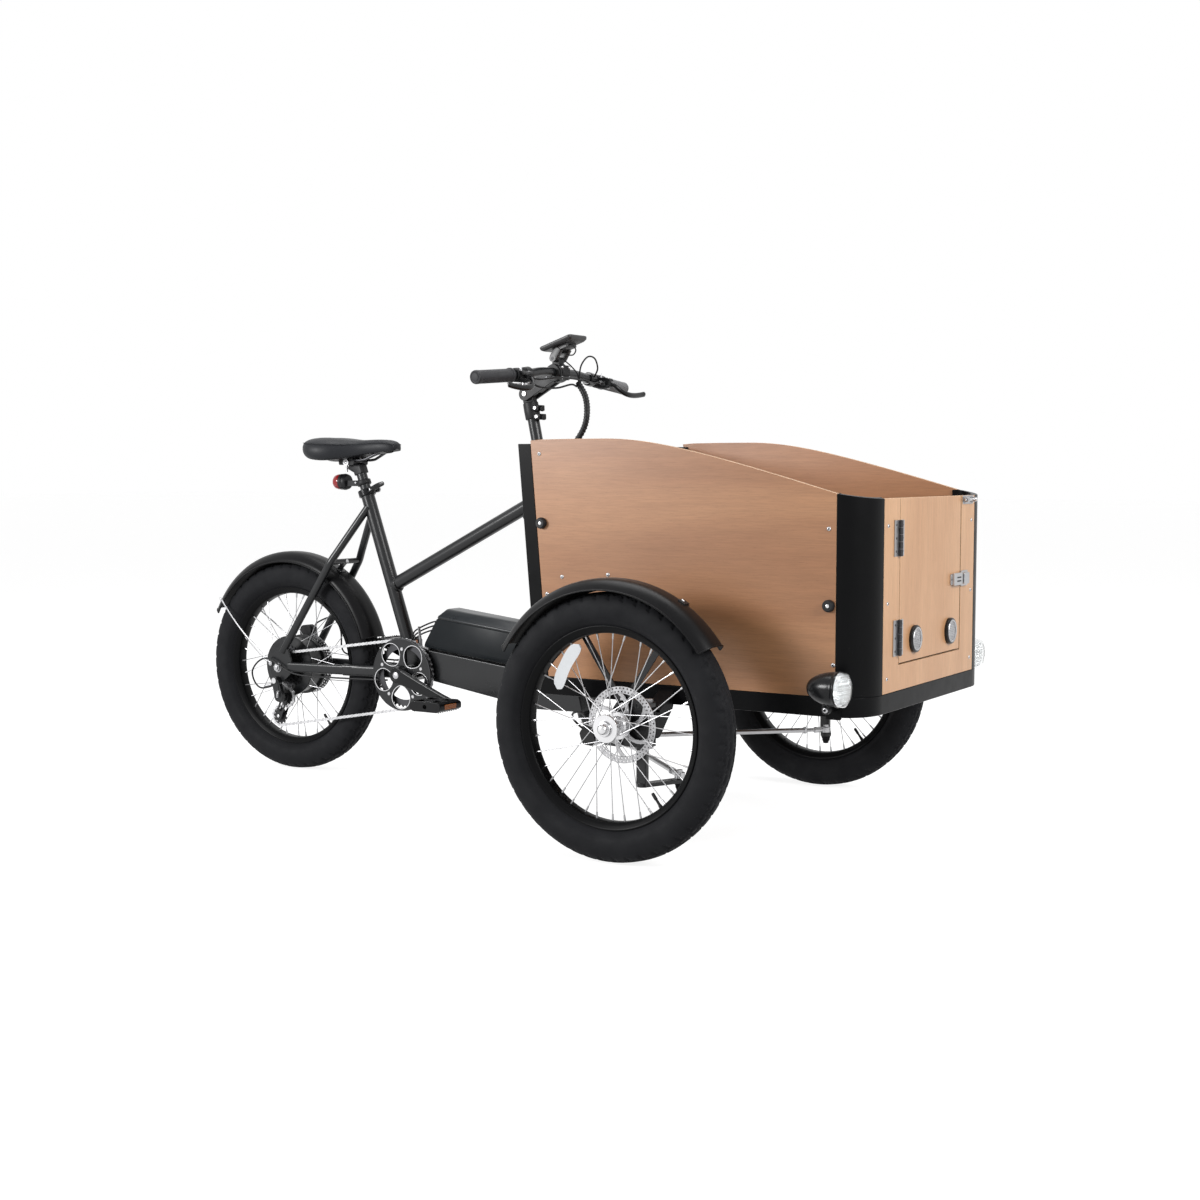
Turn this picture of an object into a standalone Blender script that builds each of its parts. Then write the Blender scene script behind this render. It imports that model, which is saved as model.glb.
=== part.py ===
"""Front-loading electric cargo tricycle: a wooden box between two steered wheels, one driven wheel behind.

X points forward, Y to the rider's left and Z up, in metres. The ground is z = 0.
Places along X are counted from the front axle, and at() moves them into the model's frame.
"""
import bmesh
import bpy
from math import acos, atan2, cos, hypot, pi, radians, sin, sqrt, tan
from mathutils import Matrix, Vector

# Frame of the model
FRONT_AXLE_X = 0.5391      # the front axle, from the middle of the overall length
GAP = 0.0003               # between two pieces that touch
RUNNING = 0.0006           # between a pin and its bore

# Wheels, all three alike
WHEEL_RADIUS = 0.278
TYRE_HALF_WIDTH = 0.0375
BEAD_RADIUS = 0.2035
RIM_LIP_RADIUS = 0.2100
RIM_INNER_RADIUS = 0.1940
RIM_HALF_WIDTH = 0.0225
RIM_WALL = 0.0033
WHEELBASE = 1.304
TRACK = 1.022
SPOKES = 36
SPOKE_RADIUS = 0.0012
SPOKE_STAGGER = 0.0016       # of crossing spokes, either side of their flange's middle
WHEEL_FACETS = 36
HUB_FACETS = 12
MOTOR_FACETS = 18
ROTOR_FACETS = 20
COG_FACETS = 16

# Front hubs and brake rotors
HUB_FLANGE_OFFSET = 0.025
HUB_FLANGE_RADIUS = 0.029
HUB_SPOKE_CIRCLE = 0.025
HUB_BODY_RADIUS = 0.018
HUB_INNER_END = 0.045      # from the wheel's middle towards the bike
HUB_OUTER_END = 0.046
FLANGE_HALF = 0.0030
STUB_RADIUS = 0.009
ROTOR_RADIUS = 0.080
ROTOR_BAND = 0.015
ROTOR_THICKNESS = 0.002
ROTOR_OFFSET = 0.039

# Rear hub motor, sprockets and drive
MOTOR_RADIUS = 0.074
MOTOR_FLANGE_RADIUS = 0.080
MOTOR_SPOKE_CIRCLE = 0.076
MOTOR_FLANGE_OFFSET = 0.027
MOTOR_LEFT = 0.046
MOTOR_RIGHT = 0.0332
REAR_ROTOR_Y = 0.0535
REAR_AXLE_RADIUS = 0.006
DROPOUT_Y = 0.0675         # inner face of each dropout
DROPOUT_THICKNESS = 0.006
CHAIN_PITCH = 0.0127
CHAIN_Y = -0.0545
CHAIN_WIDTH = 0.0073
CHAIN_DEPTH = 0.006
RING_TEETH = 42
COG_TEETH = 16
PULLEY_TEETH = 11
GUIDE_PULLEY = (0.012, -0.080)      # (x, z) from the rear axle
TENSION_PULLEY = (-0.010, -0.132)
CASSETTE_STEPS = (28, 24, 21, 18, 16, 15, 14)
CASSETTE_INNER_Y = -0.0335
CASSETTE_STEP = 0.0050
SPROCKET = 0.0020
CHAINRING_THICKNESS = 0.0030

# Crankset and pedals
CHAINSTAY_REACH = 0.409    # along the bike, from the rear axle to the crank
BB_Z = 0.284
BB_SHELL_RADIUS = 0.021
BB_SHELL_HALF = 0.036
SPINDLE_RADIUS = 0.0085
CRANK_LENGTH = 0.170
CRANK_ANGLE = radians(-20)
CRANK_RIGHT_Y = 0.083
CRANK_LEFT_Y = 0.072
GUARD_RADIUS = 0.0925
GUARD_Y = 0.0635
WINDOW_RADIUS = 0.0245
WINDOW_CIRCLE = 0.056
PEDAL_LENGTH = 0.094
PEDAL_WIDTH = 0.088
PEDAL_HEIGHT = 0.026

# Frame tubes
SEAT_TUBE_RADIUS = 0.0175
SEAT_TUBE_TOP_Z = 0.750
SEAT_ANGLE = radians(19.3)   # from the vertical, leaning back
TOP_TUBE_RADIUS = 0.0175
TOP_TUBE_REAR_Z = 0.503
TOP_TUBE_FRONT_Z = 0.742
HEAD_TUBE_RADIUS = 0.0200
HEAD_TUBE_TOP_Z = 0.800
HEAD_TUBE_BOTTOM_Z = 0.215
STEER_RADIUS = 0.0143
STEER_RAKE = radians(12)     # from the vertical, leaning back
STEER_X_AT_AXLE = -0.3973    # where the steering axis meets the height of the axles
BEAM_HALF_WIDTH = 0.045
BEAM_HEIGHT = 0.0897        # where its underside turns level
BEAM_SLOPE = radians(-6.5)
BEAM_REAR_REACH = 0.050     # in front of the crank
BEAM_REAR_TOP_Z = 0.351
BEAM_REAR_HEIGHT = 0.0757
BEAM_FRONT_X = -0.500
BEAM_NOSE_Z = 0.224
STAY_RADIUS = 0.0100
SEAT_STAY_TOP_Z = 0.705
BRIDGE_ROOM = 0.0250        # from the mudguard's crown to the bridge's middle
BRIDGE_TURN = radians(58.8) # round the rear axle, from straight ahead
BRACE_Z = 0.700
BRACE_RADIUS = 0.010
BRACE_INSET = 0.026         # of the brace's ends from the box's sides

# Battery on the beam
BATTERY_REAR_ROOM = 0.004   # from the beam's rear end
BATTERY_HEAD_ROOM = 0.0737  # from its front to the steering axis at axle height
BATTERY_HALF_WIDTH = 0.050
BATTERY_SIDE_HEIGHT = 0.084
BATTERY_CROWN = 0.020
BATTERY_CROWN_HALF = 0.026
BATTERY_REAR_LEAN = 0.038
DOCK_HEIGHT = 0.005

# Cargo box
BOX_HALF_WIDTH = 0.351
BOX_FRONT_X = 0.4865
BOX_REAR_X = -0.261         # rear edge of the side panels at the floor
BOX_LEAN = radians(5.1)     # of the rear wall, top towards the rider
CORNER_X = 0.0649           # of the rounded front corners, along the bike
CORNER_Y = 0.088            # and across it
PANEL = 0.012
BASE_Z = 0.310
BASE_HEIGHT = 0.040
RAIL_WIDTH = 0.030
POST_WIDTH = 0.034
REAR_POST_TOP_Z = 0.859
LIP = 0.003
LIP_WIDTH = 0.015
FRONT_TOP_Z = 0.7455
SIDE_FRONT_TOP_Z = 0.756
SIDE_PEAK_Z = 0.869
SIDE_PEAK_X = -0.120
SHOULDER = 0.200            # the larger, the softer the upper edge turns down
DOOR_STILE = 0.083          # flat width of the front wall beside the door
DOOR_BOTTOM_Z = 0.403
DOOR_PLAY = 0.002
HINGE_HEIGHT = 0.074
HINGE_ZS = (0.664, 0.460)
HINGE_BARREL = 0.0055
PIN_RADIUS = 0.002
VENT_INSETS = (0.085, 0.068)  # from the door's right and left edge
VENT_Z = 0.4505
VENT_RADIUS = 0.029
BOLT_STANDOFF = 0.0065      # of its middle from the front wall
BOLT_Z = 0.7365
BOLT_RADIUS = 0.003
BOLT_LENGTH = 0.068
BOLT_DRAWN = 0.003          # of its tip from the door's opening
LATCH_INSET = 0.040         # of its stud from the door's opening
LATCH_Z = 0.5625

# Steering linkage
KINGPIN_X = 0.040
KINGPIN_INSET = 0.081       # from the wheel's middle
KINGPIN_RADIUS = 0.008
KINGPIN_TUBE_RADIUS = 0.015
KINGPIN_TUBE_HALF = 0.036
LUG = 0.008
UPRIGHT_INSET = 0.059       # from the wheel's middle
UPRIGHT_THICKNESS = 0.011
ARM_Z = 0.150
ARM_THICKNESS = 0.008
BALL_X = 0.080
BALL_INSET = 0.060          # from the kingpin
PITMAN_LENGTH = 0.100
PITMAN_HALF = 0.030
ROD_RADIUS = 0.006
ROD_END_RADIUS = 0.011
ROD_END_HEIGHT = 0.014
STUD_RADIUS = 0.0045
FOOT_RISE = 0.040            # of the mudguard stays' bolt over the axle
STAY_SPREAD = 0.150          # of the mudguard stays' tips along the bike
STAY_SINK = 0.0107           # of those tips under the mudguard's crown
OPEN_PIVOT = 0.002           # between a tie rod's inner eye and the fork under it

# Mudguards
GUARD_CROWN_ROOM = 0.029     # over the tyre
GUARD_EDGE_ROOM = 0.013
GUARD_HALF = 0.045
GUARD_SHEET = 0.0025
STAY_SHEET = 0.004
FRONT_GUARD = (radians(34), radians(151))
REAR_GUARD = (radians(16), radians(156))

# Cockpit
STEM_PIVOT_Z = 0.985
STEM_CLAMP_Z = 0.925
TONGUE_HALF = 0.011
EAR = 0.009
PIVOT_PIN_RADIUS = 0.004
BAR_X = -0.463
BAR_Z = 1.034
BAR_RADIUS = 0.0111
BAR_HALF = 0.320
BAR_DROP = 0.024
GRIP_RADIUS = 0.0155
GRIP_LENGTH = 0.122
LEVER_Y = 0.176
LEVER_THICKNESS = 0.008
POD_Y = 0.140
DISPLAY_LENGTH = 0.105
DISPLAY_HALF_WIDTH = 0.042
DISPLAY_TILT = radians(18.3)
DISPLAY_CENTRE = (-0.453, 0.0, 1.1015)
DISPLAY_HINGE = (-0.463, 0.0, 1.0680)
CABLE_RADIUS = 0.0075
HOSE_RADIUS = 0.0025
CABLE_ROUTE = ((-0.436, 0.048, 1.012), (-0.412, 0.042, 0.978), (-0.402, 0.034, 0.940), (-0.410, 0.032, 0.902),
               (-0.440, 0.034, 0.862), (-0.478, 0.036, 0.822))

# Saddle
POST_RADIUS = 0.0136
POST_BOTTOM_Z = 0.560
POST_TOP_Z = 0.806
SADDLE_LENGTH = 0.270
SADDLE_HALF_WIDTH = 0.095
SADDLE_TOP_Z = 0.887
SADDLE_HOLLOW = 0.25         # of the cover's height, under its middle
SADDLE_NOSE_REACH = 0.148   # in front of the rails' clamp
RAIL_SETBACK = 0.0222       # of that clamp behind the seat post's top
RAIL_Y = 0.022
RAIL_Z = 0.826
RAIL_RADIUS = 0.0035
TAIL_LIGHT_Z = 0.768
SKEWER = 0.0195

# Headlights
LIGHT_X = 0.458
LIGHT_OUTSET = 0.036        # from the side of the box
LIGHT_Z = 0.372
LIGHT_RADIUS = 0.0365
LIGHT_LENGTH = 0.080
LIGHT_PIVOT_X = 0.420
LIGHT_PIVOT_Z = 0.330

# Values that follow from the sizes above
AXLE_Z = WHEEL_RADIUS
GUARD_CROWN = WHEEL_RADIUS + GUARD_CROWN_ROOM
GUARD_EDGE = WHEEL_RADIUS + GUARD_EDGE_ROOM
FOOT_Z = AXLE_Z + FOOT_RISE
BRIDGE_REACH = GUARD_CROWN + BRIDGE_ROOM
REAR_X = -WHEELBASE
BB_X = REAR_X + CHAINSTAY_REACH
BEAM_REAR_X = BB_X + BEAM_REAR_REACH
BATTERY_LENGTH = STEER_X_AT_AXLE - BATTERY_HEAD_ROOM - BEAM_REAR_X - BATTERY_REAR_ROOM
RAIL_X = BB_X - tan(SEAT_ANGLE) * (POST_TOP_Z - BB_Z) - RAIL_SETBACK
SADDLE_NOSE_X = RAIL_X + SADDLE_NOSE_REACH
WHEEL_Y = TRACK / 2
KINGPIN_Y = WHEEL_Y - KINGPIN_INSET
UPRIGHT_Y = WHEEL_Y - UPRIGHT_INSET
BALL_Y = KINGPIN_Y - BALL_INSET
LIGHT_Y = BOX_HALF_WIDTH + LIGHT_OUTSET
BRACE_REACH = BOX_HALF_WIDTH - BRACE_INSET
FLOOR_Z = BASE_Z + BASE_HEIGHT
ARM_TOP = ARM_Z + ARM_THICKNESS
FLAT_FRONT_Y = BOX_HALF_WIDTH - CORNER_Y
CORNER_START_X = BOX_FRONT_X - CORNER_X
DOOR_LEFT_Y = FLAT_FRONT_Y - DOOR_STILE
DOOR_RIGHT_Y = -DOOR_LEFT_Y
VENT_YS = (DOOR_RIGHT_Y + VENT_INSETS[0], DOOR_LEFT_Y - VENT_INSETS[1])
BOLT_X = BOX_FRONT_X + BOLT_STANDOFF
BOLT_TIP_Y = DOOR_LEFT_Y + BOLT_DRAWN
LATCH_Y = DOOR_LEFT_Y - LATCH_INSET


def at(x, y, z):
    """A place counted from the front axle, in the model's frame."""
    return Vector((FRONT_AXLE_X + x, y, z))


def steer_x(z):
    """Where the steering axis is at a height."""
    return STEER_X_AT_AXLE - tan(STEER_RAKE) * (z - AXLE_Z)


def seat_x(z):
    """Where the seat tube's axis is at a height."""
    return BB_X - tan(SEAT_ANGLE) * (z - BB_Z)


def rear_lean(z):
    """How far the box's rear wall has leaned back at a height above the floor."""
    return -tan(BOX_LEAN) * (z - FLOOR_Z)


def flats(radius, sides):
    """The corner radius of a polygon that goes round a circle."""
    return radius / cos(pi / sides)


def pitch_radius(teeth):
    """The radius of the rollers' circle on a sprocket."""
    return CHAIN_PITCH / (2 * sin(pi / teeth))


# Start from an empty scene
for old in list(bpy.data.objects):
    bpy.data.objects.remove(old, do_unlink=True)


def make_material(name, colour, roughness, metallic=0.0):
    material = bpy.data.materials.new(name)
    material.use_nodes = True
    shader = material.node_tree.nodes["Principled BSDF"]
    shader.inputs["Base Color"].default_value = (*colour, 1.0)
    shader.inputs["Roughness"].default_value = roughness
    shader.inputs["Metallic"].default_value = metallic
    material.diffuse_color = (*colour, 1.0)
    return material


def paint_of(name):
    """One material for each kind of finish, picked by its plain name."""
    finishes = {
        "black_paint": ((0.018, 0.018, 0.020), 0.45, 0.0),
        "black_plastic": ((0.022, 0.022, 0.024), 0.55, 0.0),
        "rubber": ((0.020, 0.020, 0.021), 0.85, 0.0),
        "beech": ((0.66, 0.46, 0.29), 0.55, 0.0),
        "oak": ((0.60, 0.38, 0.20), 0.55, 0.0),
        "polished": ((0.72, 0.72, 0.73), 0.25, 1.0),
        "brushed": ((0.60, 0.60, 0.62), 0.35, 1.0),
        "dark_steel": ((0.12, 0.12, 0.13), 0.40, 0.8),
        "battery_grey": ((0.035, 0.037, 0.040), 0.40, 0.0),
        "vinyl": ((0.025, 0.026, 0.030), 0.50, 0.0),
    }
    return make_material(name, *finishes[name])


# Tools that build closed meshes in the model's frame

def closed(bm):
    bmesh.ops.recalc_face_normals(bm, faces=bm.faces)
    return bm


def skin(rings, caps=True, loop=False):
    """Join rings of equal length into one closed surface."""
    bm = bmesh.new()
    rows = [[bm.verts.new(p) for p in ring] for ring in rings]
    pairs = list(zip(rows, rows[1:]))
    if loop:
        pairs.append((rows[-1], rows[0]))
    for a, b in pairs:
        for i in range(len(a)):
            j = (i + 1) % len(a)
            bm.faces.new((a[i], a[j], b[j], b[i]))
    if caps and not loop:
        bm.faces.new(rows[0])
        bm.faces.new(list(reversed(rows[-1])))
    return closed(bm)


def block(low, high):
    """A box between two corners."""
    x0, y0, z0 = low
    x1, y1, z1 = high
    ring = [(x0, y0), (x1, y0), (x1, y1), (x0, y1)]
    return skin([[Vector((x, y, z)) for x, y in ring] for z in (z0, z1)])


def prism(outline, axis, start, end):
    """An outline drawn square to an axis and run along it. Outlines are (x, z), (x, y) or (y, z)."""
    place = {
        "X": lambda a, b, d: Vector((d, a, b)),
        "Y": lambda a, b, d: Vector((a, d, b)),
        "Z": lambda a, b, d: Vector((a, b, d)),
    }[axis]
    return skin([[place(a, b, d) for a, b in outline] for d in (start, end)])


def turned(profile, centre, axis, facets, phase=0.0):
    """A profile of (radius, distance along the axis) turned round it. Radius 0 closes an end."""
    axis = Vector(axis).normalized()
    side = axis.orthogonal().normalized()
    if abs(axis.y) > 0.9:
        side = (axis * axis.z - Vector((0, 0, 1))).normalized()
    up = axis.cross(side)
    bm = bmesh.new()
    columns = []
    for radius, along in profile:
        foot = Vector(centre) + axis * along
        if radius == 0:
            columns.append([bm.verts.new(foot)] * facets)
            continue
        angles = [2 * pi * (i + 0.5 + phase) / facets for i in range(facets)]
        columns.append([bm.verts.new(foot + radius * (cos(t) * side + sin(t) * up)) for t in angles])
    open_ends = profile[0][0] == 0 and profile[-1][0] == 0
    pairs = list(zip(columns, columns[1:]))
    if not open_ends:
        pairs.append((columns[-1], columns[0]))
    for a, b in pairs:
        for i in range(facets):
            j = (i + 1) % facets
            corners = list(dict.fromkeys((a[i], a[j], b[j], b[i])))
            bm.faces.new(corners)
    return closed(bm)


def rod(start, end, radius, sides=12, end_radius=None):
    """A round bar, or a cone, between two points."""
    start, end = Vector(start), Vector(end)
    last = radius if end_radius is None else end_radius
    length = (end - start).length
    return turned([(0, 0), (radius, 0), (last, length), (0, length)], start, end - start, sides)


def sweep(points, section, up=Vector((0, 0, 1)), loop=False):
    """A flat section of (across, up) carried along points, mitred at each corner."""
    points = [Vector(p) for p in points]
    count = len(points)
    rings = []
    for i, point in enumerate(points):
        before = points[i - 1] if i > 0 or loop else point
        after = points[(i + 1) % count] if i < count - 1 or loop else point
        first = (point - before).normalized() if before != point else (after - point).normalized()
        second = (after - point).normalized() if after != point else first
        tangent = (first + second).normalized()
        across = up.cross(second).normalized()
        height = second.cross(across)
        stretch = tangent.dot(second)
        ring = []
        for a, b in section:
            corner = point + a * across + b * height
            corner -= second * ((corner - point).dot(tangent) / stretch)
            ring.append(corner)
        rings.append(ring)
    return skin(rings, caps=not loop, loop=loop)


def link(p, r0, q, r1, steps=4):
    """Outline of a bar with a round end at each of two places in a plane."""
    aim = atan2(q[1] - p[1], q[0] - p[0])
    lean = acos((r0 - r1) / hypot(q[0] - p[0], q[1] - p[1]))
    outline = []
    for k in range(steps + 1):
        turn = aim + lean + 2 * (pi - lean) * k / steps
        outline.append((p[0] + r0 * cos(turn), p[1] + r0 * sin(turn)))
    for k in range(steps + 1):
        turn = aim - lean + 2 * lean * k / steps
        outline.append((q[0] + r1 * cos(turn), q[1] + r1 * sin(turn)))
    return outline


def circle(radius, sides):
    return [(radius * cos(2 * pi * (i + 0.5) / sides), radius * sin(2 * pi * (i + 0.5) / sides))
            for i in range(sides)]


def rectangle(width, height, chamfer=0.0):
    w, h, c = width / 2, height / 2, chamfer
    if c == 0:
        return [(-w, -h), (w, -h), (w, h), (-w, h)]
    return [(-w + c, -h), (w - c, -h), (w, -h + c), (w, h - c),
            (w - c, h), (-w + c, h), (-w, h - c), (-w, -h + c)]


def to_object(name, bm):
    mesh = bpy.data.meshes.new(name)
    bm.to_mesh(mesh)
    bm.free()
    made = bpy.data.objects.new(name, mesh)
    bpy.context.collection.objects.link(made)
    return made


def combine(solids, cuts=()):
    """Weld solids into one body, then cut others out of it."""
    base = to_object("weld", solids[0])
    tools = []
    jobs = [(bm, "UNION") for bm in solids[1:]] + [(bm, "DIFFERENCE") for bm in cuts]
    for bm, operation in jobs:
        tool = to_object("tool", bm)
        tools.append(tool)
        step = base.modifiers.new(operation.lower(), "BOOLEAN")
        step.operation = operation
        step.solver = "EXACT"
        step.object = tool
    graph = bpy.context.evaluated_depsgraph_get()
    result = bpy.data.meshes.new_from_object(base.evaluated_get(graph))
    bm = bmesh.new()
    bm.from_mesh(result)
    bmesh.ops.remove_doubles(bm, verts=bm.verts, dist=0.000002)
    bmesh.ops.dissolve_degenerate(bm, edges=bm.edges, dist=0.000002)
    for spent in tools + [base]:
        bpy.data.objects.remove(spent, do_unlink=True)
    bpy.data.meshes.remove(result)
    return bm


def group(solids):
    """Several solids that don't touch, kept together as one cutter or one set of bars."""
    bm = bmesh.new()
    for part in solids:
        mesh = bpy.data.meshes.new("set")
        part.to_mesh(mesh)
        part.free()
        bm.from_mesh(mesh)
        bpy.data.meshes.remove(mesh)
    return bm


def pivot(name, place, parent=None):
    """An empty on a joint's axis, which carries the pieces of one moving body."""
    mark = bpy.data.objects.new(name, None)
    mark.empty_display_size = 0.03
    bpy.context.collection.objects.link(mark)
    mark.location = Vector(place)
    if parent is not None:
        mark.parent = parent
        mark.location = Vector(place) - world_place(parent)
    return mark


def world_place(mark):
    place = Vector(mark.location)
    while mark.parent is not None:
        mark = mark.parent
        place += mark.location
    return place


def piece(name, bm, finish, carrier=None, smooth=30):
    """Name a solid, give it its own material and hang it on what carries it."""
    made = to_object(name, bm)
    material = paint_of(finish)
    material.name = name + "_" + finish
    made.data.materials.append(material)
    if smooth:
        made.data.shade_smooth()
        made.data.set_sharp_from_angle(angle=radians(smooth))
    if carrier is not None:
        home = world_place(carrier)
        made.data.transform(Matrix.Translation(-home))
        made.parent = carrier
    return made


# Wheels

def tyre(centre):
    half, deep = TYRE_HALF_WIDTH, WHEEL_RADIUS - BEAD_RADIUS
    bead = RIM_HALF_WIDTH - RIM_WALL - GAP
    side = [(BEAD_RADIUS + GAP, bead), (RIM_LIP_RADIUS + 0.001, bead), (BEAD_RADIUS + 0.45 * deep, half),
            (BEAD_RADIUS + 0.80 * deep, 0.84 * half), (WHEEL_RADIUS, 0.26 * half)]
    outline = side + [(r, -y) for r, y in reversed(side)]
    outline = [(flats(r, WHEEL_FACETS), y) for r, y in outline]
    return turned(outline, centre, (0, 1, 0), WHEEL_FACETS)


def rim(centre):
    outer, inner = RIM_HALF_WIDTH, RIM_HALF_WIDTH - RIM_WALL
    side = [(RIM_INNER_RADIUS, 0.60 * outer), (RIM_LIP_RADIUS, outer), (RIM_LIP_RADIUS, inner), (BEAD_RADIUS, inner)]
    outline = side + [(r, -y) for r, y in reversed(side)]
    outline = [(flats(r, WHEEL_FACETS), y) for r, y in outline]
    return turned(outline, centre, (0, 1, 0), WHEEL_FACETS)


def laced_spokes(centre, spoke_circle, flange_y, lead):
    """Crossed spokes between two flanges and the rim, half leaning forward and half back."""
    bars = []
    for j in range(SPOKES):
        side = 1 if j % 2 else -1
        lean = 1 if (j // 2) % 2 else -1
        rim_angle = 2 * pi * j / SPOKES
        hub_angle = rim_angle - lean * lead
        head_y = side * flange_y + lean * SPOKE_STAGGER
        head = Vector((spoke_circle * cos(hub_angle), head_y, spoke_circle * sin(hub_angle)))
        reach = RIM_INNER_RADIUS - GAP - 0.3 * SPOKE_RADIUS
        tail = Vector((reach * cos(rim_angle), side * 0.004, reach * sin(rim_angle)))
        bars.append(rod(Vector(centre) + head, Vector(centre) + tail, SPOKE_RADIUS, 3))
    return group(bars)


def rotor(centre, y, root_radius):
    """A disc brake rotor: an outer band and six swept arms that start inside the hub."""
    half = ROTOR_THICKNESS / 2
    inner = flats(ROTOR_RADIUS - ROTOR_BAND, ROTOR_FACETS)
    band = [(inner, y + half), (ROTOR_RADIUS, y + half), (ROTOR_RADIUS, y - half), (inner, y - half)]
    solids = [turned(band, centre, (0, 1, 0), ROTOR_FACETS)]
    for i in range(6):
        turn = 2 * pi * i / 6
        outline = []
        for radius, shift, side in ((root_radius, 0.0, -1), (ROTOR_RADIUS - 0.004, 0.55, -1),
                                    (ROTOR_RADIUS - 0.004, 0.55, 1), (root_radius, 0.0, 1)):
            way = turn + shift
            across = 0.0045 * side
            outline.append((radius * cos(way) - across * sin(way), radius * sin(way) + across * cos(way)))
        outline = [(centre[0] + a, centre[2] + b) for a, b in outline]
        solids.append(prism(outline, "Y", centre[1] + y - 0.7 * half, centre[1] + y + 0.7 * half))
    return combine(solids)


def front_hub(centre, side):
    """Hub shell with a blind bore for the stub axle, its spokes and its rotor."""
    out = Vector((0, side, 0))
    bore = flats(STUB_RADIUS + RUNNING, HUB_FACETS)
    flange, body, half = HUB_FLANGE_RADIUS, HUB_BODY_RADIUS, FLANGE_HALF
    profile = [(0, HUB_OUTER_END), (0.012, HUB_OUTER_END), (0.016, HUB_FLANGE_OFFSET + half)]
    for edge in (HUB_FLANGE_OFFSET, -HUB_FLANGE_OFFSET):
        profile += [(flange, edge + half), (flange, edge - half), (body, edge - half)]
        body = 0.020
    profile += [(0.020, -HUB_INNER_END), (bore, -HUB_INNER_END), (bore, HUB_OUTER_END - 0.010)]
    profile += [(0, HUB_OUTER_END - 0.010)]
    shell = turned(profile, centre, out, HUB_FACETS)
    spokes = laced_spokes(centre, HUB_SPOKE_CIRCLE, HUB_FLANGE_OFFSET, radians(60))
    disc = rotor(centre, -side * ROTOR_OFFSET, 0.014)
    return combine([shell, spokes, disc])


def hub_motor(centre):
    """Drum of the hub motor with its two spoke flanges, on a bore for the axle."""
    half = FLANGE_HALF
    bore = flats(REAR_AXLE_RADIUS + RUNNING, MOTOR_FACETS)
    rim_r, drum = MOTOR_FLANGE_RADIUS, MOTOR_RADIUS
    neck = REAR_ROTOR_Y + 0.002
    profile = [(bore, neck), (0.018, neck), (0.018, MOTOR_LEFT), (0.060, MOTOR_LEFT)]
    profile += [(drum, MOTOR_LEFT - 0.008), (drum, MOTOR_FLANGE_OFFSET + half)]
    profile += [(rim_r, MOTOR_FLANGE_OFFSET + half), (rim_r, MOTOR_FLANGE_OFFSET - half)]
    profile += [(drum, MOTOR_FLANGE_OFFSET - half), (drum, half - MOTOR_FLANGE_OFFSET)]
    profile += [(rim_r, half - MOTOR_FLANGE_OFFSET), (rim_r, -half - MOTOR_FLANGE_OFFSET)]
    profile += [(0.060, -MOTOR_RIGHT), (bore, -MOTOR_RIGHT)]
    drum_solid = turned(profile, centre, (0, 1, 0), MOTOR_FACETS)
    spokes = laced_spokes(centre, MOTOR_SPOKE_CIRCLE, MOTOR_FLANGE_OFFSET, radians(20))
    disc = rotor(centre, REAR_ROTOR_Y, 0.012)
    return combine([drum_solid, spokes, disc])


# Drive train

def toothed(teeth, thickness, centre, bore_radius, tooth=0.0045):
    """A sprocket whose teeth taper to the tip, as a ring."""
    root = pitch_radius(teeth) - 0.5 * tooth - 0.001
    tip = pitch_radius(teeth) - 0.0003
    outline = []
    for i in range(teeth):
        middle = 2 * pi * i / teeth
        step = pi / teeth
        for radius, shift in ((root, -1.0), (tip, 0.0)):
            turn = middle + shift * step
            outline.append((radius * cos(turn), radius * sin(turn)))
    cx, cy, cz = centre
    half = thickness / 2
    plate = prism([(cx + a, cz + b) for a, b in outline], "Y", cy - half, cy + half)
    bore = rod((cx, cy - 0.01, cz), (cx, cy + 0.01, cz), bore_radius, 12)
    return combine([plate], [bore])


def windows(centre, y0, y1, radius):
    """Five round cutters in a circle."""
    cutters = []
    for i in range(5):
        turn = CRANK_ANGLE + pi / 5 + 2 * pi * i / 5
        x = centre[0] + WINDOW_CIRCLE * cos(turn)
        z = centre[2] + WINDOW_CIRCLE * sin(turn)
        cutters.append(rod((x, y0, z), (x, y1, z), radius, 10))
    return group(cutters)


def chainring(centre):
    ring = toothed(RING_TEETH, CHAINRING_THICKNESS, centre, 0.0180)
    y = centre[1]
    return combine([ring], [windows(centre, y - 0.01, y + 0.01, WINDOW_RADIUS - 0.0015)])


def cassette(centre):
    """Seven sprockets as one stepped body on the freewheel."""
    bore = flats(REAR_AXLE_RADIUS + RUNNING, COG_FACETS)
    profile = [(bore, CASSETTE_INNER_Y)]
    y = CASSETTE_INNER_Y
    for teeth in CASSETTE_STEPS:
        tip = pitch_radius(teeth) - 0.0003
        profile += [(tip, y), (tip, y - SPROCKET), (tip - 0.007, y - SPROCKET - GAP)]
        y -= CASSETTE_STEP
    end = y + 0.0022
    profile += [(tip - 0.007, end), (bore, end)]
    return turned(profile, centre, (0, 1, 0), COG_FACETS)


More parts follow.
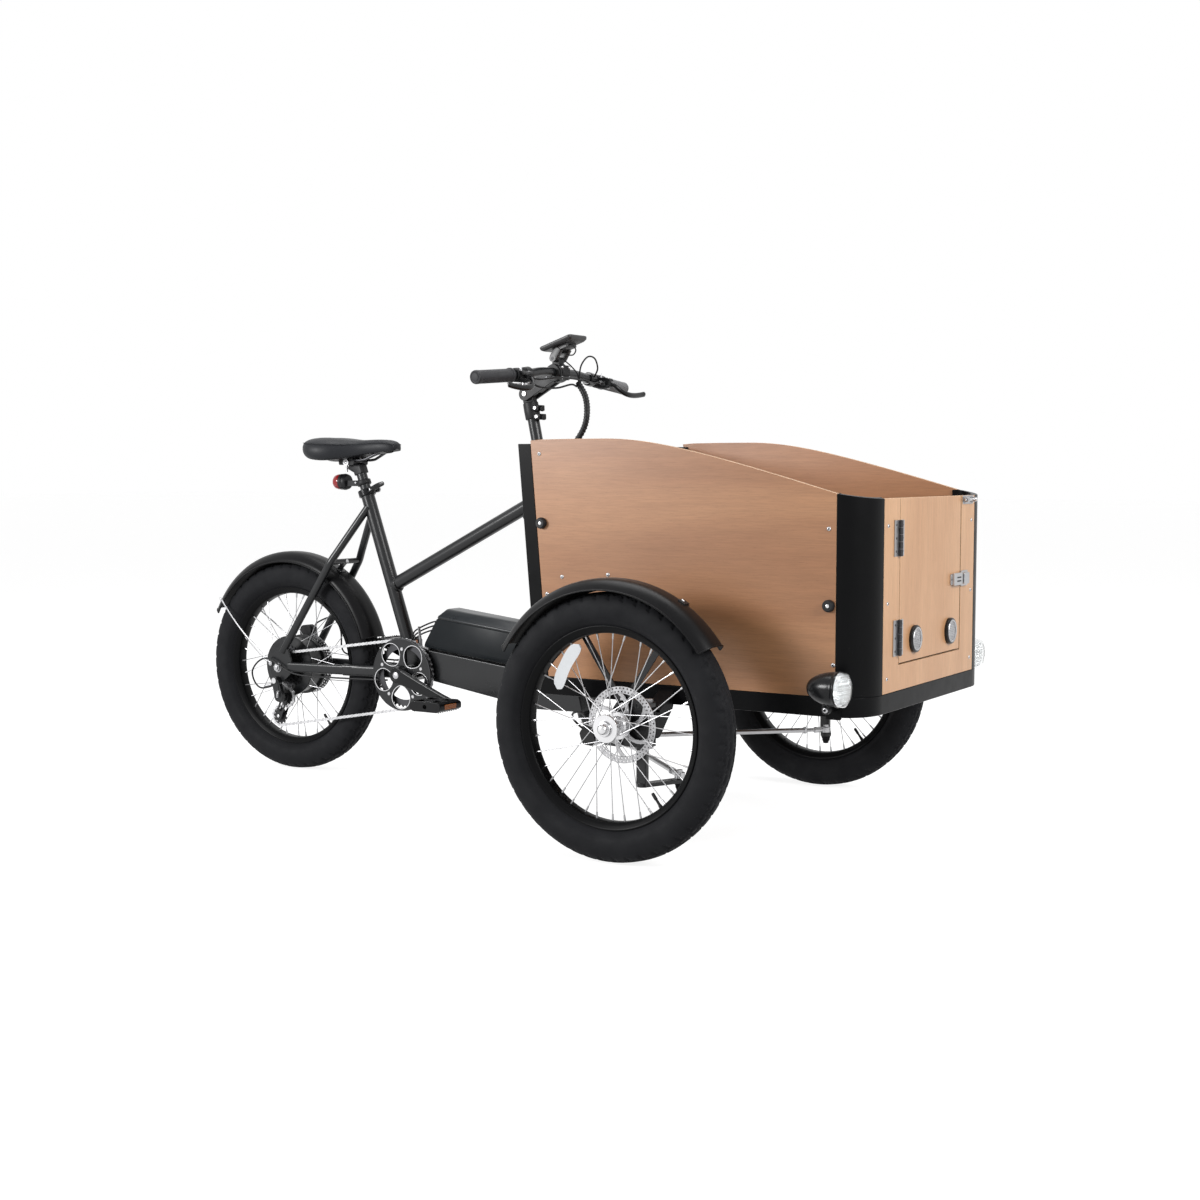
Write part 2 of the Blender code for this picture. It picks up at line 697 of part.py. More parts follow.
def wheel_path(wheels):
    """Points of a chain round wheels of (x, z, radius, turn), turn 1 for anticlockwise seen from the right."""
    count = len(wheels)
    leave, meet = [None] * count, [None] * count
    for i in range(count):
        x0, z0, r0, s0 = wheels[i]
        x1, z1, r1, s1 = wheels[(i + 1) % count]
        span, aim = hypot(x1 - x0, z1 - z0), atan2(z1 - z0, x1 - x0)
        turn = aim - s0 * acos((r0 - r1 * s0 * s1) / span)
        leave[i] = turn
        meet[(i + 1) % count] = turn if s0 == s1 else turn + pi
    points = []
    for i, (x, z, radius, s) in enumerate(wheels):
        sweep_angle = ((leave[i] - meet[i]) * s) % (2 * pi)
        steps = max(2, round(sweep_angle / radians(15)))
        clear = radius / cos(sweep_angle / steps / 2)
        for k in range(steps + 1):
            turn = meet[i] + s * sweep_angle * k / steps
            points.append((x + clear * cos(turn), z + clear * sin(turn)))
    return points


def drive_wheels():
    """Chainring, rear sprocket, guide pulley and tension pulley, in the order the chain meets them."""
    lift = CHAIN_DEPTH / 2 + 0.0002
    ring = (BB_X, BB_Z, pitch_radius(RING_TEETH) + lift, 1)
    cog = (REAR_X, AXLE_Z, pitch_radius(COG_TEETH) + lift, 1)
    (gx, gz), (tx, tz) = pulley_places()
    small = pitch_radius(PULLEY_TEETH) + lift
    return [ring, cog, (gx, gz, small, -1), (tx, tz, small, 1)]


def pulley_places():
    return [(REAR_X + x, AXLE_Z + z) for x, z in (GUIDE_PULLEY, TENSION_PULLEY)]


def chain():
    """A band of the chain's width and depth round the drive wheels."""
    route = [at(x, CHAIN_Y, z) for x, z in wheel_path(drive_wheels())]
    count = len(route)
    rings = []
    for i, point in enumerate(route):
        along = (route[(i + 1) % count] - route[i - 1]).normalized()
        out = Vector((along.z, 0, -along.x)) * (CHAIN_DEPTH / 2)
        across = Vector((0, CHAIN_WIDTH / 2, 0))
        rings.append([point - out - across, point + out - across, point + out + across, point - out + across])
    return skin(rings, loop=True)


def derailleur():
    """Hanger, body and cage with both jockey wheels, which the fixed chain holds in place."""
    (gx, gz), (tx, tz) = pulley_places()
    outer, inner = CHAIN_Y - 0.0095, CHAIN_Y + 0.0095
    tooth_r = pitch_radius(PULLEY_TEETH) - 0.0003
    cage = link((FRONT_AXLE_X + gx, gz), 0.0115, (FRONT_AXLE_X + tx, tz), 0.0105)
    solids = [prism(cage, "Y", outer, outer + 0.002), prism(cage, "Y", inner - 0.002, inner)]
    for x, z in ((gx, gz), (tx, tz)):
        solids.append(rod(at(x, outer + 0.001, z), at(x, inner - 0.001, z), 0.004, 6))
        solids.append(rod(at(x, CHAIN_Y - 0.0012, z), at(x, CHAIN_Y + 0.0012, z), tooth_r, 14))
    plate_y = DROPOUT_Y + DROPOUT_THICKNESS
    body = [(REAR_X - 0.012, AXLE_Z - 0.030), (REAR_X + 0.008, AXLE_Z - 0.034), (gx + 0.014, gz + 0.004),
            (gx + 0.006, gz - 0.012), (gx - 0.012, gz - 0.006)]
    body = [(FRONT_AXLE_X + x, z) for x, z in body]
    solids.append(prism(body, "Y", -plate_y - 0.014, -plate_y - GAP))
    solids.append(rod(at(gx, -plate_y - 0.010, gz), at(gx, outer + 0.001, gz), 0.007, 8))
    return combine(solids)


def crank_end(side):
    turn = CRANK_ANGLE if side < 0 else CRANK_ANGLE + pi
    return BB_X + CRANK_LENGTH * cos(turn), BB_Z + CRANK_LENGTH * sin(turn)


def crankset():
    """Spindle, both arms and the round chain guard with its five windows."""
    right, left = -CRANK_RIGHT_Y, CRANK_LEFT_Y
    guard_y = -GUARD_Y
    seat = CHAIN_Y - CHAINRING_THICKNESS / 2 - GAP
    guard = rod(at(BB_X, guard_y - 0.003, BB_Z), at(BB_X, guard_y, BB_Z), GUARD_RADIUS, 28)
    cuts = [windows(at(BB_X, 0, BB_Z), guard_y - 0.02, guard_y + 0.02, WINDOW_RADIUS)]
    solids = [combine([guard], cuts)]
    solids.append(rod(at(BB_X, right - 0.005, BB_Z), at(BB_X, left + 0.005, BB_Z), SPINDLE_RADIUS, 10))
    solids.append(rod(at(BB_X, right, BB_Z), at(BB_X, seat, BB_Z), 0.0215, 12))
    for side, y in ((-1, right), (1, left)):
        x, z = crank_end(side)
        arm = link((FRONT_AXLE_X + BB_X, BB_Z), 0.0175, (FRONT_AXLE_X + x, z), 0.0120)
        solids.append(prism(arm, "Y", y - 0.0065, y + 0.0065))
        solids.append(rod(at(x, y, z), at(x, y + side * (0.012 + PEDAL_WIDTH * 0.9), z), 0.0045, 8))
    return combine(solids)


def pedal(side):
    """A platform pedal: two ribbed rails and end plates round its spindle bore."""
    x, z = crank_end(side)
    arm_y = CRANK_RIGHT_Y if side < 0 else CRANK_LEFT_Y
    y0, y1 = sorted((side * (arm_y + 0.009), side * (arm_y + 0.009 + PEDAL_WIDTH)))
    half_l, half_h, rail = PEDAL_LENGTH / 2, PEDAL_HEIGHT / 2, 0.016
    frame = [(-half_l, -half_h * 0.6), (-half_l + 0.008, -half_h), (half_l - 0.008, -half_h),
             (half_l, -half_h * 0.6), (half_l, half_h * 0.6), (half_l - 0.008, half_h),
             (-half_l + 0.008, half_h), (-half_l, half_h * 0.6)]
    outer = prism([(FRONT_AXLE_X + x + a, z + b) for a, b in frame], "Y", y0, y1)
    cuts = []
    for low, high in ((-half_l + rail, -0.011), (0.011, half_l - rail)):
        for k in range(2):
            wide = (PEDAL_WIDTH - 3 * 0.012) / 2
            y = y0 + 0.012 + k * (wide + 0.012)
            cuts.append(block(at(x + low, y, z - 0.03), at(x + high, y + wide, z + 0.03)))
    bore = rod(at(x, y0 - 0.01, z), at(x, y1 + 0.01, z), flats(0.0045 + RUNNING, 10), 10)
    return combine([outer], [group(cuts), bore])


# Frame

def beam_top(x):
    return BEAM_REAR_TOP_Z + tan(BEAM_SLOPE) * (x - BEAM_REAR_X)


def main_frame():
    """The welded rear frame: tubes, battery beam, head tube, stays, dropouts and the rear caliper."""
    seat_low, seat_high = at(BB_X, 0, BB_Z), at(seat_x(SEAT_TUBE_TOP_Z), 0, SEAT_TUBE_TOP_Z)
    head_low = at(steer_x(HEAD_TUBE_BOTTOM_Z), 0, HEAD_TUBE_BOTTOM_Z)
    head_high = at(steer_x(HEAD_TUBE_TOP_Z), 0, HEAD_TUBE_TOP_Z)
    top_rear = at(seat_x(TOP_TUBE_REAR_Z), 0, TOP_TUBE_REAR_Z)
    top_front = at(steer_x(TOP_TUBE_FRONT_Z), 0, TOP_TUBE_FRONT_Z)
    shell_end = Vector((0, BB_SHELL_HALF, 0))
    solids = [
        rod(seat_low, seat_high, SEAT_TUBE_RADIUS, 12),
        rod(head_low, head_high, HEAD_TUBE_RADIUS, 14),
        rod(top_rear, top_front, TOP_TUBE_RADIUS, 12),
        rod(seat_low - shell_end, seat_low + shell_end, BB_SHELL_RADIUS, 12),
        beam(),
        beam_neck(),
    ]
    for side in (-1, 1):
        solids += [chainstay(side), seat_stay(side), dropout(side)]
    bridge = [at(*seat_stay_places(side)[1]) for side in (-1, 1)]
    solids.append(rod(bridge[0], bridge[1], 0.007, 8))
    solids.append(rear_brace())
    solids.append(caliper(at(REAR_X, 0, AXLE_Z), radians(97), REAR_ROTOR_Y, -0.0065, 0.0155))
    tab = [(-0.028, AXLE_Z + 0.020), (0.020, AXLE_Z + 0.040), (0.006, AXLE_Z + 0.100), (-0.030, AXLE_Z + 0.100)]
    solids.append(prism([(FRONT_AXLE_X + REAR_X + x, z) for x, z in tab], "Y",
                        DROPOUT_Y - 0.001, DROPOUT_Y + DROPOUT_THICKNESS - 0.001))
    post_axis = (seat_high - seat_low).normalized()
    post_bore = flats(POST_RADIUS + RUNNING, 12)
    bore_end = at(seat_x(POST_BOTTOM_Z), 0, POST_BOTTOM_Z) - post_axis * 0.012
    cuts = [
        rod(bore_end, seat_high + post_axis * 0.02, post_bore, 12),
        rod(head_low + (head_low - head_high) * 0.05, head_high + (head_high - head_low) * 0.05,
            flats(STEER_RADIUS + RUNNING, 12), 12),
        rod(seat_low - shell_end * 1.5, seat_low + shell_end * 1.5, flats(SPINDLE_RADIUS + RUNNING, 10), 10),
        rod(at(REAR_X, -0.09, AXLE_Z), at(REAR_X, 0.09, AXLE_Z), flats(REAR_AXLE_RADIUS + GAP, 12), 12),
    ]
    return combine(solids, cuts)


def beam():
    """Deep box beam that carries the battery and ends round the foot of the head tube."""
    front = BEAM_FRONT_X
    nose_low = steer_x(BEAM_NOSE_Z) + HEAD_TUBE_RADIUS
    nose_high = steer_x(BASE_Z) + HEAD_TUBE_RADIUS
    outline = [(BEAM_REAR_X, BEAM_REAR_TOP_Z - BEAM_REAR_HEIGHT), (front, beam_top(front) - BEAM_HEIGHT),
               (nose_low, BEAM_NOSE_Z), (nose_high, beam_top(nose_high)), (BEAM_REAR_X, BEAM_REAR_TOP_Z)]
    bm = prism([(FRONT_AXLE_X + x, z) for x, z in outline], "Y", -BEAM_HALF_WIDTH, BEAM_HALF_WIDTH)
    sides = [e for e in bm.edges if abs(e.verts[0].co.y - e.verts[1].co.y) < 1e-6]
    bmesh.ops.bevel(bm, geom=sides, offset=0.008, segments=1, affect="EDGES")
    return closed(bm)


def beam_neck():
    """Gusset between the beam's rear end, the bottom bracket and the seat tube."""
    top = BEAM_REAR_TOP_Z - 0.006
    outline = [(BB_X, BB_Z - 0.018), (BEAM_REAR_X + 0.01, BEAM_REAR_TOP_Z - BEAM_REAR_HEIGHT + 0.010),
               (BEAM_REAR_X + 0.01, top), (seat_x(top), top), (BB_X - 0.012, BB_Z)]
    return prism([(FRONT_AXLE_X + x, z) for x, z in outline], "Y", -0.026, 0.026)


def chainstay(side):
    points = [(BB_X - 0.010, 0.027, BB_Z), (BB_X - 0.135, 0.046, BB_Z - 0.001),
              (REAR_X + 0.036, DROPOUT_Y + 0.003, AXLE_Z + 0.003)]
    return sweep([at(x, side * y, z) for x, y, z in points], rectangle(0.014, 0.030, 0.004))


def seat_stay_places(side):
    """Top, bend at the bridge and foot of a seat stay."""
    top = (seat_x(SEAT_STAY_TOP_Z), side * 0.012, SEAT_STAY_TOP_Z)
    bend = (REAR_X + BRIDGE_REACH * cos(BRIDGE_TURN), side * (GUARD_HALF + STAY_RADIUS + 0.003),
            AXLE_Z + BRIDGE_REACH * sin(BRIDGE_TURN))
    foot = (REAR_X + 0.014, side * (DROPOUT_Y + 0.003), AXLE_Z + 0.042)
    return [top, bend, foot]


def seat_stay(side):
    return sweep([at(*p) for p in seat_stay_places(side)], circle(STAY_RADIUS, 8), up=Vector((1, 0, 0)))


def dropout(side):
    """Plate that holds the axle; the right one reaches down for the gear hanger."""
    hanger = AXLE_Z - 0.042 if side < 0 else AXLE_Z - 0.026
    outline = [(-0.030, AXLE_Z - 0.014), (-0.012, hanger), (0.010, hanger), (0.044, AXLE_Z - 0.013),
               (0.046, AXLE_Z + 0.018), (0.030, AXLE_Z + 0.052), (0.004, AXLE_Z + 0.056),
               (-0.026, AXLE_Z + 0.022)]
    y0, y1 = sorted((side * DROPOUT_Y, side * (DROPOUT_Y + DROPOUT_THICKNESS)))
    return prism([(FRONT_AXLE_X + REAR_X + x, z) for x, z in outline], "Y", y0, y1)


def rear_brace():
    """Cross tube from rear post to rear post, welded to the head tube."""
    z = BRACE_Z
    x = BOX_REAR_X + rear_lean(z) - POST_WIDTH - GAP - BRACE_RADIUS
    tube = rod(at(x, -BRACE_REACH, z), at(x, BRACE_REACH, z), BRACE_RADIUS, 10)
    link = sweep([at(steer_x(z), 0, z), at(x, 0, z)], rectangle(0.024, 0.020))
    return combine([tube, link])


def caliper(axle, turn, disc_y, inner, outer):
    """Brake caliper over a rotor's edge, cut out for the disc. Inner and outer are its faces from the disc."""
    radial = Vector((cos(turn), 0, sin(turn)))
    along = Vector((-sin(turn), 0, cos(turn)))
    low, high = ROTOR_RADIUS - 0.012, ROTOR_RADIUS + 0.026
    near, far = sorted((disc_y + inner, disc_y + outer))

    def slab(r0, r1, half, y0, y1):
        rings = []
        for r in (r0, r1):
            spot = Vector(axle) + radial * r
            corners = ((-half, y0), (half, y0), (half, y1), (-half, y1))
            rings.append([spot + along * a + Vector((0, y, 0)) for a, y in corners])
        return skin(rings)

    body = slab(low, high, 0.022, near, far)
    slot = slab(low - 0.01, ROTOR_RADIUS + 0.004, 0.03, disc_y - 0.0025, disc_y + 0.0025)
    return combine([body], [slot])


def rear_axle():
    """Axle with a nut outside each dropout."""
    outer = DROPOUT_Y + DROPOUT_THICKNESS + GAP
    shaft = rod(at(REAR_X, -outer - 0.010, AXLE_Z), at(REAR_X, outer + 0.010, AXLE_Z), REAR_AXLE_RADIUS, 12)
    nuts = [rod(at(REAR_X, s * outer, AXLE_Z), at(REAR_X, s * (outer + 0.007), AXLE_Z), 0.0105, 6) for s in (-1, 1)]
    return combine([shaft] + nuts)


# Battery

def battery_place(x, lift):
    """A place on the beam's top, lifted square to it."""
    return at(x - sin(BEAM_SLOPE) * lift, 0, beam_top(x) + cos(BEAM_SLOPE) * lift)


def battery_section(half, height, crown, crown_half):
    return [(-half + 0.004, 0), (half - 0.004, 0), (half, 0.010), (half, height), (crown_half, height + crown),
            (-crown_half, height + crown), (-half, height), (-half, 0.010)]


def battery():
    """Battery case with a bevelled crown; both ends lean in towards the top."""
    section = battery_section(BATTERY_HALF_WIDTH, BATTERY_SIDE_HEIGHT, BATTERY_CROWN, BATTERY_CROWN_HALF)
    rear = BEAM_REAR_X + BATTERY_REAR_ROOM
    front = rear + BATTERY_LENGTH
    rings = []
    for x, lean in ((rear, 1), (front, -0.4)):
        ring = []
        for y, lift in section:
            shift = lean * BATTERY_REAR_LEAN * lift / BATTERY_SIDE_HEIGHT
            ring.append(battery_place(x + shift, lift + DOCK_HEIGHT + GAP) + Vector((0, y, 0)))
        rings.append(ring)
    return skin(rings)


def battery_dock():
    """Rail on the beam with the upright plate and lock bracket behind the battery."""
    rear, front = BEAM_REAR_X - 0.004, BEAM_REAR_X + BATTERY_LENGTH
    rail = []
    for x in (rear, front):
        corners = ((-0.030, GAP), (0.030, GAP), (0.030, DOCK_HEIGHT), (-0.030, DOCK_HEIGHT))
        rail.append([battery_place(x, lift) + Vector((0, y, 0)) for y, lift in corners])
    plate = []
    for lift in (GAP, 0.056):
        shift = BATTERY_REAR_LEAN * (lift - DOCK_HEIGHT - GAP) / BATTERY_SIDE_HEIGHT
        x = BEAM_REAR_X + 0.0036 + shift
        spots = ((x - 0.004, -0.020), (x, -0.020), (x, 0.020), (x - 0.004, 0.020))
        plate.append([battery_place(a, lift) + Vector((0, b, 0)) for a, b in spots])
    return combine([skin(rail), skin(plate)])


# Cargo box

def side_top(x):
    """Height of a side panel's upper edge: level at the rear, then falling in a soft shoulder."""
    run = max(0.0, x - SIDE_PEAK_X)
    fall = (hypot(CORNER_START_X - SIDE_PEAK_X, SHOULDER) - SHOULDER)
    return SIDE_PEAK_Z - (SIDE_PEAK_Z - SIDE_FRONT_TOP_Z) * (hypot(run, SHOULDER) - SHOULDER) / fall


def side_panel(side):
    rear_top = BOX_REAR_X + rear_lean(SIDE_PEAK_Z)
    front = CORNER_START_X - GAP
    outline = [(BOX_REAR_X, FLOOR_Z + GAP), (front, FLOOR_Z + GAP)]
    steps = 9
    for k in range(steps + 1):
        x = front + (SIDE_PEAK_X - front) * k / steps
        outline.append((x, side_top(x)))
    outline.append((rear_top, SIDE_PEAK_Z - 0.003))
    y0, y1 = sorted((side * (BOX_HALF_WIDTH - PANEL), side * BOX_HALF_WIDTH))
    return prism([(FRONT_AXLE_X + x, z) for x, z in outline], "Y", y0, y1)


def leaning(section, top):
    """A section of (x, y) from the rear edge of the box, run up along the lean."""
    rings = []
    for z in (FLOOR_Z + GAP, top):
        edge = BOX_REAR_X + rear_lean(z)
        rings.append([at(edge + x, y, z) for x, y in section])
    return skin(rings)


def rear_post(side):
    """Square post with a lip behind the side panel."""
    inner, lip = BOX_HALF_WIDTH - POST_WIDTH, BOX_HALF_WIDTH - PANEL - GAP
    section = [(-POST_WIDTH, BOX_HALF_WIDTH), (-GAP, BOX_HALF_WIDTH), (-GAP, lip), (LIP_WIDTH, lip),
               (LIP_WIDTH, lip - LIP), (-GAP, lip - LIP), (-GAP, inner), (-POST_WIDTH, inner)]
    return leaning([(x, side * y) for x, y in section], REAR_POST_TOP_Z)


def rear_panel():
    half = BOX_HALF_WIDTH - POST_WIDTH - GAP
    section = [(-PANEL, -half), (0, -half), (0, half), (-PANEL, half)]
    return leaning(section, REAR_POST_TOP_Z)


def corner_arc(inset, steps=5):
    """Points (x, y) round a front corner from the side to the front."""
    points = []
    for k in range(steps + 1):
        t = pi / 2 * k / steps
        points.append((CORNER_START_X + (CORNER_X - inset) * sin(t), FLAT_FRONT_Y + (CORNER_Y - inset) * cos(t)))
    return points


def front_corner(side):
    """Rounded corner post with lips behind the side and front panels."""
    back, lip = PANEL + GAP, PANEL + GAP + LIP
    outer = corner_arc(0.0)
    outer[-1] = (BOX_FRONT_X, FLAT_FRONT_Y + GAP)
    section = outer + [(BOX_FRONT_X - back, FLAT_FRONT_Y + GAP), (BOX_FRONT_X - back, FLAT_FRONT_Y - LIP_WIDTH),
                       (BOX_FRONT_X - lip, FLAT_FRONT_Y - LIP_WIDTH)]
    section += list(reversed(corner_arc(lip)))
    section += [(CORNER_START_X - LIP_WIDTH, BOX_HALF_WIDTH - lip), (CORNER_START_X - LIP_WIDTH, BOX_HALF_WIDTH - back),
                (CORNER_START_X, BOX_HALF_WIDTH - back)]
    slope = (SIDE_FRONT_TOP_Z - FRONT_TOP_Z) / CORNER_X
    low = [at(x, side * y, FLOOR_Z + GAP) for x, y in section]
    high = [at(x, side * y, SIDE_FRONT_TOP_Z - slope * max(0.0, x - CORNER_START_X)) for x, y in section]
    return skin([low, high])


def base_outline(inset, rear):
    """Plan of the base: square at the rear, rounded at the front."""
    right = [(x, -y) for x, y in corner_arc(inset)]
    left = list(reversed(corner_arc(inset)))
    side = BOX_HALF_WIDTH - inset
    return [(rear, -side)] + right + left + [(rear, side)]


def box_base_frame():
    """Welded tray under the box: rails, spine, axle member and the kingpin carriers outside it."""
    def plan(inset, z0, z1):
        outline = base_outline(inset, rear + inset)
        return prism([(FRONT_AXLE_X + x, y) for x, y in outline], "Z", z0, z1)

    rear = BOX_REAR_X - POST_WIDTH
    rails = combine([plan(0.0, BASE_Z, FLOOR_Z)], [plan(RAIL_WIDTH, BASE_Z - 0.01, FLOOR_Z + 0.01)])
    solids = [rails]
    solids.append(block(at(KINGPIN_X - 0.020, -BOX_HALF_WIDTH + 0.004, BASE_Z),
                        at(KINGPIN_X + 0.020, BOX_HALF_WIDTH - 0.004, FLOOR_Z)))
    solids.append(block(at(steer_x(BASE_Z) + 0.002, -0.020, BASE_Z + 0.002), at(BOX_FRONT_X - 0.010, 0.020, FLOOR_Z)))
    solids.append(block(at(rear + 0.150, -BOX_HALF_WIDTH + 0.004, BASE_Z),
                        at(rear + 0.180, BOX_HALF_WIDTH - 0.004, FLOOR_Z)))
    cuts = [rod(at(steer_x(BASE_Z - 0.05), 0, BASE_Z - 0.05), at(steer_x(FLOOR_Z + 0.05), 0, FLOOR_Z + 0.05),
                flats(HEAD_TUBE_RADIUS + GAP, 16), 16)]
    low, high = AXLE_Z - KINGPIN_TUBE_HALF, AXLE_Z + KINGPIN_TUBE_HALF
    web = [(BOX_HALF_WIDTH - 0.006, FLOOR_Z - 0.004), (KINGPIN_Y - 0.032, high - 0.002), (KINGPIN_Y - 0.004, high - 0.002),
           (KINGPIN_Y - 0.004, low + 0.004), (KINGPIN_Y - 0.026, low + 0.004), (BOX_HALF_WIDTH - 0.006, BASE_Z - 0.005)]
    for side in (-1, 1):
        solids.append(prism([(side * y, z) for y, z in web], "X",
                            FRONT_AXLE_X + KINGPIN_X - 0.012, FRONT_AXLE_X + KINGPIN_X + 0.012))
        axis_low, axis_high = at(KINGPIN_X, side * KINGPIN_Y, low), at(KINGPIN_X, side * KINGPIN_Y, high)
        solids.append(rod(axis_low, axis_high, KINGPIN_TUBE_RADIUS, 12))
        reach = Vector((0, 0, 0.02))
        cuts.append(rod(axis_low - reach, axis_high + reach, flats(KINGPIN_RADIUS + RUNNING, 12), 12))
        solids.append(light_boss(side))
    return combine(solids, cuts)


def box_floor():
    """Plywood floor on the tray, inside the walls and the posts' lips."""
    outline = base_outline(PANEL + LIP + 2 * GAP, BOX_REAR_X + 2 * GAP)
    return prism([(FRONT_AXLE_X + x, y) for x, y in outline], "Z", FLOOR_Z + GAP, FLOOR_Z + GAP + PANEL)


def front_panel():
    """Fixed part of the front wall, cut out for the door, with the two guides of the bolt."""
    half = FLAT_FRONT_Y
    outline = [(-half, FLOOR_Z + GAP), (half, FLOOR_Z + GAP), (half, FRONT_TOP_Z), (DOOR_LEFT_Y, FRONT_TOP_Z),
               (DOOR_LEFT_Y, DOOR_BOTTOM_Z), (DOOR_RIGHT_Y, DOOR_BOTTOM_Z), (DOOR_RIGHT_Y, FRONT_TOP_Z),
               (-half, FRONT_TOP_Z)]
    wall = prism(outline, "X", FRONT_AXLE_X + BOX_FRONT_X - PANEL, FRONT_AXLE_X + BOX_FRONT_X)
    guides = [bolt_guide(BOLT_TIP_Y + 0.006), bolt_guide(BOLT_TIP_Y + 0.052)]
    return combine([wall] + guides, [bolt_bore()])


def bolt_guide(y):
    """A staple of the sliding bolt, from y outwards."""
    return block(at(BOX_FRONT_X - 0.001, y, BOLT_Z - 0.009), at(BOX_FRONT_X + 0.012, y + 0.013, BOLT_Z + 0.009))


def bolt_bore():
    start, end = at(BOLT_X, BOLT_TIP_Y - 0.05, BOLT_Z), at(BOLT_X, BOLT_TIP_Y + BOLT_LENGTH + 0.03, BOLT_Z)
    return rod(start, end, flats(BOLT_RADIUS + RUNNING, 10), 10)


def door_bolt():
    """Round bolt with a knob, drawn back in its guides. Its tip slides out across the door's face."""
    shaft = rod(at(BOLT_X, BOLT_TIP_Y, BOLT_Z), at(BOLT_X, BOLT_TIP_Y + BOLT_LENGTH, BOLT_Z), BOLT_RADIUS, 10)
    y = BOLT_TIP_Y + 0.045
    knob = rod(at(BOLT_X, y, BOLT_Z), at(BOLT_X + 0.013, y, BOLT_Z), 0.003, 8)
    return combine([shaft, knob])


def hinge_axis():
    return BOX_FRONT_X + HINGE_BARREL + GAP, DOOR_RIGHT_Y - 0.007


def hinge_half(z, side):
    """One leaf with its half of the barrel: side -1 is fixed to the panel, 1 moves with the door."""
    x, y = hinge_axis()
    half = HINGE_HEIGHT / 2
    z0, z1 = (z - half, z - GAP) if side < 0 else (z + GAP, z + half)
    near, far = sorted((y + side * 0.0005, y + side * 0.020))
    leaf = block(at(BOX_FRONT_X + GAP, near, z - half), at(BOX_FRONT_X + 0.0023, far, z + half))
    y0, y1 = sorted((y - side * 0.02, y + side * (HINGE_BARREL + 0.0012)))
    other = (z1 + GAP, z + half + 0.01) if side < 0 else (z - half - 0.01, z0 - GAP)
    relief = block(at(BOX_FRONT_X - 0.01, y0, other[0]), at(BOX_FRONT_X + 0.02, y1, other[1]))
    leaf = combine([leaf], [relief])
    barrel = rod(at(x, y, z0), at(x, y, z1), HINGE_BARREL, 8)
    if side < 0:
        pin = rod(at(x, y, z - half + 0.01), at(x, y, z + half - 0.004), PIN_RADIUS, 6)
        return combine([leaf, barrel, pin])
    pad = block(at(BOX_FRONT_X - 0.001, y + 0.011, z - half + 0.004), at(BOX_FRONT_X + 0.001, y + 0.018, z + half - 0.004))
    bore = rod(at(x, y, z0 - 0.01), at(x, y, z + half - 0.002), flats(PIN_RADIUS + RUNNING, 8), 8)
    return combine([leaf, barrel, pad], [bore])


def front_door():
    """Plywood door with two vent rings, the moving hinge leaves and the latch's stud."""
    low, high = DOOR_RIGHT_Y + DOOR_PLAY, DOOR_LEFT_Y - DOOR_PLAY
    solids = [block(at(BOX_FRONT_X - PANEL, low, DOOR_BOTTOM_Z + DOOR_PLAY), at(BOX_FRONT_X, high, FRONT_TOP_Z))]
    solids += [hinge_half(z, 1) for z in HINGE_ZS]
    for y in VENT_YS:
        ring = [(VENT_RADIUS, -0.001), (VENT_RADIUS, 0.002), (VENT_RADIUS - 0.006, 0.003), (VENT_RADIUS - 0.006, -0.001)]
        solids.append(turned(ring, at(BOX_FRONT_X, y, VENT_Z), (1, 0, 0), 16))
    stud = [at(BOX_FRONT_X + x, LATCH_Y, LATCH_Z) for x in (-0.001, 0.006)]
    solids.append(rod(stud[0], stud[1], PIN_RADIUS, 6))
    return combine(solids)


def door_latch():
    """Turn button on a stud, its free end over the door's frame."""
    x0, x1 = BOX_FRONT_X + GAP, BOX_FRONT_X + 0.004
    arm = block(at(x0, LATCH_Y - 0.028, LATCH_Z - 0.012), at(x1, LATCH_Y + 0.083, LATCH_Z + 0.012))
    handle = block(at(x1 - 0.001, LATCH_Y + 0.040, LATCH_Z - 0.004), at(x1 + 0.008, LATCH_Y + 0.064, LATCH_Z + 0.004))
    bore = rod(at(x0 - 0.01, LATCH_Y, LATCH_Z), at(x1 + 0.01, LATCH_Y, LATCH_Z), flats(PIN_RADIUS + RUNNING, 8), 8)
    return combine([arm, handle], [bore])


# Steering

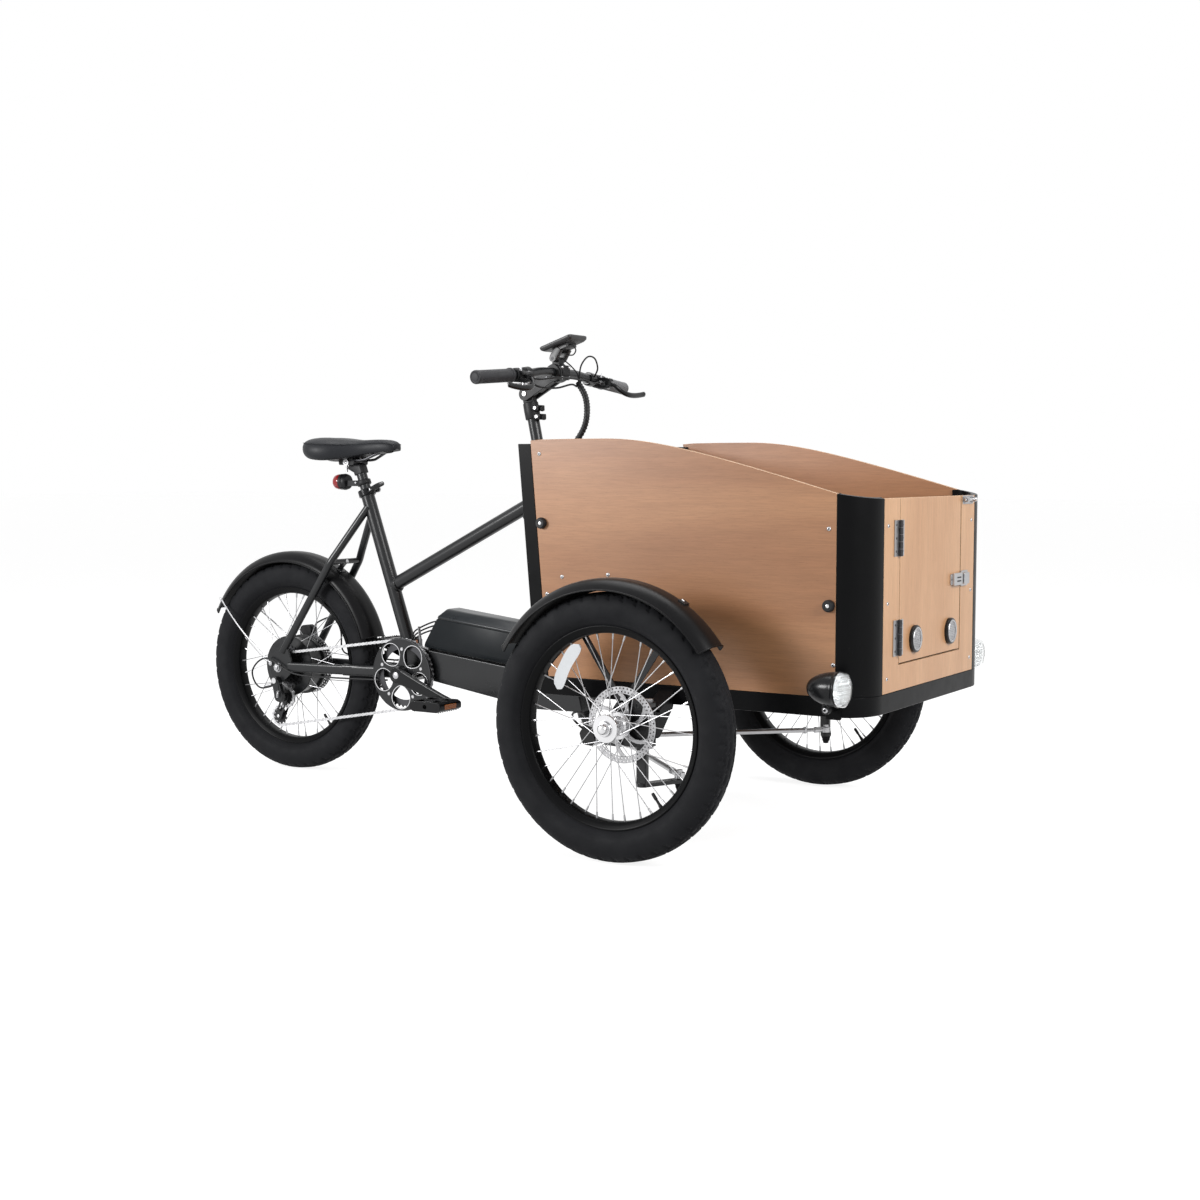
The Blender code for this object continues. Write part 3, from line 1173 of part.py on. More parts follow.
def steering_column():
    """Steerer with its races, the fork for the tie rods at its foot and the stem's clamp on top."""
    foot = at(steer_x(ARM_Z), 0, ARM_Z)
    crown_z = STEM_PIVOT_Z - 0.020
    crown = at(steer_x(crown_z), 0, crown_z)
    axis = (crown - foot).normalized()
    low, high, clamp, top = [(z - ARM_Z) / cos(STEER_RAKE)
                             for z in (HEAD_TUBE_BOTTOM_Z, HEAD_TUBE_TOP_Z, STEM_CLAMP_Z, crown_z)]
    r, race = STEER_RADIUS, HEAD_TUBE_RADIUS
    profile = [(0, 0), (r, 0), (r, low - 0.012), (race, low - 0.012), (race, low - GAP), (r, low - GAP),
               (r, high + GAP), (race, high + GAP), (0.017, high + 0.014), (r, high + 0.014),
               (r, clamp), (0.0185, clamp), (0.0185, top), (0, top)]
    solids = [turned(profile, foot, axis, 12)]
    px = steer_x(STEM_PIVOT_Z)
    solids.append(rod(at(px, -TONGUE_HALF, STEM_PIVOT_Z), at(px, TONGUE_HALF, STEM_PIVOT_Z), 0.0165, 12))
    solids.append(sweep([crown - axis * 0.006, at(px, 0, STEM_PIVOT_Z)], rectangle(2 * TONGUE_HALF - 0.001, 0.029),
                        up=Vector((1, 0, 0))))
    pin_end = TONGUE_HALF + EAR + 0.003
    solids.append(rod(at(px, -pin_end, STEM_PIVOT_Z), at(px, pin_end, STEM_PIVOT_Z), PIVOT_PIN_RADIUS, 8))
    for k in range(2):
        z = STEM_PIVOT_Z - 0.034 - 0.021 * k
        x = steer_x(z) + 0.0215
        solids.append(rod(at(x, -0.016, z), at(x, 0.016, z), 0.0075, 8))
    root = at(steer_x(ARM_Z + ARM_THICKNESS / 2), 0, 0)
    for side in (-1, 1):
        tip = (root.x + PITMAN_LENGTH, side * PITMAN_HALF)
        start, end = ARM_Z - 0.0005 * (side + 1), ARM_TOP - 0.0005 * (side + 1)
        solids.append(prism(link((root.x, 0), 0.023, tip, 0.013), "Z", start, end))
    return combine(solids)


def knuckle(side):
    """Steering knuckle: kingpin between two lugs, upright, stub axle, arm with its ball stud, caliper."""
    y = side * KINGPIN_Y
    face, outer = side * UPRIGHT_Y, side * (UPRIGHT_Y + UPRIGHT_THICKNESS)
    low, high = AXLE_Z - KINGPIN_TUBE_HALF - GAP, AXLE_Z + KINGPIN_TUBE_HALF + GAP
    x = KINGPIN_X
    outline = [(x - 0.072, low + 0.030), (x - 0.050, low - LUG), (x + 0.018, low - LUG), (x + 0.018, high + LUG),
               (x - 0.014, FOOT_Z + 0.013), (x - 0.054, FOOT_Z + 0.013), (x - 0.072, AXLE_Z + 0.030)]
    solids = [prism([(FRONT_AXLE_X + a, b) for a, b in outline], "Y", face, outer)]
    end = face + side * 0.002
    for z0, z1 in ((low - LUG + 0.001, low), (high, high + LUG - 0.001)):
        lug = link((FRONT_AXLE_X + x, y), 0.0145, (FRONT_AXLE_X + x, end), 0.0144)
        solids.append(prism([(a, side * min(side * b, side * end)) for a, b in lug], "Z", z0, z1))
    solids.append(rod(at(x, y, low - LUG / 2), at(x, y, high + LUG / 2), KINGPIN_RADIUS, 12))
    leg = side * (UPRIGHT_Y - 0.010)
    solids.append(block(at(x - 0.0125, leg, ARM_Z - 0.0005), at(x + 0.0125, end, low - 0.003)))
    ball = at(BALL_X, side * BALL_Y, ARM_Z + ARM_THICKNESS / 2)
    arm = link((FRONT_AXLE_X + x, side * (UPRIGHT_Y - 0.006)), 0.011, (ball.x, ball.y), 0.013)
    solids.append(prism(arm, "Z", ARM_Z, ARM_TOP))
    stud_top = ball + Vector((0, 0, ARM_THICKNESS / 2 + ROD_END_HEIGHT + 0.004))
    solids.append(rod(ball, stud_top, STUD_RADIUS, 8))
    solids.append(rod(ball, ball - Vector((0, 0, 0.018)), 0.0095, 8, 0.005))
    shoulder = side * (WHEEL_Y - HUB_INNER_END - GAP)
    tip = side * (WHEEL_Y + HUB_OUTER_END - 0.012)
    root = at(0, outer - side * 0.002, AXLE_Z)
    length = side * (tip - root.y)
    step = side * (shoulder - root.y)
    axle = [(0, 0), (0.013, 0), (0.013, step), (STUB_RADIUS, step), (STUB_RADIUS, length), (0, length)]
    solids.append(turned(axle, root, (0, side, 0), 12))
    disc = side * (WHEEL_Y - ROTOR_OFFSET)
    solids.append(caliper(at(0, 0, AXLE_Z), radians(200), disc, -side * 0.016, side * 0.010))
    bracket = [(x - 0.066, AXLE_Z + 0.012), (x - 0.066, AXLE_Z - 0.032), (-0.090, AXLE_Z - 0.042),
               (-0.096, AXLE_Z - 0.022)]
    solids.append(prism([(FRONT_AXLE_X + a, b) for a, b in bracket], "Y", face + side * 0.001, face + side * 0.0075))
    return combine(solids)


def tie_rod(side):
    """Rod between the column's fork and a knuckle, an eye at each end. Its inner eye rides clear of the fork."""
    middle = ARM_TOP + GAP + ROD_END_HEIGHT / 2
    fork_x = steer_x(ARM_Z + ARM_THICKNESS / 2) + PITMAN_LENGTH
    inner = at(fork_x, side * PITMAN_HALF, middle + OPEN_PIVOT - GAP)
    outer = at(BALL_X, side * BALL_Y, middle)
    half = Vector((0, 0, ROD_END_HEIGHT / 2))
    solids = [sweep([inner, outer], circle(ROD_RADIUS, 8))]
    solids += [rod(end - half, end + half, ROD_END_RADIUS, 12) for end in (inner, outer)]
    bore = rod(outer - half * 2, outer + half * 2, flats(STUD_RADIUS + RUNNING, 12), 12)
    return combine(solids, [bore])


# Mudguards

def mudguard_shell(centre, span, steps):
    """Crowned sheet round a wheel between two angles."""
    first, last = span
    across = [-1.0, -0.72, 0.0, 0.72, 1.0]
    rings = []
    for k in range(steps + 1):
        turn = first + (last - first) * k / steps
        way = Vector((cos(turn), 0, sin(turn)))
        ring = []
        for sheet in (0.0, GUARD_SHEET):
            row = []
            for a in across:
                radius = GUARD_CROWN - (GUARD_CROWN - GUARD_EDGE) * a ** 4 - sheet
                row.append(Vector(centre) + way * radius + Vector((0, a * (GUARD_HALF - sheet * 0.4), 0)))
            ring += row if sheet == 0.0 else list(reversed(row))
        rings.append(ring)
    return skin(rings)


def front_mudguard(side):
    """Front mudguard on two flat stays that meet in a foot on the knuckle."""
    centre = at(0, side * WHEEL_Y, AXLE_Z)
    y = side * (UPRIGHT_Y + UPRIGHT_THICKNESS + GAP + STAY_SHEET / 2)
    solids = [mudguard_shell(centre, FRONT_GUARD, 13)]
    foot = at(0, y, FOOT_Z)
    rise = sqrt((GUARD_CROWN - STAY_SINK) ** 2 - STAY_SPREAD ** 2)
    for lean in (-1, 1):
        tip = at(lean * STAY_SPREAD, y, AXLE_Z + rise)
        solids.append(sweep([foot, tip], rectangle(STAY_SHEET, 0.017), up=Vector((lean, 0, 0))))
    half = Vector((0, STAY_SHEET / 2, 0))
    solids.append(rod(foot - half * 1.1, foot + half, 0.012, 10))
    return combine(solids)


def rear_mudguard():
    """Rear mudguard with its bracket under the bridge and a wire stay down each side."""
    centre = at(REAR_X, 0, AXLE_Z)
    solids = [mudguard_shell(centre, REAR_GUARD, 15)]
    bridge = Vector(at(*seat_stay_places(1)[1])) - Vector((0, seat_stay_places(1)[1][1], 0))
    way = (bridge - centre).normalized()
    reach = (bridge - centre).length - 0.007 - GAP
    solids.append(sweep([centre + way * (GUARD_CROWN - 0.002), centre + way * reach], rectangle(0.024, 0.030),
                        up=Vector((0, 1, 0))))
    for side in (-1, 1):
        turn = REAR_GUARD[1] - radians(11)
        tip = centre + Vector((cos(turn), 0, sin(turn))) * (GUARD_EDGE - 0.001) + Vector((0, side * (GUARD_HALF - 0.001), 0))
        eye = centre + Vector((-0.024, side * (DROPOUT_Y + DROPOUT_THICKNESS + GAP + 0.002), 0.010))
        knee = tip.lerp(eye, 0.42) + Vector((0, side * 0.012, 0))
        solids.append(sweep([tip, knee, eye], circle(0.0022, 6), up=Vector((1, 0, 0))))
        solids.append(rod(eye - Vector((0, 0.002, 0)), eye + Vector((0, 0.002, 0)), 0.006, 10))
    return combine(solids)


# Cockpit

def bar_places():
    """Centre line of the handlebar from right to left."""
    half = [(BAR_X, 0.0, BAR_Z), (BAR_X, 0.070, BAR_Z), (BAR_X + 0.002, 0.150, BAR_Z - 0.45 * BAR_DROP),
            (BAR_X - 0.011, BAR_HALF, BAR_Z - BAR_DROP)]
    return [(x, -y, z) for x, y, z in reversed(half[1:])] + half


def bar_at(y):
    """The bar's centre at a place across the bike."""
    places = bar_places()
    for (x0, y0, z0), (x1, y1, z1) in zip(places, places[1:]):
        if y0 <= y <= y1:
            t = (y - y0) / (y1 - y0)
            return at(x0 + t * (x1 - x0), y, z0 + t * (z1 - z0))
    return at(*places[-1])


def stem():
    """Forked arm from the tilt pivot to the bar clamp, with the display's post."""
    hinge, bar = at(steer_x(STEM_PIVOT_Z), 0, STEM_PIVOT_Z), at(BAR_X, 0, BAR_Z)
    along = (bar - hinge).normalized()
    half = TONGUE_HALF + EAR
    side_view = link((hinge.x, hinge.z), 0.0165, (bar.x, bar.z), 0.0180)
    arm = prism(side_view, "Y", -half, half)
    slot = sweep([hinge - along * 0.03, hinge + along * 0.024], rectangle(2 * (TONGUE_HALF + GAP), 0.05))
    solids = [combine([arm], [slot])]
    solids.append(rod(bar - Vector((0, 0.026, 0)), bar + Vector((0, 0.026, 0)), 0.0197, 12))
    solids.append(block(bar + Vector((0.010, -0.019, -0.016)), bar + Vector((0.0235, 0.019, 0.016))))
    screen = at(*DISPLAY_HINGE)
    solids.append(block(bar + Vector((-0.008, -0.012, 0.012)), Vector((bar.x + 0.010, 0.012, screen.z + 0.004))))
    solids.append(rod(screen - Vector((0, 0.0265, 0)), screen + Vector((0, 0.0265, 0)), 0.003, 8))
    reach = Vector((0, 0.05, 0))
    cuts = [rod(bar - reach, bar + reach, flats(BAR_RADIUS + GAP, 12), 12),
            rod(hinge - reach, hinge + reach, flats(PIVOT_PIN_RADIUS + RUNNING, 10), 10)]
    return combine(solids, cuts)


def display():
    """Display slab on two ears that turn on the stem's pin."""
    tilt = DISPLAY_TILT
    along, normal = Vector((cos(tilt), 0, sin(tilt))), Vector((-sin(tilt), 0, cos(tilt)))
    middle = at(*DISPLAY_CENTRE)
    rings = []
    for lift, inset in ((-0.007, 0.006), (0.004, 0.0), (0.006, 0.003)):
        x, y = DISPLAY_LENGTH / 2 - inset, DISPLAY_HALF_WIDTH - inset
        corners = ((-x, -y), (x, -y), (x, y), (-x, y))
        rings.append([middle + along * a + Vector((0, b, 0)) + normal * lift for a, b in corners])
    solids = [skin(rings)]
    hinge = at(*DISPLAY_HINGE)
    for side in (-1, 1):
        y = side * 0.0190
        solids.append(sweep([hinge + Vector((0, y, 0)), middle + Vector((-0.004, y, 0)) - normal * 0.006],
                            rectangle(0.013, 0.022), up=Vector((1, 0, 0))))
        solids.append(rod(hinge + Vector((0, y - 0.0065, 0)), hinge + Vector((0, y + 0.0065, 0)), 0.008, 12))
    bore = rod(hinge - Vector((0, 0.04, 0)), hinge + Vector((0, 0.04, 0)), flats(0.003 + RUNNING, 10), 10)
    return combine(solids, [bore])


def handlebar():
    """Bar with the bodies of both brake levers, the shifter and the light switch clamped on it."""
    solids = [sweep([at(*p) for p in bar_places()], circle(BAR_RADIUS, 12))]
    slots, pins = [], []
    for side in (-1, 1):
        spot = bar_at(side * LEVER_Y)
        solids.append(rod(spot - Vector((0, 0.010, 0)), spot + Vector((0, 0.010, 0)), 0.0165, 10))
        hinge = lever_pivot(side)
        low = hinge + Vector((-0.034, -0.009, -0.013))
        high = hinge + Vector((0.009, 0.009, 0.015))
        solids.append(block(low, high))
        reach = LEVER_THICKNESS / 2 + RUNNING
        slots.append(block(hinge + Vector((-0.016, -0.03, -reach)), hinge + Vector((0.03, 0.03, reach))))
        pins.append(rod(hinge - Vector((0, 0, 0.011)), hinge + Vector((0, 0, 0.013)), PIVOT_PIN_RADIUS, 8))
        pod = bar_at(side * POD_Y)
        solids.append(rod(pod - Vector((0, 0.011, 0)), pod + Vector((0, 0.011, 0)), 0.0170, 10))
    shift = shift_pivot()
    pod = bar_at(-POD_Y)
    solids.append(block(Vector((shift.x - 0.014, pod.y - 0.0105, shift.z + 0.0042)),
                        Vector((shift.x + 0.014, pod.y + 0.0105, pod.z))))
    pins.append(rod(shift - Vector((0, 0, 0.003)), shift + Vector((0, 0, 0.006)), 0.003, 8))
    return combine([combine(solids, slots)] + pins)


def lever_pivot(side):
    spot = bar_at(side * LEVER_Y)
    return Vector((spot.x + 0.034, side * LEVER_Y, spot.z - 0.006))


def brake_lever(side):
    """Curved blade that turns in the slot of its body."""
    hinge = lever_pivot(side)
    route = [(0.0, 0.0, 0.0), (0.024, 0.016, 0.0), (0.034, 0.044, -0.004), (0.030, 0.088, -0.010), (0.030, 0.134, -0.014)]
    points = [hinge + Vector((x, side * y, z)) for x, y, z in route]
    blade = sweep(points, rectangle(0.006, LEVER_THICKNESS, 0.0015))
    half = Vector((0, 0, LEVER_THICKNESS / 2))
    eye = rod(hinge - half, hinge + half, 0.008, 12)
    bore = rod(hinge - half * 3, hinge + half * 3, flats(PIVOT_PIN_RADIUS + RUNNING, 12), 12)
    return combine([blade, eye], [bore])


def shift_pivot():
    spot = bar_at(-POD_Y)
    return Vector((spot.x - 0.004, spot.y, spot.z - 0.0225))


def shift_lever():
    """Thumb lever under the bar on the right."""
    hinge = shift_pivot()
    points = [hinge, hinge + Vector((-0.016, -0.022, -0.001)), hinge + Vector((-0.020, -0.048, -0.004))]
    blade = sweep(points, rectangle(0.010, 0.004))
    eye = rod(hinge - Vector((0, 0, 0.002)), hinge + Vector((0, 0, 0.0036)), 0.0085, 12)
    bore = rod(hinge - Vector((0, 0, 0.01)), hinge + Vector((0, 0, 0.01)), flats(0.003 + RUNNING, 10), 10)
    return combine([blade, eye], [bore])


def grip(side):
    """Rubber grip pushed on the end of the bar, closed at its outer end."""
    outer = bar_at(side * BAR_HALF)
    inner = bar_at(side * (BAR_HALF - GRIP_LENGTH))
    along = (outer - inner).normalized()
    tail = outer + along * 0.006
    length = (tail - inner).length
    bore = flats(BAR_RADIUS + GAP, 12)
    stop = length - 0.006 + GAP
    profile = [(0, length), (0.012, length), (GRIP_RADIUS - 0.001, length - 0.004), (GRIP_RADIUS, 0.6 * length),
               (GRIP_RADIUS - 0.0005, 0.010), (GRIP_RADIUS + 0.0015, 0.006), (GRIP_RADIUS + 0.0015, 0),
               (bore, 0), (bore, stop), (0, stop)]
    return turned(profile, inner, along, 14)


def cable_bundle():
    """Brake and signal lines wrapped in one sleeve, with the hoses that leave it for both levers."""
    sleeve = catmull([at(*p) for p in CABLE_ROUTE], 2)
    solids = [sweep(sleeve, circle(CABLE_RADIUS, 8))]
    start = sleeve[0].lerp(sleeve[1], 0.3)
    for side in (-1, 1):
        body = bar_at(side * (LEVER_Y - 0.0093)) + Vector((0.0205, 0, -0.004))
        knee = Vector((start.x + 0.010, side * 0.075, start.z))
        route = catmull([start, knee, body - Vector((0, side * 0.016, 0))], 2) + [body]
        solids.append(sweep(route, circle(HOSE_RADIUS, 5)))
    return combine(solids)


def catmull(points, steps):
    """A smooth curve through the given points."""
    ends = [points[0] * 2 - points[1]] + points + [points[-1] * 2 - points[-2]]
    out = []
    for a, b, c, d in zip(ends, ends[1:], ends[2:], ends[3:]):
        for k in range(steps):
            t = k / steps
            out.append(0.5 * ((2 * b) + (c - a) * t + (2 * a - 5 * b + 4 * c - d) * t ** 2
                              + (3 * b - a - 3 * c + d) * t ** 3))
    return out + [points[-1]]


# Saddle

def saddle_stations():
    """Half width, top and underside heights along the saddle, from the tail to the nose."""
    top = SADDLE_TOP_Z
    marks = [(0.00, 0.52, top - 0.014, top - 0.026), (0.06, 0.84, top - 0.003, top - 0.048),
            (0.18, 1.00, top + 0.001, top - 0.061), (0.34, 0.95, top - 0.001, top - 0.063),
            (0.48, 0.72, top - 0.006, top - 0.058), (0.62, 0.47, top - 0.008, top - 0.049),
            (0.78, 0.34, top - 0.006, top - 0.043), (0.92, 0.27, top - 0.009, top - 0.040),
            (1.00, 0.15, top - 0.021, top - 0.036)]
    return catmull([Vector(mark) for mark in marks], 2)


def saddle_cover():
    """Padded cover with a crown, drawn-in sides and a hollow underside."""
    rings = []
    for share, wide, top, low in saddle_stations():
        x = SADDLE_NOSE_X - SADDLE_LENGTH * (1 - share)
        w = SADDLE_HALF_WIDTH * wide
        tall = top - low
        shape = [(-0.80, 0.0), (-0.97, 0.22), (-1.0, 0.55), (-0.86, 0.84), (-0.50, 0.97), (-0.16, 0.95),
                 (0.16, 0.95), (0.50, 0.97), (0.86, 0.84), (1.0, 0.55), (0.97, 0.22), (0.80, 0.0),
                 (0.60, SADDLE_HOLLOW), (-0.60, SADDLE_HOLLOW)]
        rings.append([at(x, a * w, low + b * tall) for a, b in shape])
    return skin(rings)


def saddle_base():
    """Plastic pan under the cover and the two steel rails."""
    rings = []
    for share, wide, top, low in saddle_stations()[2:-2]:
        x = SADDLE_NOSE_X - SADDLE_LENGTH * (1 - share)
        w = SADDLE_HALF_WIDTH * wide * 0.57
        roof = low + SADDLE_HOLLOW * (top - low) - GAP
        rings.append([at(x, a, b) for a, b in ((-w, roof - 0.005), (w, roof - 0.005), (w, roof), (-w, roof))])
    solids = [skin(rings)]
    for side in (-1, 1):
        y = side * RAIL_Y
        route = [at(SADDLE_NOSE_X - 0.232, y * 1.5, SADDLE_TOP_Z - 0.0485), at(RAIL_X - 0.048, y, RAIL_Z),
                 at(RAIL_X + 0.044, y, RAIL_Z), at(SADDLE_NOSE_X - 0.045, y * 0.55, SADDLE_TOP_Z - 0.0390)]
        solids.append(sweep(route, circle(RAIL_RADIUS, 8)))
    return combine(solids)


def seat_post():
    """Post with the head that clamps the saddle's rails."""
    low, high = at(seat_x(POST_BOTTOM_Z), 0, POST_BOTTOM_Z), at(seat_x(POST_TOP_Z), 0, POST_TOP_Z)
    solids = [rod(low, high, POST_RADIUS, 14)]
    head_low, head_high = at(RAIL_X - 0.026, -0.029, RAIL_Z - 0.011), at(RAIL_X + 0.026, 0.029, RAIL_Z + 0.005)
    solids.append(block(head_low, head_high))
    solids.append(sweep([high - (high - low).normalized() * 0.012, at(RAIL_X, 0, RAIL_Z - 0.002)],
                        rectangle(0.030, 0.030, 0.005), up=Vector((1, 0, 0))))
    cuts = []
    for side in (-1, 1):
        y = side * RAIL_Y
        cuts.append(rod(at(RAIL_X - 0.05, y, RAIL_Z), at(RAIL_X + 0.05, y, RAIL_Z), flats(RAIL_RADIUS + GAP, 10), 10))
    return combine(solids, cuts)


def tube_frame(z):
    """A place on the seat tube's axis, with the axis and the forward direction square to it."""
    low, high = at(seat_x(0), 0, 0), at(seat_x(1), 0, 1)
    axis = (high - low).normalized()
    return at(seat_x(z), 0, z), axis, Vector((0, 1, 0)).cross(axis)


def seat_clamp():
    """Collar round the top of the seat tube with two ears and the quick-release skewer."""
    centre, axis, forward = tube_frame(SEAT_TUBE_TOP_Z)
    inner = flats(SEAT_TUBE_RADIUS + GAP, 16)
    ring = turned([(inner, -0.017), (inner, -GAP), (inner + 0.0045, -GAP), (inner + 0.0045, -0.017)], centre, axis, 16)
    spot = centre - axis * 0.0085 + forward * (SEAT_TUBE_RADIUS + 0.010)
    ears = []
    for side in (-1, 1):
        y = Vector((0, side * 0.007, 0))
        ears.append(sweep([spot + y - forward * 0.008, spot + y + forward * 0.004], rectangle(0.008, 0.015)))
    skewer = rod(spot - Vector((0, SKEWER, 0)), spot + Vector((0, 0.016, 0)), 0.003, 8)
    head = rod(spot - Vector((0, SKEWER, 0)) - axis * 0.006, spot - Vector((0, SKEWER, 0)) + axis * 0.006, 0.0028, 8)
    return combine([ring] + ears + [skewer, head])


def clamp_pivot():
    centre, axis, forward = tube_frame(SEAT_TUBE_TOP_Z)
    return centre - axis * 0.0085 + forward * (SEAT_TUBE_RADIUS + 0.010) - Vector((0, SKEWER, 0))


def seat_clamp_lever():
    """Quick-release lever, folded forward beside the ears."""
    centre, axis, forward = tube_frame(SEAT_TUBE_TOP_Z)
    hinge = clamp_pivot()
    out = Vector((0, -1, 0))
    blade = sweep([hinge + out * 0.001, hinge + forward * 0.020 + out * 0.006, hinge + forward * 0.050 + out * 0.004],
                  rectangle(0.006, 0.011), up=axis)
    eye = rod(hinge - axis * 0.0055, hinge + axis * 0.0055, 0.0072, 12)
    bore = rod(hinge - axis * 0.01, hinge + axis * 0.01, flats(0.0028 + RUNNING, 10), 10)
    relief = rod(hinge - axis * 0.0036, hinge + axis * 0.0036, flats(0.0076, 12), 12)
    return combine([blade, eye], [bore, relief])


def tail_light():
    """Rear light on a strap round the seat post."""
    centre, axis, forward = tube_frame(TAIL_LIGHT_Z)
    inner = flats(POST_RADIUS + GAP, 14)
    strap = turned([(inner, -0.006), (inner, 0.006), (inner + 0.004, 0.006), (inner + 0.004, -0.006)], centre, axis, 14)
    body_x = centre.x - 0.058
    arm = block(Vector((body_x, -0.009, centre.z - 0.009)),
                Vector((centre.x - POST_RADIUS - 0.0035, 0.009, centre.z + 0.005)))
    case = turned([(0, -0.002), (0.0185, -0.002), (0.0205, 0.004), (0.0205, 0.030), (0.016, 0.040), (0, 0.044)],
                  Vector((body_x + 0.004, 0, centre.z + 0.002)), (-1, 0, 0), 16)
    return combine([strap, arm, case])


# Lights

def light_boss(side):
    """Lug at the front corner of the tray that the headlight turns on."""
    y0, y1 = sorted((side * (BOX_HALF_WIDTH - 0.010), side * (LIGHT_Y - 0.0065)))
    lug = block(at(LIGHT_PIVOT_X - 0.010, y0, LIGHT_PIVOT_Z - 0.010), at(LIGHT_PIVOT_X + 0.010, y1, LIGHT_PIVOT_Z + 0.006))
    pin = rod(at(LIGHT_PIVOT_X, side * (LIGHT_Y - 0.012), LIGHT_PIVOT_Z), at(LIGHT_PIVOT_X, side * (LIGHT_Y + 0.010), LIGHT_PIVOT_Z),
              0.003, 8)
    return combine([lug, pin])


def headlight(side):
    """Bullet lamp with a hooded rim and a foot that turns on the tray's lug."""
    r, length = LIGHT_RADIUS, LIGHT_LENGTH
    profile = [(0, -length), (0.36 * r, 0.006 - length), (0.66 * r, 0.022 - length), (0.88 * r, 0.042 - length),
               (r, 0.064 - length), (r, 0.0), (r - 0.003, 0.0), (r - 0.003, -0.004), (0, -0.004)]
    lamp = turned(profile, at(LIGHT_X, side * LIGHT_Y, LIGHT_Z), (1, 0, 0), 14)
    y0, y1 = side * LIGHT_Y - 0.006, side * LIGHT_Y + 0.006
    foot = block(at(LIGHT_PIVOT_X - 0.009, y0, LIGHT_PIVOT_Z), at(LIGHT_PIVOT_X + 0.009, y1, LIGHT_Z - 0.45 * r))
    eye = rod(at(LIGHT_PIVOT_X, y0, LIGHT_PIVOT_Z), at(LIGHT_PIVOT_X, y1, LIGHT_PIVOT_Z), 0.009, 12)
    bore = rod(at(LIGHT_PIVOT_X, y0 - 0.01, LIGHT_PIVOT_Z), at(LIGHT_PIVOT_X, y1 + 0.01, LIGHT_PIVOT_Z),
               flats(0.003 + RUNNING, 10), 10)
    return combine([lamp, foot, eye], [bore])


# Put the pieces together

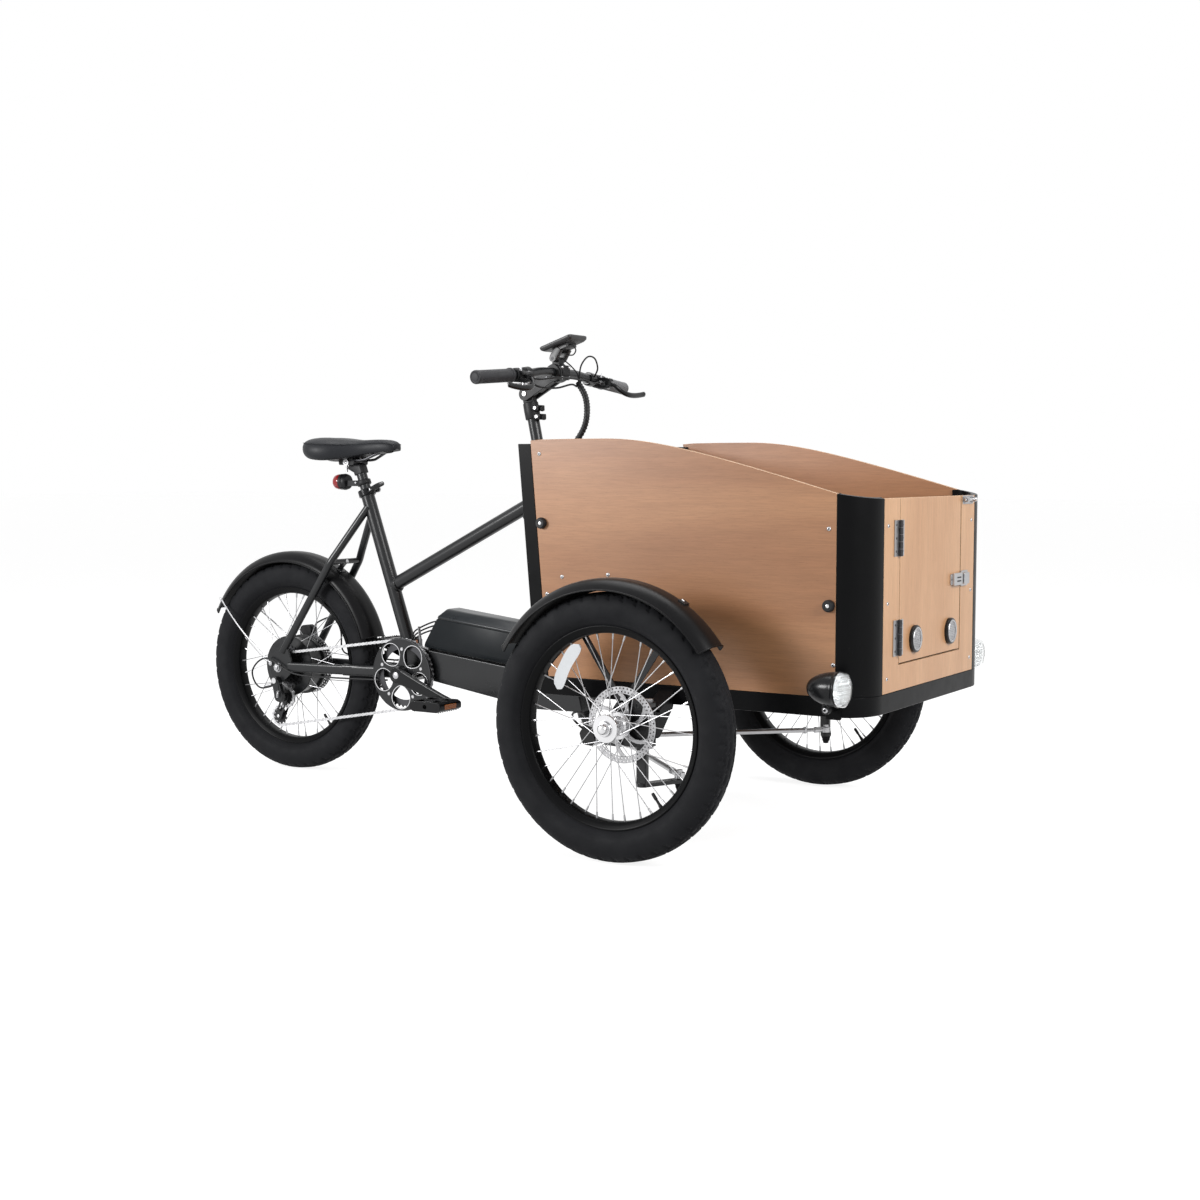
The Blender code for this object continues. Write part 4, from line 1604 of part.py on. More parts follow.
def build():
    SIDES = (("left", 1), ("right", -1))

    piece("main_frame", main_frame(), "black_paint")
    piece("rear_axle", rear_axle(), "brushed")
    piece("battery_dock", battery_dock(), "brushed")
    piece("box_base_frame", box_base_frame(), "black_paint")
    piece("box_floor", box_floor(), "beech", smooth=0)
    piece("rear_panel", rear_panel(), "beech", smooth=0)
    piece("front_panel", front_panel(), "oak", smooth=0)
    for name, side in SIDES:
        piece("side_panel_" + name, side_panel(side), "beech", smooth=0)
        piece("front_corner_" + name, front_corner(side), "black_paint")
        piece("rear_post_" + name, rear_post(side), "black_paint", smooth=0)
    piece("door_hinge_upper", hinge_half(HINGE_ZS[0], -1), "dark_steel")
    piece("door_hinge_lower", hinge_half(HINGE_ZS[1], -1), "dark_steel")
    x, y = hinge_axis()
    door = pivot("door_joint", at(x, y, FLOOR_Z))
    piece("front_door", front_door(), "oak", door, smooth=0)
    latch = pivot("latch_joint", at(BOX_FRONT_X, LATCH_Y, LATCH_Z), door)
    piece("door_latch", door_latch(), "dark_steel", latch)
    bolt = pivot("bolt_joint", at(BOLT_X, BOLT_TIP_Y, BOLT_Z))
    piece("door_bolt", door_bolt(), "brushed", bolt)

    slide = pivot("battery_joint", battery_place(BEAM_REAR_X, 0))
    piece("battery", battery(), "battery_grey", slide)

    post = pivot("seat_post_joint", at(seat_x(SEAT_TUBE_TOP_Z), 0, SEAT_TUBE_TOP_Z))
    piece("seat_post", seat_post(), "black_paint", post)
    piece("saddle_base", saddle_base(), "black_plastic", post)
    piece("saddle_cover", saddle_cover(), "vinyl", post, smooth=60)
    piece("tail_light", tail_light(), "black_plastic", post)
    piece("seat_clamp", seat_clamp(), "black_paint")
    quick = pivot("clamp_lever_joint", clamp_pivot())
    piece("seat_clamp_lever", seat_clamp_lever(), "black_paint", quick)

    crank = pivot("crank_joint", at(BB_X, 0, BB_Z))
    piece("crankset", crankset(), "black_paint", crank)
    piece("chainring", chainring(at(BB_X, CHAIN_Y, BB_Z)), "polished", crank)
    for name, side in SIDES:
        x, z = crank_end(side)
        spin = pivot("pedal_joint_" + name, at(x, side * 0.12, z), crank)
        piece("pedal_" + name, pedal(side), "black_plastic", spin)
    piece("chain", chain(), "brushed", smooth=0)
    piece("rear_derailleur", derailleur(), "black_paint")

    wheel = pivot("rear_wheel_joint", at(REAR_X, 0, AXLE_Z))
    piece("rear_tyre", tyre(at(REAR_X, 0, AXLE_Z)), "rubber", wheel)
    piece("rear_rim", rim(at(REAR_X, 0, AXLE_Z)), "black_paint", wheel)
    piece("rear_hub_motor", hub_motor(at(REAR_X, 0, AXLE_Z)), "black_paint", wheel)
    free = pivot("cassette_joint", at(REAR_X, 0, AXLE_Z))
    piece("cassette", cassette(at(REAR_X, 0, AXLE_Z)), "brushed", free)
    piece("rear_fender", rear_mudguard(), "black_paint")

    for name, side in SIDES:
        king = pivot("knuckle_joint_" + name, at(KINGPIN_X, side * KINGPIN_Y, AXLE_Z))
        piece("knuckle_" + name, knuckle(side), "black_paint", king)
        piece("fender_" + name, front_mudguard(side), "black_paint", king)
        centre = at(0, side * WHEEL_Y, AXLE_Z)
        spin = pivot("front_wheel_joint_" + name, centre, king)
        piece("front_tyre_" + name, tyre(centre), "rubber", spin)
        piece("front_rim_" + name, rim(centre), "black_paint", spin)
        piece("front_hub_" + name, front_hub(centre, side), "polished", spin)
        ball = pivot("tie_rod_joint_" + name, at(BALL_X, side * BALL_Y, ARM_TOP), king)
        piece("tie_rod_" + name, tie_rod(side), "dark_steel", ball)
        tilt = pivot("headlight_joint_" + name, at(LIGHT_PIVOT_X, side * LIGHT_Y, LIGHT_PIVOT_Z))
        piece("headlight_" + name, headlight(side), "black_plastic", tilt)

    steer = pivot("steer_joint", at(steer_x(HEAD_TUBE_TOP_Z), 0, HEAD_TUBE_TOP_Z))
    piece("steering_column", steering_column(), "black_paint", steer)
    lean = pivot("stem_joint", at(steer_x(STEM_PIVOT_Z), 0, STEM_PIVOT_Z), steer)
    piece("stem", stem(), "black_paint", lean)
    piece("handlebar", handlebar(), "black_paint", lean)
    screen = pivot("display_joint", at(*DISPLAY_HINGE), lean)
    piece("display", display(), "black_plastic", screen)
    for name, side in SIDES:
        piece("grip_" + name, grip(side), "rubber", lean)
        squeeze = pivot("brake_lever_joint_" + name, lever_pivot(side), lean)
        piece("brake_lever_" + name, brake_lever(side), "dark_steel", squeeze)
    thumb = pivot("shift_lever_joint", shift_pivot(), lean)
    piece("shift_lever", shift_lever(), "dark_steel", thumb)
    piece("cable_bundle", cable_bundle(), "black_plastic", lean)


build()
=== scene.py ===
# %% [markdown]
# # Front-loading electric cargo tricycle
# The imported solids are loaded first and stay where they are. Detailed pieces then stand for them, and each one
# rides on the body of the solid that it stands for. Lengths are in metres, X forwards, Y to the rider's left.

# %% Load the frame
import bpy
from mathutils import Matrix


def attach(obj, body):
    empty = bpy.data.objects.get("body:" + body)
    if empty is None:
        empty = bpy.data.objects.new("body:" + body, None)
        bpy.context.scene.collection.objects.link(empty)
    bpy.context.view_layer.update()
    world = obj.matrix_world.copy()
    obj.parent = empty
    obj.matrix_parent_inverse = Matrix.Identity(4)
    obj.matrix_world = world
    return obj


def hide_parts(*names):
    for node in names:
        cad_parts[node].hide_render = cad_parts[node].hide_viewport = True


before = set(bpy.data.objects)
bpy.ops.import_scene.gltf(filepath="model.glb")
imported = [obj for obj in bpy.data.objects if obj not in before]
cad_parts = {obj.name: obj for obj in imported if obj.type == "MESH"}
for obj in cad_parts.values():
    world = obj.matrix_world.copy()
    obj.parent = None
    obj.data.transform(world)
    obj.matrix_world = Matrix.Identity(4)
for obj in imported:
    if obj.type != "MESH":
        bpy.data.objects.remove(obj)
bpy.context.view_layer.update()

from math import acos, atan2, cos, hypot, pi, radians, sin, sqrt, tan

import bmesh
import bpy
from mathutils import Vector

# %% [markdown]
# ## Camera
# The place, heading and lens come from a fit to the wheels, the box's edges and the frame tubes in the photograph.
# A lens is a focal length over a film width, so the fitted length in pixels turns into one by the photo's width.

# %% Camera
YAW, PITCH, ROLL = radians(31.6864), radians(-4.3881), radians(-0.0132)
FILM, FOCAL_PIXELS, PHOTO_PIXELS = 36.0, 1718.435, 1200
eye = bpy.data.objects.new("camera", bpy.data.cameras.new("camera"))
bpy.context.scene.collection.objects.link(eye)
eye.data.sensor_fit = "HORIZONTAL"
eye.data.sensor_width = FILM
eye.data.lens = FILM * FOCAL_PIXELS / PHOTO_PIXELS
eye.location = (2.3464, -3.4859, 0.8059)
eye.rotation_euler = (pi / 2 + PITCH, ROLL, YAW)
eye.data.clip_end = 200
bpy.context.scene.camera = eye
print("camera at", tuple(round(v, 3) for v in eye.location), "lens", round(eye.data.lens, 2))

# %% [markdown]
# ## White backdrop
# A studio shot has a white sweep behind the object. Here the rays that the camera sees, and those off metal or
# through glass, find white, while the light that falls on paint stays weaker and leaves room for the lamps.

# %% White backdrop
scene = bpy.context.scene
scene.view_settings.view_transform = "Standard"
AMBIENT, FLOOR_GLOW, FLOOR_REACH = 0.30, 0.86, 40.0


def add_to_scene(name, data):
    made = bpy.data.objects.new(name, data)
    scene.collection.objects.link(made)
    return made


def node(tree, kind, **settings):
    """A new node of the kind, with its settings."""
    made = tree.nodes.new("ShaderNode" + kind)
    for key, value in settings.items():
        setattr(made, key, value)
    return made


def pale_rays(tree):
    """One for the rays that should see a white backdrop."""
    rays = node(tree, "LightPath")
    seen = rays.outputs["Is Camera Ray"]
    for kind in ("Is Glossy Ray", "Is Transmission Ray"):
        either = node(tree, "Math", operation="MAXIMUM")
        tree.links.new(seen, either.inputs[0])
        tree.links.new(rays.outputs[kind], either.inputs[1])
        seen = either.outputs[0]
    return seen


world = bpy.data.worlds.new("surround")
scene.world = world
world.use_nodes = True
sky = world.node_tree.nodes["Background"]
sky.inputs["Color"].default_value = (1, 1, 1, 1)
strength = node(world.node_tree, "MapRange")
strength.inputs["To Min"].default_value = AMBIENT
strength.inputs["To Max"].default_value = 1.0
world.node_tree.links.new(pale_rays(world.node_tree), strength.inputs["Value"])
world.node_tree.links.new(strength.outputs["Result"], sky.inputs["Strength"])
print("light on paint", AMBIENT)

# %% [markdown]
# ## Floor
# The floor is a matt grey sheet that glows for the same rays. Its own grey still takes the shadow under the wheels.

# %% Floor
floor_mesh = bpy.data.meshes.new("floor")
floor_mesh.from_pydata([(a * FLOOR_REACH, b * FLOOR_REACH, 0) for a, b in ((-1, -1), (1, -1), (1, 1),
    (-1, 1))], [], [(0, 1, 2, 3)])
add_to_scene("floor", floor_mesh)
paint = bpy.data.materials.new("floor_pale")
paint.use_nodes = True
shader = paint.node_tree.nodes["Principled BSDF"]
shader.inputs["Base Color"].default_value = (0.30, 0.30, 0.30, 1)
shader.inputs["Roughness"].default_value = 0.9
shader.inputs["Specular IOR Level"].default_value = 0.1
shader.inputs["Emission Color"].default_value = (1, 1, 1, 1)
glow = node(paint.node_tree, "Math", operation="MULTIPLY")
glow.inputs[1].default_value = FLOOR_GLOW
paint.node_tree.links.new(pale_rays(paint.node_tree), glow.inputs[0])
paint.node_tree.links.new(glow.outputs[0], shader.inputs["Emission Strength"])
floor_mesh.materials.append(paint)
print("floor across", 2 * FLOOR_REACH)

# %% [markdown]
# ## Lamps
# Three soft lamps: one behind the camera's left shoulder that glances off the side panel, one for the front wall
# and one overhead. Large lamps give the long, faint highlights that a studio's soft boxes leave on black paint.

# %% Lamps
for name, place, target, size, power in (("key", (-1.9, -3.2, 1.60), (0.3, -0.2, 0.6), (1.2, 1.0), 122),
        ("front", (4.4, -0.9, 2.6), (0.7, 0.0, 0.6), (2.2, 1.8), 150), ("overhead", (-0.2, 0.4, 4.2),
        (0.0, 0.0, 0.5), (3.2, 2.4), 110)):
    lamp = add_to_scene(name, bpy.data.lights.new(name, "AREA"))
    lamp.data.shape = "RECTANGLE"
    lamp.data.size, lamp.data.size_y = size
    lamp.data.energy = power
    lamp.location = place
    lamp.rotation_euler = (Vector(target) - Vector(place)).to_track_quat("-Z", "Y").to_euler()
    print(name, "lamp", power, "W")

# %% [markdown]
# ## Finish tools
# Every finish is made of nodes. The textures read the piece's own coordinates, so they stay put when it moves.
# Paint, plastic and metal share one recipe: a fine bump for the grain, and a slow drift in colour and gloss.

# %% Finish tools
FINISH = {}


def new_finish(name, colour, roughness, metallic=0.0, specular=0.5, coat=0.0, coat_roughness=0.1):
    material = bpy.data.materials.new(name)
    material.use_nodes = True
    shader = material.node_tree.nodes["Principled BSDF"]
    for socket, value in (("Base Color", (*colour, 1)), ("Roughness", roughness), ("Metallic", metallic),
            ("Specular IOR Level", specular), ("Coat Weight", coat), ("Coat Roughness", coat_roughness)):
        shader.inputs[socket].default_value = value
    material.diffuse_color = (*colour, 1)
    FINISH[name] = material
    return material.node_tree, shader


def noise_of(tree, scale, detail=4.0, stretch=(1, 1, 1), distortion=0.0, roughness=0.55):
    place = node(tree, "TexCoord")
    mapping = node(tree, "Mapping")
    mapping.inputs["Scale"].default_value = stretch
    tree.links.new(place.outputs["Object"], mapping.inputs["Vector"])
    grain = node(tree, "TexNoise")
    for socket, value in (("Scale", scale), ("Detail", detail), ("Roughness", roughness), ("Distortion",
            distortion)):
        grain.inputs[socket].default_value = value
    tree.links.new(mapping.outputs["Vector"], grain.inputs["Vector"])
    return grain.outputs["Fac"]


def ramp_of(tree, value, stops):
    ramp = node(tree, "ValToRGB")
    points = ramp.color_ramp.elements
    while len(points) < len(stops):
        points.new(0.5)
    for point, (where, colour) in zip(points, stops):
        point.position = where
        point.color = (*colour, 1) if isinstance(colour, tuple) else (colour, colour, colour, 1)
    tree.links.new(value, ramp.inputs["Fac"])
    return ramp.outputs["Color"]


def darkened(tree, colour, shade):
    """The colour multiplied by a shade."""
    mix = node(tree, "Mix", data_type="RGBA", blend_type="MULTIPLY")
    mix.inputs["Factor"].default_value = 1.0
    tree.links.new(colour, mix.inputs[6])
    tree.links.new(shade, mix.inputs[7])
    return mix.outputs[2]


def bumped(tree, shader, height, strength, distance):
    bump = node(tree, "Bump")
    bump.inputs["Strength"].default_value = strength
    bump.inputs["Distance"].default_value = distance
    tree.links.new(height, bump.inputs["Height"])
    tree.links.new(bump.outputs["Normal"], shader.inputs["Normal"])


def grained(name, colour, spread, roughness, scale, strength=0.15, distance=0.0002, **gloss):
    """A finish with a fine grain, whose colour and gloss drift a little over the surface."""
    tree, shader = new_finish(name, colour, roughness, **gloss)
    low, high = (tuple(c * (1 + s * spread) for c in colour) for s in (-1, 1))
    tree.links.new(ramp_of(tree, noise_of(tree, 9.0, 3.0), [(0.3, low), (0.7, high)]),
        shader.inputs["Base Color"])
    shine = [(0.3, roughness * 0.88), (0.7, min(1.0, roughness * 1.12))]
    tree.links.new(ramp_of(tree, noise_of(tree, 26.0, 5.0), shine), shader.inputs["Roughness"])
    bumped(tree, shader, noise_of(tree, scale, 3.0), strength, distance)


# %% [markdown]
# ## Paint, plastic, rubber and metal
# Black parts look unlike each other by their gloss more than by their colour, so each has its own roughness and
# shine. The numbers are a colour, how far it drifts, roughness, fineness of the grain and how deep it is.

# %% Paint, plastic, rubber and metal
grained("frame_paint", (0.0080, 0.0086, 0.0098), 0.08, 0.30, 1400, 0.10, specular=0.30, coat=0.12,
    coat_roughness=0.20)
grained("post_paint", (0.0035, 0.0036, 0.0040), 0.08, 0.34, 1200, 0.10, specular=0.07)
grained("guard_paint", (0.0050, 0.0050, 0.0056), 0.10, 0.34, 900, 0.06, specular=0.12)
grained("plastic", (0.0085, 0.0085, 0.0095), 0.10, 0.46, 1500, 0.25, specular=0.26)
grained("glossy_plastic", (0.0060, 0.0060, 0.0068), 0.05, 0.18, 600, 0.04, specular=0.30)
grained("tyre_rubber", (0.0085, 0.0088, 0.0102), 0.18, 0.70, 700, 0.30, 0.0004, specular=0.13)
grained("grip_rubber", (0.030, 0.030, 0.033), 0.12, 0.60, 900, 0.30, 0.0003, specular=0.30)
grained("vinyl", (0.0115, 0.0125, 0.0150), 0.10, 0.46, 620, 0.30, 0.0005, specular=0.22)
grained("battery_case", (0.0080, 0.0100, 0.0118), 0.08, 0.36, 1300, 0.12, specular=0.10)
# The lid is lighter than the case: partly its own plastic, partly a painted sheen on the battery's top.
grained("battery_lid", (0.016, 0.019, 0.022), 0.08, 0.30, 1300, 0.12, specular=0.28)
grained("polished", (0.60, 0.60, 0.61), 0.04, 0.26, 300, 0.05, metallic=1.0)
grained("spoke_steel", (0.42, 0.42, 0.43), 0.06, 0.38, 700, 0.05, metallic=1.0)
grained("brushed", (0.42, 0.42, 0.43), 0.06, 0.38, 600, 0.15, metallic=1.0)
grained("dark_steel", (0.060, 0.060, 0.064), 0.12, 0.34, 800, 0.12, metallic=0.9)
grained("crank_black", (0.0060, 0.0064, 0.0072), 0.06, 0.26, 900, 0.10, specular=0.16, coat=0.10,
    coat_roughness=0.15)
grained("pedal_black", (0.0060, 0.0060, 0.0068), 0.10, 0.34, 900, 0.2, specular=0.18)
grained("chain_steel", (0.55, 0.55, 0.56), 0.12, 0.34, 500, 0.2, metallic=1.0)
grained("zinc", (0.44, 0.44, 0.45), 0.10, 0.36, 500, 0.18, metallic=1.0)
grained("reflector_white", (0.70, 0.72, 0.74), 0.06, 0.22, 220, 0.5, 0.0008)
grained("reflector_amber", (0.60, 0.17, 0.02), 0.08, 0.22, 260, 0.5, 0.0008)
grained("lens_red", (0.28, 0.010, 0.012), 0.08, 0.16, 260, 0.4, 0.0008)
grained("silver_plastic", (0.40, 0.40, 0.41), 0.05, 0.36, 800, 0.10, metallic=0.6)
grained("vent_mesh", (0.045, 0.045, 0.047), 0.3, 0.45, 900, 0.8, 0.0006, metallic=0.7)
grained("screen_case", (0.020, 0.020, 0.021), 0.08, 0.40, 1200, 0.2)
grained("glass_black", (0.006, 0.006, 0.007), 0.02, 0.06, 400, 0.02, specular=0.35)
grained("screen_grey", (0.030, 0.034, 0.034), 0.05, 0.14, 400, 0.02)
# A lighter grey copy of the grip rubber, for the far grip: painted light where light falls on that grip.
grained("grip_rubber_painted_light", (0.130, 0.130, 0.134), 0.10, 0.55, 900, 0.30, 0.0003, specular=0.4)
grained("bowl_silver", (0.88, 0.88, 0.89), 0.03, 0.14, 300, 0.04, metallic=1.0)
grained("lamp_white", (0.80, 0.78, 0.72), 0.05, 0.30, 300, 0.05)
tree, shader = new_finish("clear_lens", (0.97, 0.98, 0.98), 0.03)
shader.inputs["Transmission Weight"].default_value = 1.0
shader.inputs["IOR"].default_value = 1.45
tree.links.new(ramp_of(tree, noise_of(tree, 40.0, 2.0), [(0.4, 0.02), (0.6, 0.05)]),
    shader.inputs["Roughness"])
bumped(tree, shader, noise_of(tree, 120.0, 2.0), 0.08, 0.0003)
print("plain finishes", len(FINISH))

# %% [markdown]
# ## Wood
# The panels are plywood with a lacquered face. The veneer has broad figure, fine fibres and short pores, all drawn
# out along the grain by stretching the noise. The cut edge shows crossed layers, counted through the sheet.

# %% Wood
def wood(name, light, dark, along):
    tree, shader = new_finish(name, light, 0.40, specular=0.25, coat=0.55, coat_roughness=0.28)
    axis = "XYZ".index(along)

    def drawn(scale, detail, pull, **more):
        return noise_of(tree, scale, detail, tuple(1.0 if i == axis else pull for i in range(3)), **more)

    figure = drawn(1.3, 4.0, 4.5, distortion=0.6)
    middle = tuple((a + b) / 2 for a, b in zip(light, dark))
    base = ramp_of(tree, figure, [(0.22, dark), (0.48, middle), (0.74, light)])
    bands = drawn(4.0, 2.0, 26.0, distortion=0.3)
    base = darkened(tree, base, ramp_of(tree, bands, [(0.35, 0.93), (0.65, 1.0)]))
    fibres = drawn(24.0, 6.0, 18.0, roughness=0.7)
    base = darkened(tree, base, ramp_of(tree, fibres, [(0.35, 0.86), (0.60, 1.0)]))
    pores = drawn(70.0, 2.0, 11.0)
    base = darkened(tree, base, ramp_of(tree, pores, [(0.64, 1.0), (0.74, 0.80)]))
    tree.links.new(base, shader.inputs["Base Color"])
    tree.links.new(ramp_of(tree, fibres, [(0.3, 0.50), (0.7, 0.40)]), shader.inputs["Roughness"])
    bumped(tree, shader, fibres, 0.12, 0.0003)


PALE_PLY, OAK_PLY = ((0.60, 0.40, 0.26), (0.34, 0.20, 0.115)), ((0.66, 0.45, 0.28), (0.36, 0.21, 0.115))
PLY_LAYERS = 4.5


def ply_edge(name, tones, across, start, thickness):
    light, dark = tones
    tree, shader = new_finish(name, light, 0.62)
    place = node(tree, "TexCoord")
    parts = node(tree, "SeparateXYZ")
    tree.links.new(place.outputs["Object"], parts.inputs[0])
    layer = node(tree, "MapRange")
    for socket, value in (("From Min", start), ("From Max", start + thickness), ("To Max", PLY_LAYERS)):
        layer.inputs[socket].default_value = value
    tree.links.new(parts.outputs[across], layer.inputs["Value"])
    turn = node(tree, "Math", operation="FRACT")
    tree.links.new(layer.outputs["Result"], turn.inputs[0])
    layers = ramp_of(tree, turn.outputs[0], [(0.0, light), (0.46, light), (0.54, dark), (0.94, dark)])
    speck = ramp_of(tree, noise_of(tree, 160.0, 4.0), [(0.35, 0.80), (0.60, 1.0)])
    tree.links.new(darkened(tree, layers, speck), shader.inputs["Base Color"])


wood("side_veneer", (0.50, 0.250, 0.118), (0.31, 0.132, 0.055), "X")
wood("front_veneer", (0.70, 0.400, 0.205), (0.52, 0.260, 0.115), "Z")
# The rear wall's veneer is a darker copy of the side veneer: painted shade for the inside of the box.
wood("inner_veneer_painted_shade", (0.34, 0.158, 0.082), (0.22, 0.090, 0.042), "Y")
print("finishes", len(FINISH))

# %% [markdown]
# ## Places and outlines
# A shape is a list of points and a list of faces. It often starts as a flat outline: a rectangle, a bar with round
# ends or any polygon with its corners rounded. Small profiles are written in millimetres, as on a drawing.

# %% Places and outlines
FRONT_AXLE_X = 0.5391
GAP = 0.0003
SIDES = (("left", 1), ("right", -1))


def vec(*xyz):
    return Vector(xyz)


def at(x, y, z):
    """A place counted from the front axle."""
    return vec(FRONT_AXLE_X + x, y, z)


def mm(*rows):
    """Rows of millimetres in metres."""
    return [tuple(v / 1000 for v in row) for row in rows]


def corners(x0, x1, y0, y1):
    return [(x0, y0), (x1, y0), (x1, y1), (x0, y1)]


def rounded(points, radius, steps=4):
    """A closed outline with its corners rounded."""
    out = []
    count = len(points)
    for i, (x, y) in enumerate(points):
        here, before, after = vec(x, y), Vector(points[i - 1]), Vector(points[(i + 1) % count])
        reach = min(radius, (before - here).length * 0.45, (after - here).length * 0.45)
        a = here + (before - here).normalized() * reach
        b = here + (after - here).normalized() * reach
        for t in [k / steps for k in range(steps + 1)]:
            spot = a * (1 - t) ** 2 + here * 2 * t * (1 - t) + b * t ** 2
            out.append((spot.x, spot.y))
    return out


def rectangle(width, height):
    return corners(-width / 2, width / 2, -height / 2, height / 2)


def soft_bar(size, radius, steps=4):
    return rounded(rectangle(*size), radius, steps)


def link(p, r0, q, r1, steps=12):
    """Outline of a bar with a round end at each of two places."""
    aim = atan2(q[1] - p[1], q[0] - p[0])
    lean = acos((r0 - r1) / hypot(q[0] - p[0], q[1] - p[1]))
    outline = []
    for centre, radius, start, sweep in ((p, r0, aim + lean, 2 * (pi - lean)), (q, r1, aim - lean, 2 * lean)):
        for k in range(steps + 1):
            turn = start + sweep * k / steps
            outline.append((centre[0] + radius * cos(turn), centre[1] + radius * sin(turn)))
    return outline


def smooth_path(points, steps):
    """A smooth curve through the given points."""
    points = [Vector(p) for p in points]
    ends = [points[0] * 2 - points[1]] + points + [points[-1] * 2 - points[-2]]
    out = []
    for a, b, c, d in zip(ends, ends[1:], ends[2:], ends[3:]):
        for k in range(steps):
            t = k / steps
            out.append(0.5 * ((2 * b) + (c - a) * t + (2 * a - 5 * b + 4 * c - d) * t ** 2 + (3 * b - a - 3
                * c + d) * t ** 3))
    return out + [points[-1]]


print("a soft bar has", len(soft_bar((0.02, 0.01), 0.002)), "corners")

# %% [markdown]
# ## Solids from outlines
# A skin joins a row of equal rings, each a list of the same number of points. Turned pieces come from lathe(),
# which spins a profile round an axis, and straight round bars from rod(), which is a lathe with a plain profile.

# %% Solids from outlines
def merge(*shapes):
    points, faces = [], []
    for more_points, more_faces in shapes:
        base = len(points)
        points += more_points
        faces += [[base + i for i in face] for face in more_faces]
    return points, faces


def skin(rings, loop=False):
    count = len(rings[0])
    points = [Vector(p) for ring in rings for p in ring]
    faces = []
    for k in range(len(rings) if loop else len(rings) - 1):
        a, b = k * count, ((k + 1) % len(rings)) * count
        for i in range(count):
            j = (i + 1) % count
            faces.append([a + i, a + j, b + j, b + i])
    if not loop:
        faces.append(list(range(count)))
        faces.append([(len(rings) - 1) * count + i for i in reversed(range(count))])
    return points, faces


def lathe(profile, centre, axis, sides=48):
    """A profile of (radius, distance along the axis) turned round it. It closes on itself off the axis."""
    axis, centre = Vector(axis).normalized(), Vector(centre)
    side = axis.orthogonal().normalized()
    up = axis.cross(side)
    points, columns, faces = [], [], []
    for radius, along in profile:
        foot = centre + axis * along
        if radius < 1e-7:
            columns.append([len(points)])
            points.append(foot)
            continue
        columns.append(list(range(len(points), len(points) + sides)))
        for t in [2 * pi * i / sides for i in range(sides)]:
            points.append(foot + radius * (cos(t) * side + sin(t) * up))
    pairs = list(zip(columns, columns[1:]))
    if len(columns[0]) > 1 or len(columns[-1]) > 1:
        pairs.append((columns[-1], columns[0]))
    for a, b in pairs:
        for i in range(sides):
            j = (i + 1) % sides
            ring = [a[i % len(a)], a[j % len(a)], b[j % len(b)], b[i % len(b)]]
            faces.append(list(dict.fromkeys(ring)))
    return points, [face for face in faces if len(face) > 2]


def rod(start, end, radius, sides=24, end_radius=None, round_end=0.0):
    """A round bar between two points, with softened ends where round_end is given."""
    start, end = Vector(start), Vector(end)
    length = (end - start).length
    last = radius if end_radius is None else end_radius
    e = round_end
    if e:
        profile = [(0, 0), (radius - e, 0), (radius - 0.3 * e, 0.3 * e), (radius, e), (last, length - e),
            (last - 0.3 * e, length - 0.3 * e), (last - e, length), (0, length)]
    else:
        profile = [(0, 0), (radius, 0), (last, length), (0, length)]
    return lathe(profile, start, end - start, sides)


print("a turned ring has", len(lathe(corners(0.01, 0.02, 0, 0.01), (0, 0, 0), (0, 0, 1))[1]), "faces")

# %% [markdown]
# ## Bars, blocks and straps
# tube() carries a round section along a path and keeps it from twisting. prism() pushes an outline straight, and
# strap() carries a flat one along a line and mitres its corners, as a maker would who welds flat bar.

# %% Bars, blocks and straps
def way_along(path, k):
    return (path[min(k + 1, len(path) - 1)] - path[max(k - 1, 0)]).normalized()


def tube(points, radius, sides=16, steps=0):
    """A round bar along points, smoothed where steps is given."""
    path = smooth_path(points, steps) if steps else [Vector(p) for p in points]
    side = (path[1] - path[0]).normalized().orthogonal().normalized()
    rings = []
    for k, place in enumerate(path):
        way = way_along(path, k)
        side = (side - way * side.dot(way)).normalized()
        up = way.cross(side)
        rings.append([place + radius * (cos(2 * pi * i / sides) * side + sin(2 * pi * i / sides) * up)
            for i in range(sides)])
    return skin(rings)


def prism(outline, axis, start, end):
    """An outline square to an axis and run along it. Outlines are (y, z), (x, z) or (x, y)."""
    place = {"X": lambda a, b, d: vec(d, a, b), "Y": lambda a, b, d: vec(a, d, b), "Z": lambda a, b,
        d: vec(a, b, d)}[axis]
    return skin([[place(a, b, d) for a, b in outline] for d in (start, end)])


def block(low, high):
    (x0, y0, z0), (x1, y1, z1) = low, high
    return prism(corners(x0, x1, y0, y1), "Z", z0, z1)


def strap(points, section, up=(0, 0, 1), loop=False):
    """A flat section of (across, up) carried along points and mitred at each corner."""
    points, up = [Vector(p) for p in points], Vector(up)
    count = len(points)
    rings = []
    for i, point in enumerate(points):
        before = points[i - 1] if i > 0 or loop else point
        after = points[(i + 1) % count] if i < count - 1 or loop else point
        first = (point - before).normalized() if before != point else (after - point).normalized()
        second = (after - point).normalized() if after != point else first
        tangent = (first + second).normalized()
        across = up.cross(second).normalized()
        height = second.cross(across)
        ring = []
        for a, b in section:
            corner = point + a * across + b * height
            ring.append(corner - second * ((corner - point).dot(tangent) / tangent.dot(second)))
        rings.append(ring)
    return skin(rings, loop=loop)


print("a rod has", len(rod((0, 0, 0), (0, 0, 1), 0.01)[1]), "faces")

# %% [markdown]
# ## Pieces
# make() turns a shape into a piece that rides on a body, with a finish and softened edges where they are asked for,
# and hides the solid that it stands for. carved() cuts holes first, with Blender's own boolean.

# %% Pieces
def mesh_of(name, shape):
    mesh = bpy.data.meshes.new(name)
    mesh.from_pydata(shape[0], [], shape[1])
    bm = bmesh.new()
    bm.from_mesh(mesh)
    bmesh.ops.recalc_face_normals(bm, faces=bm.faces)
    bm.to_mesh(mesh)
    bm.free()
    return mesh


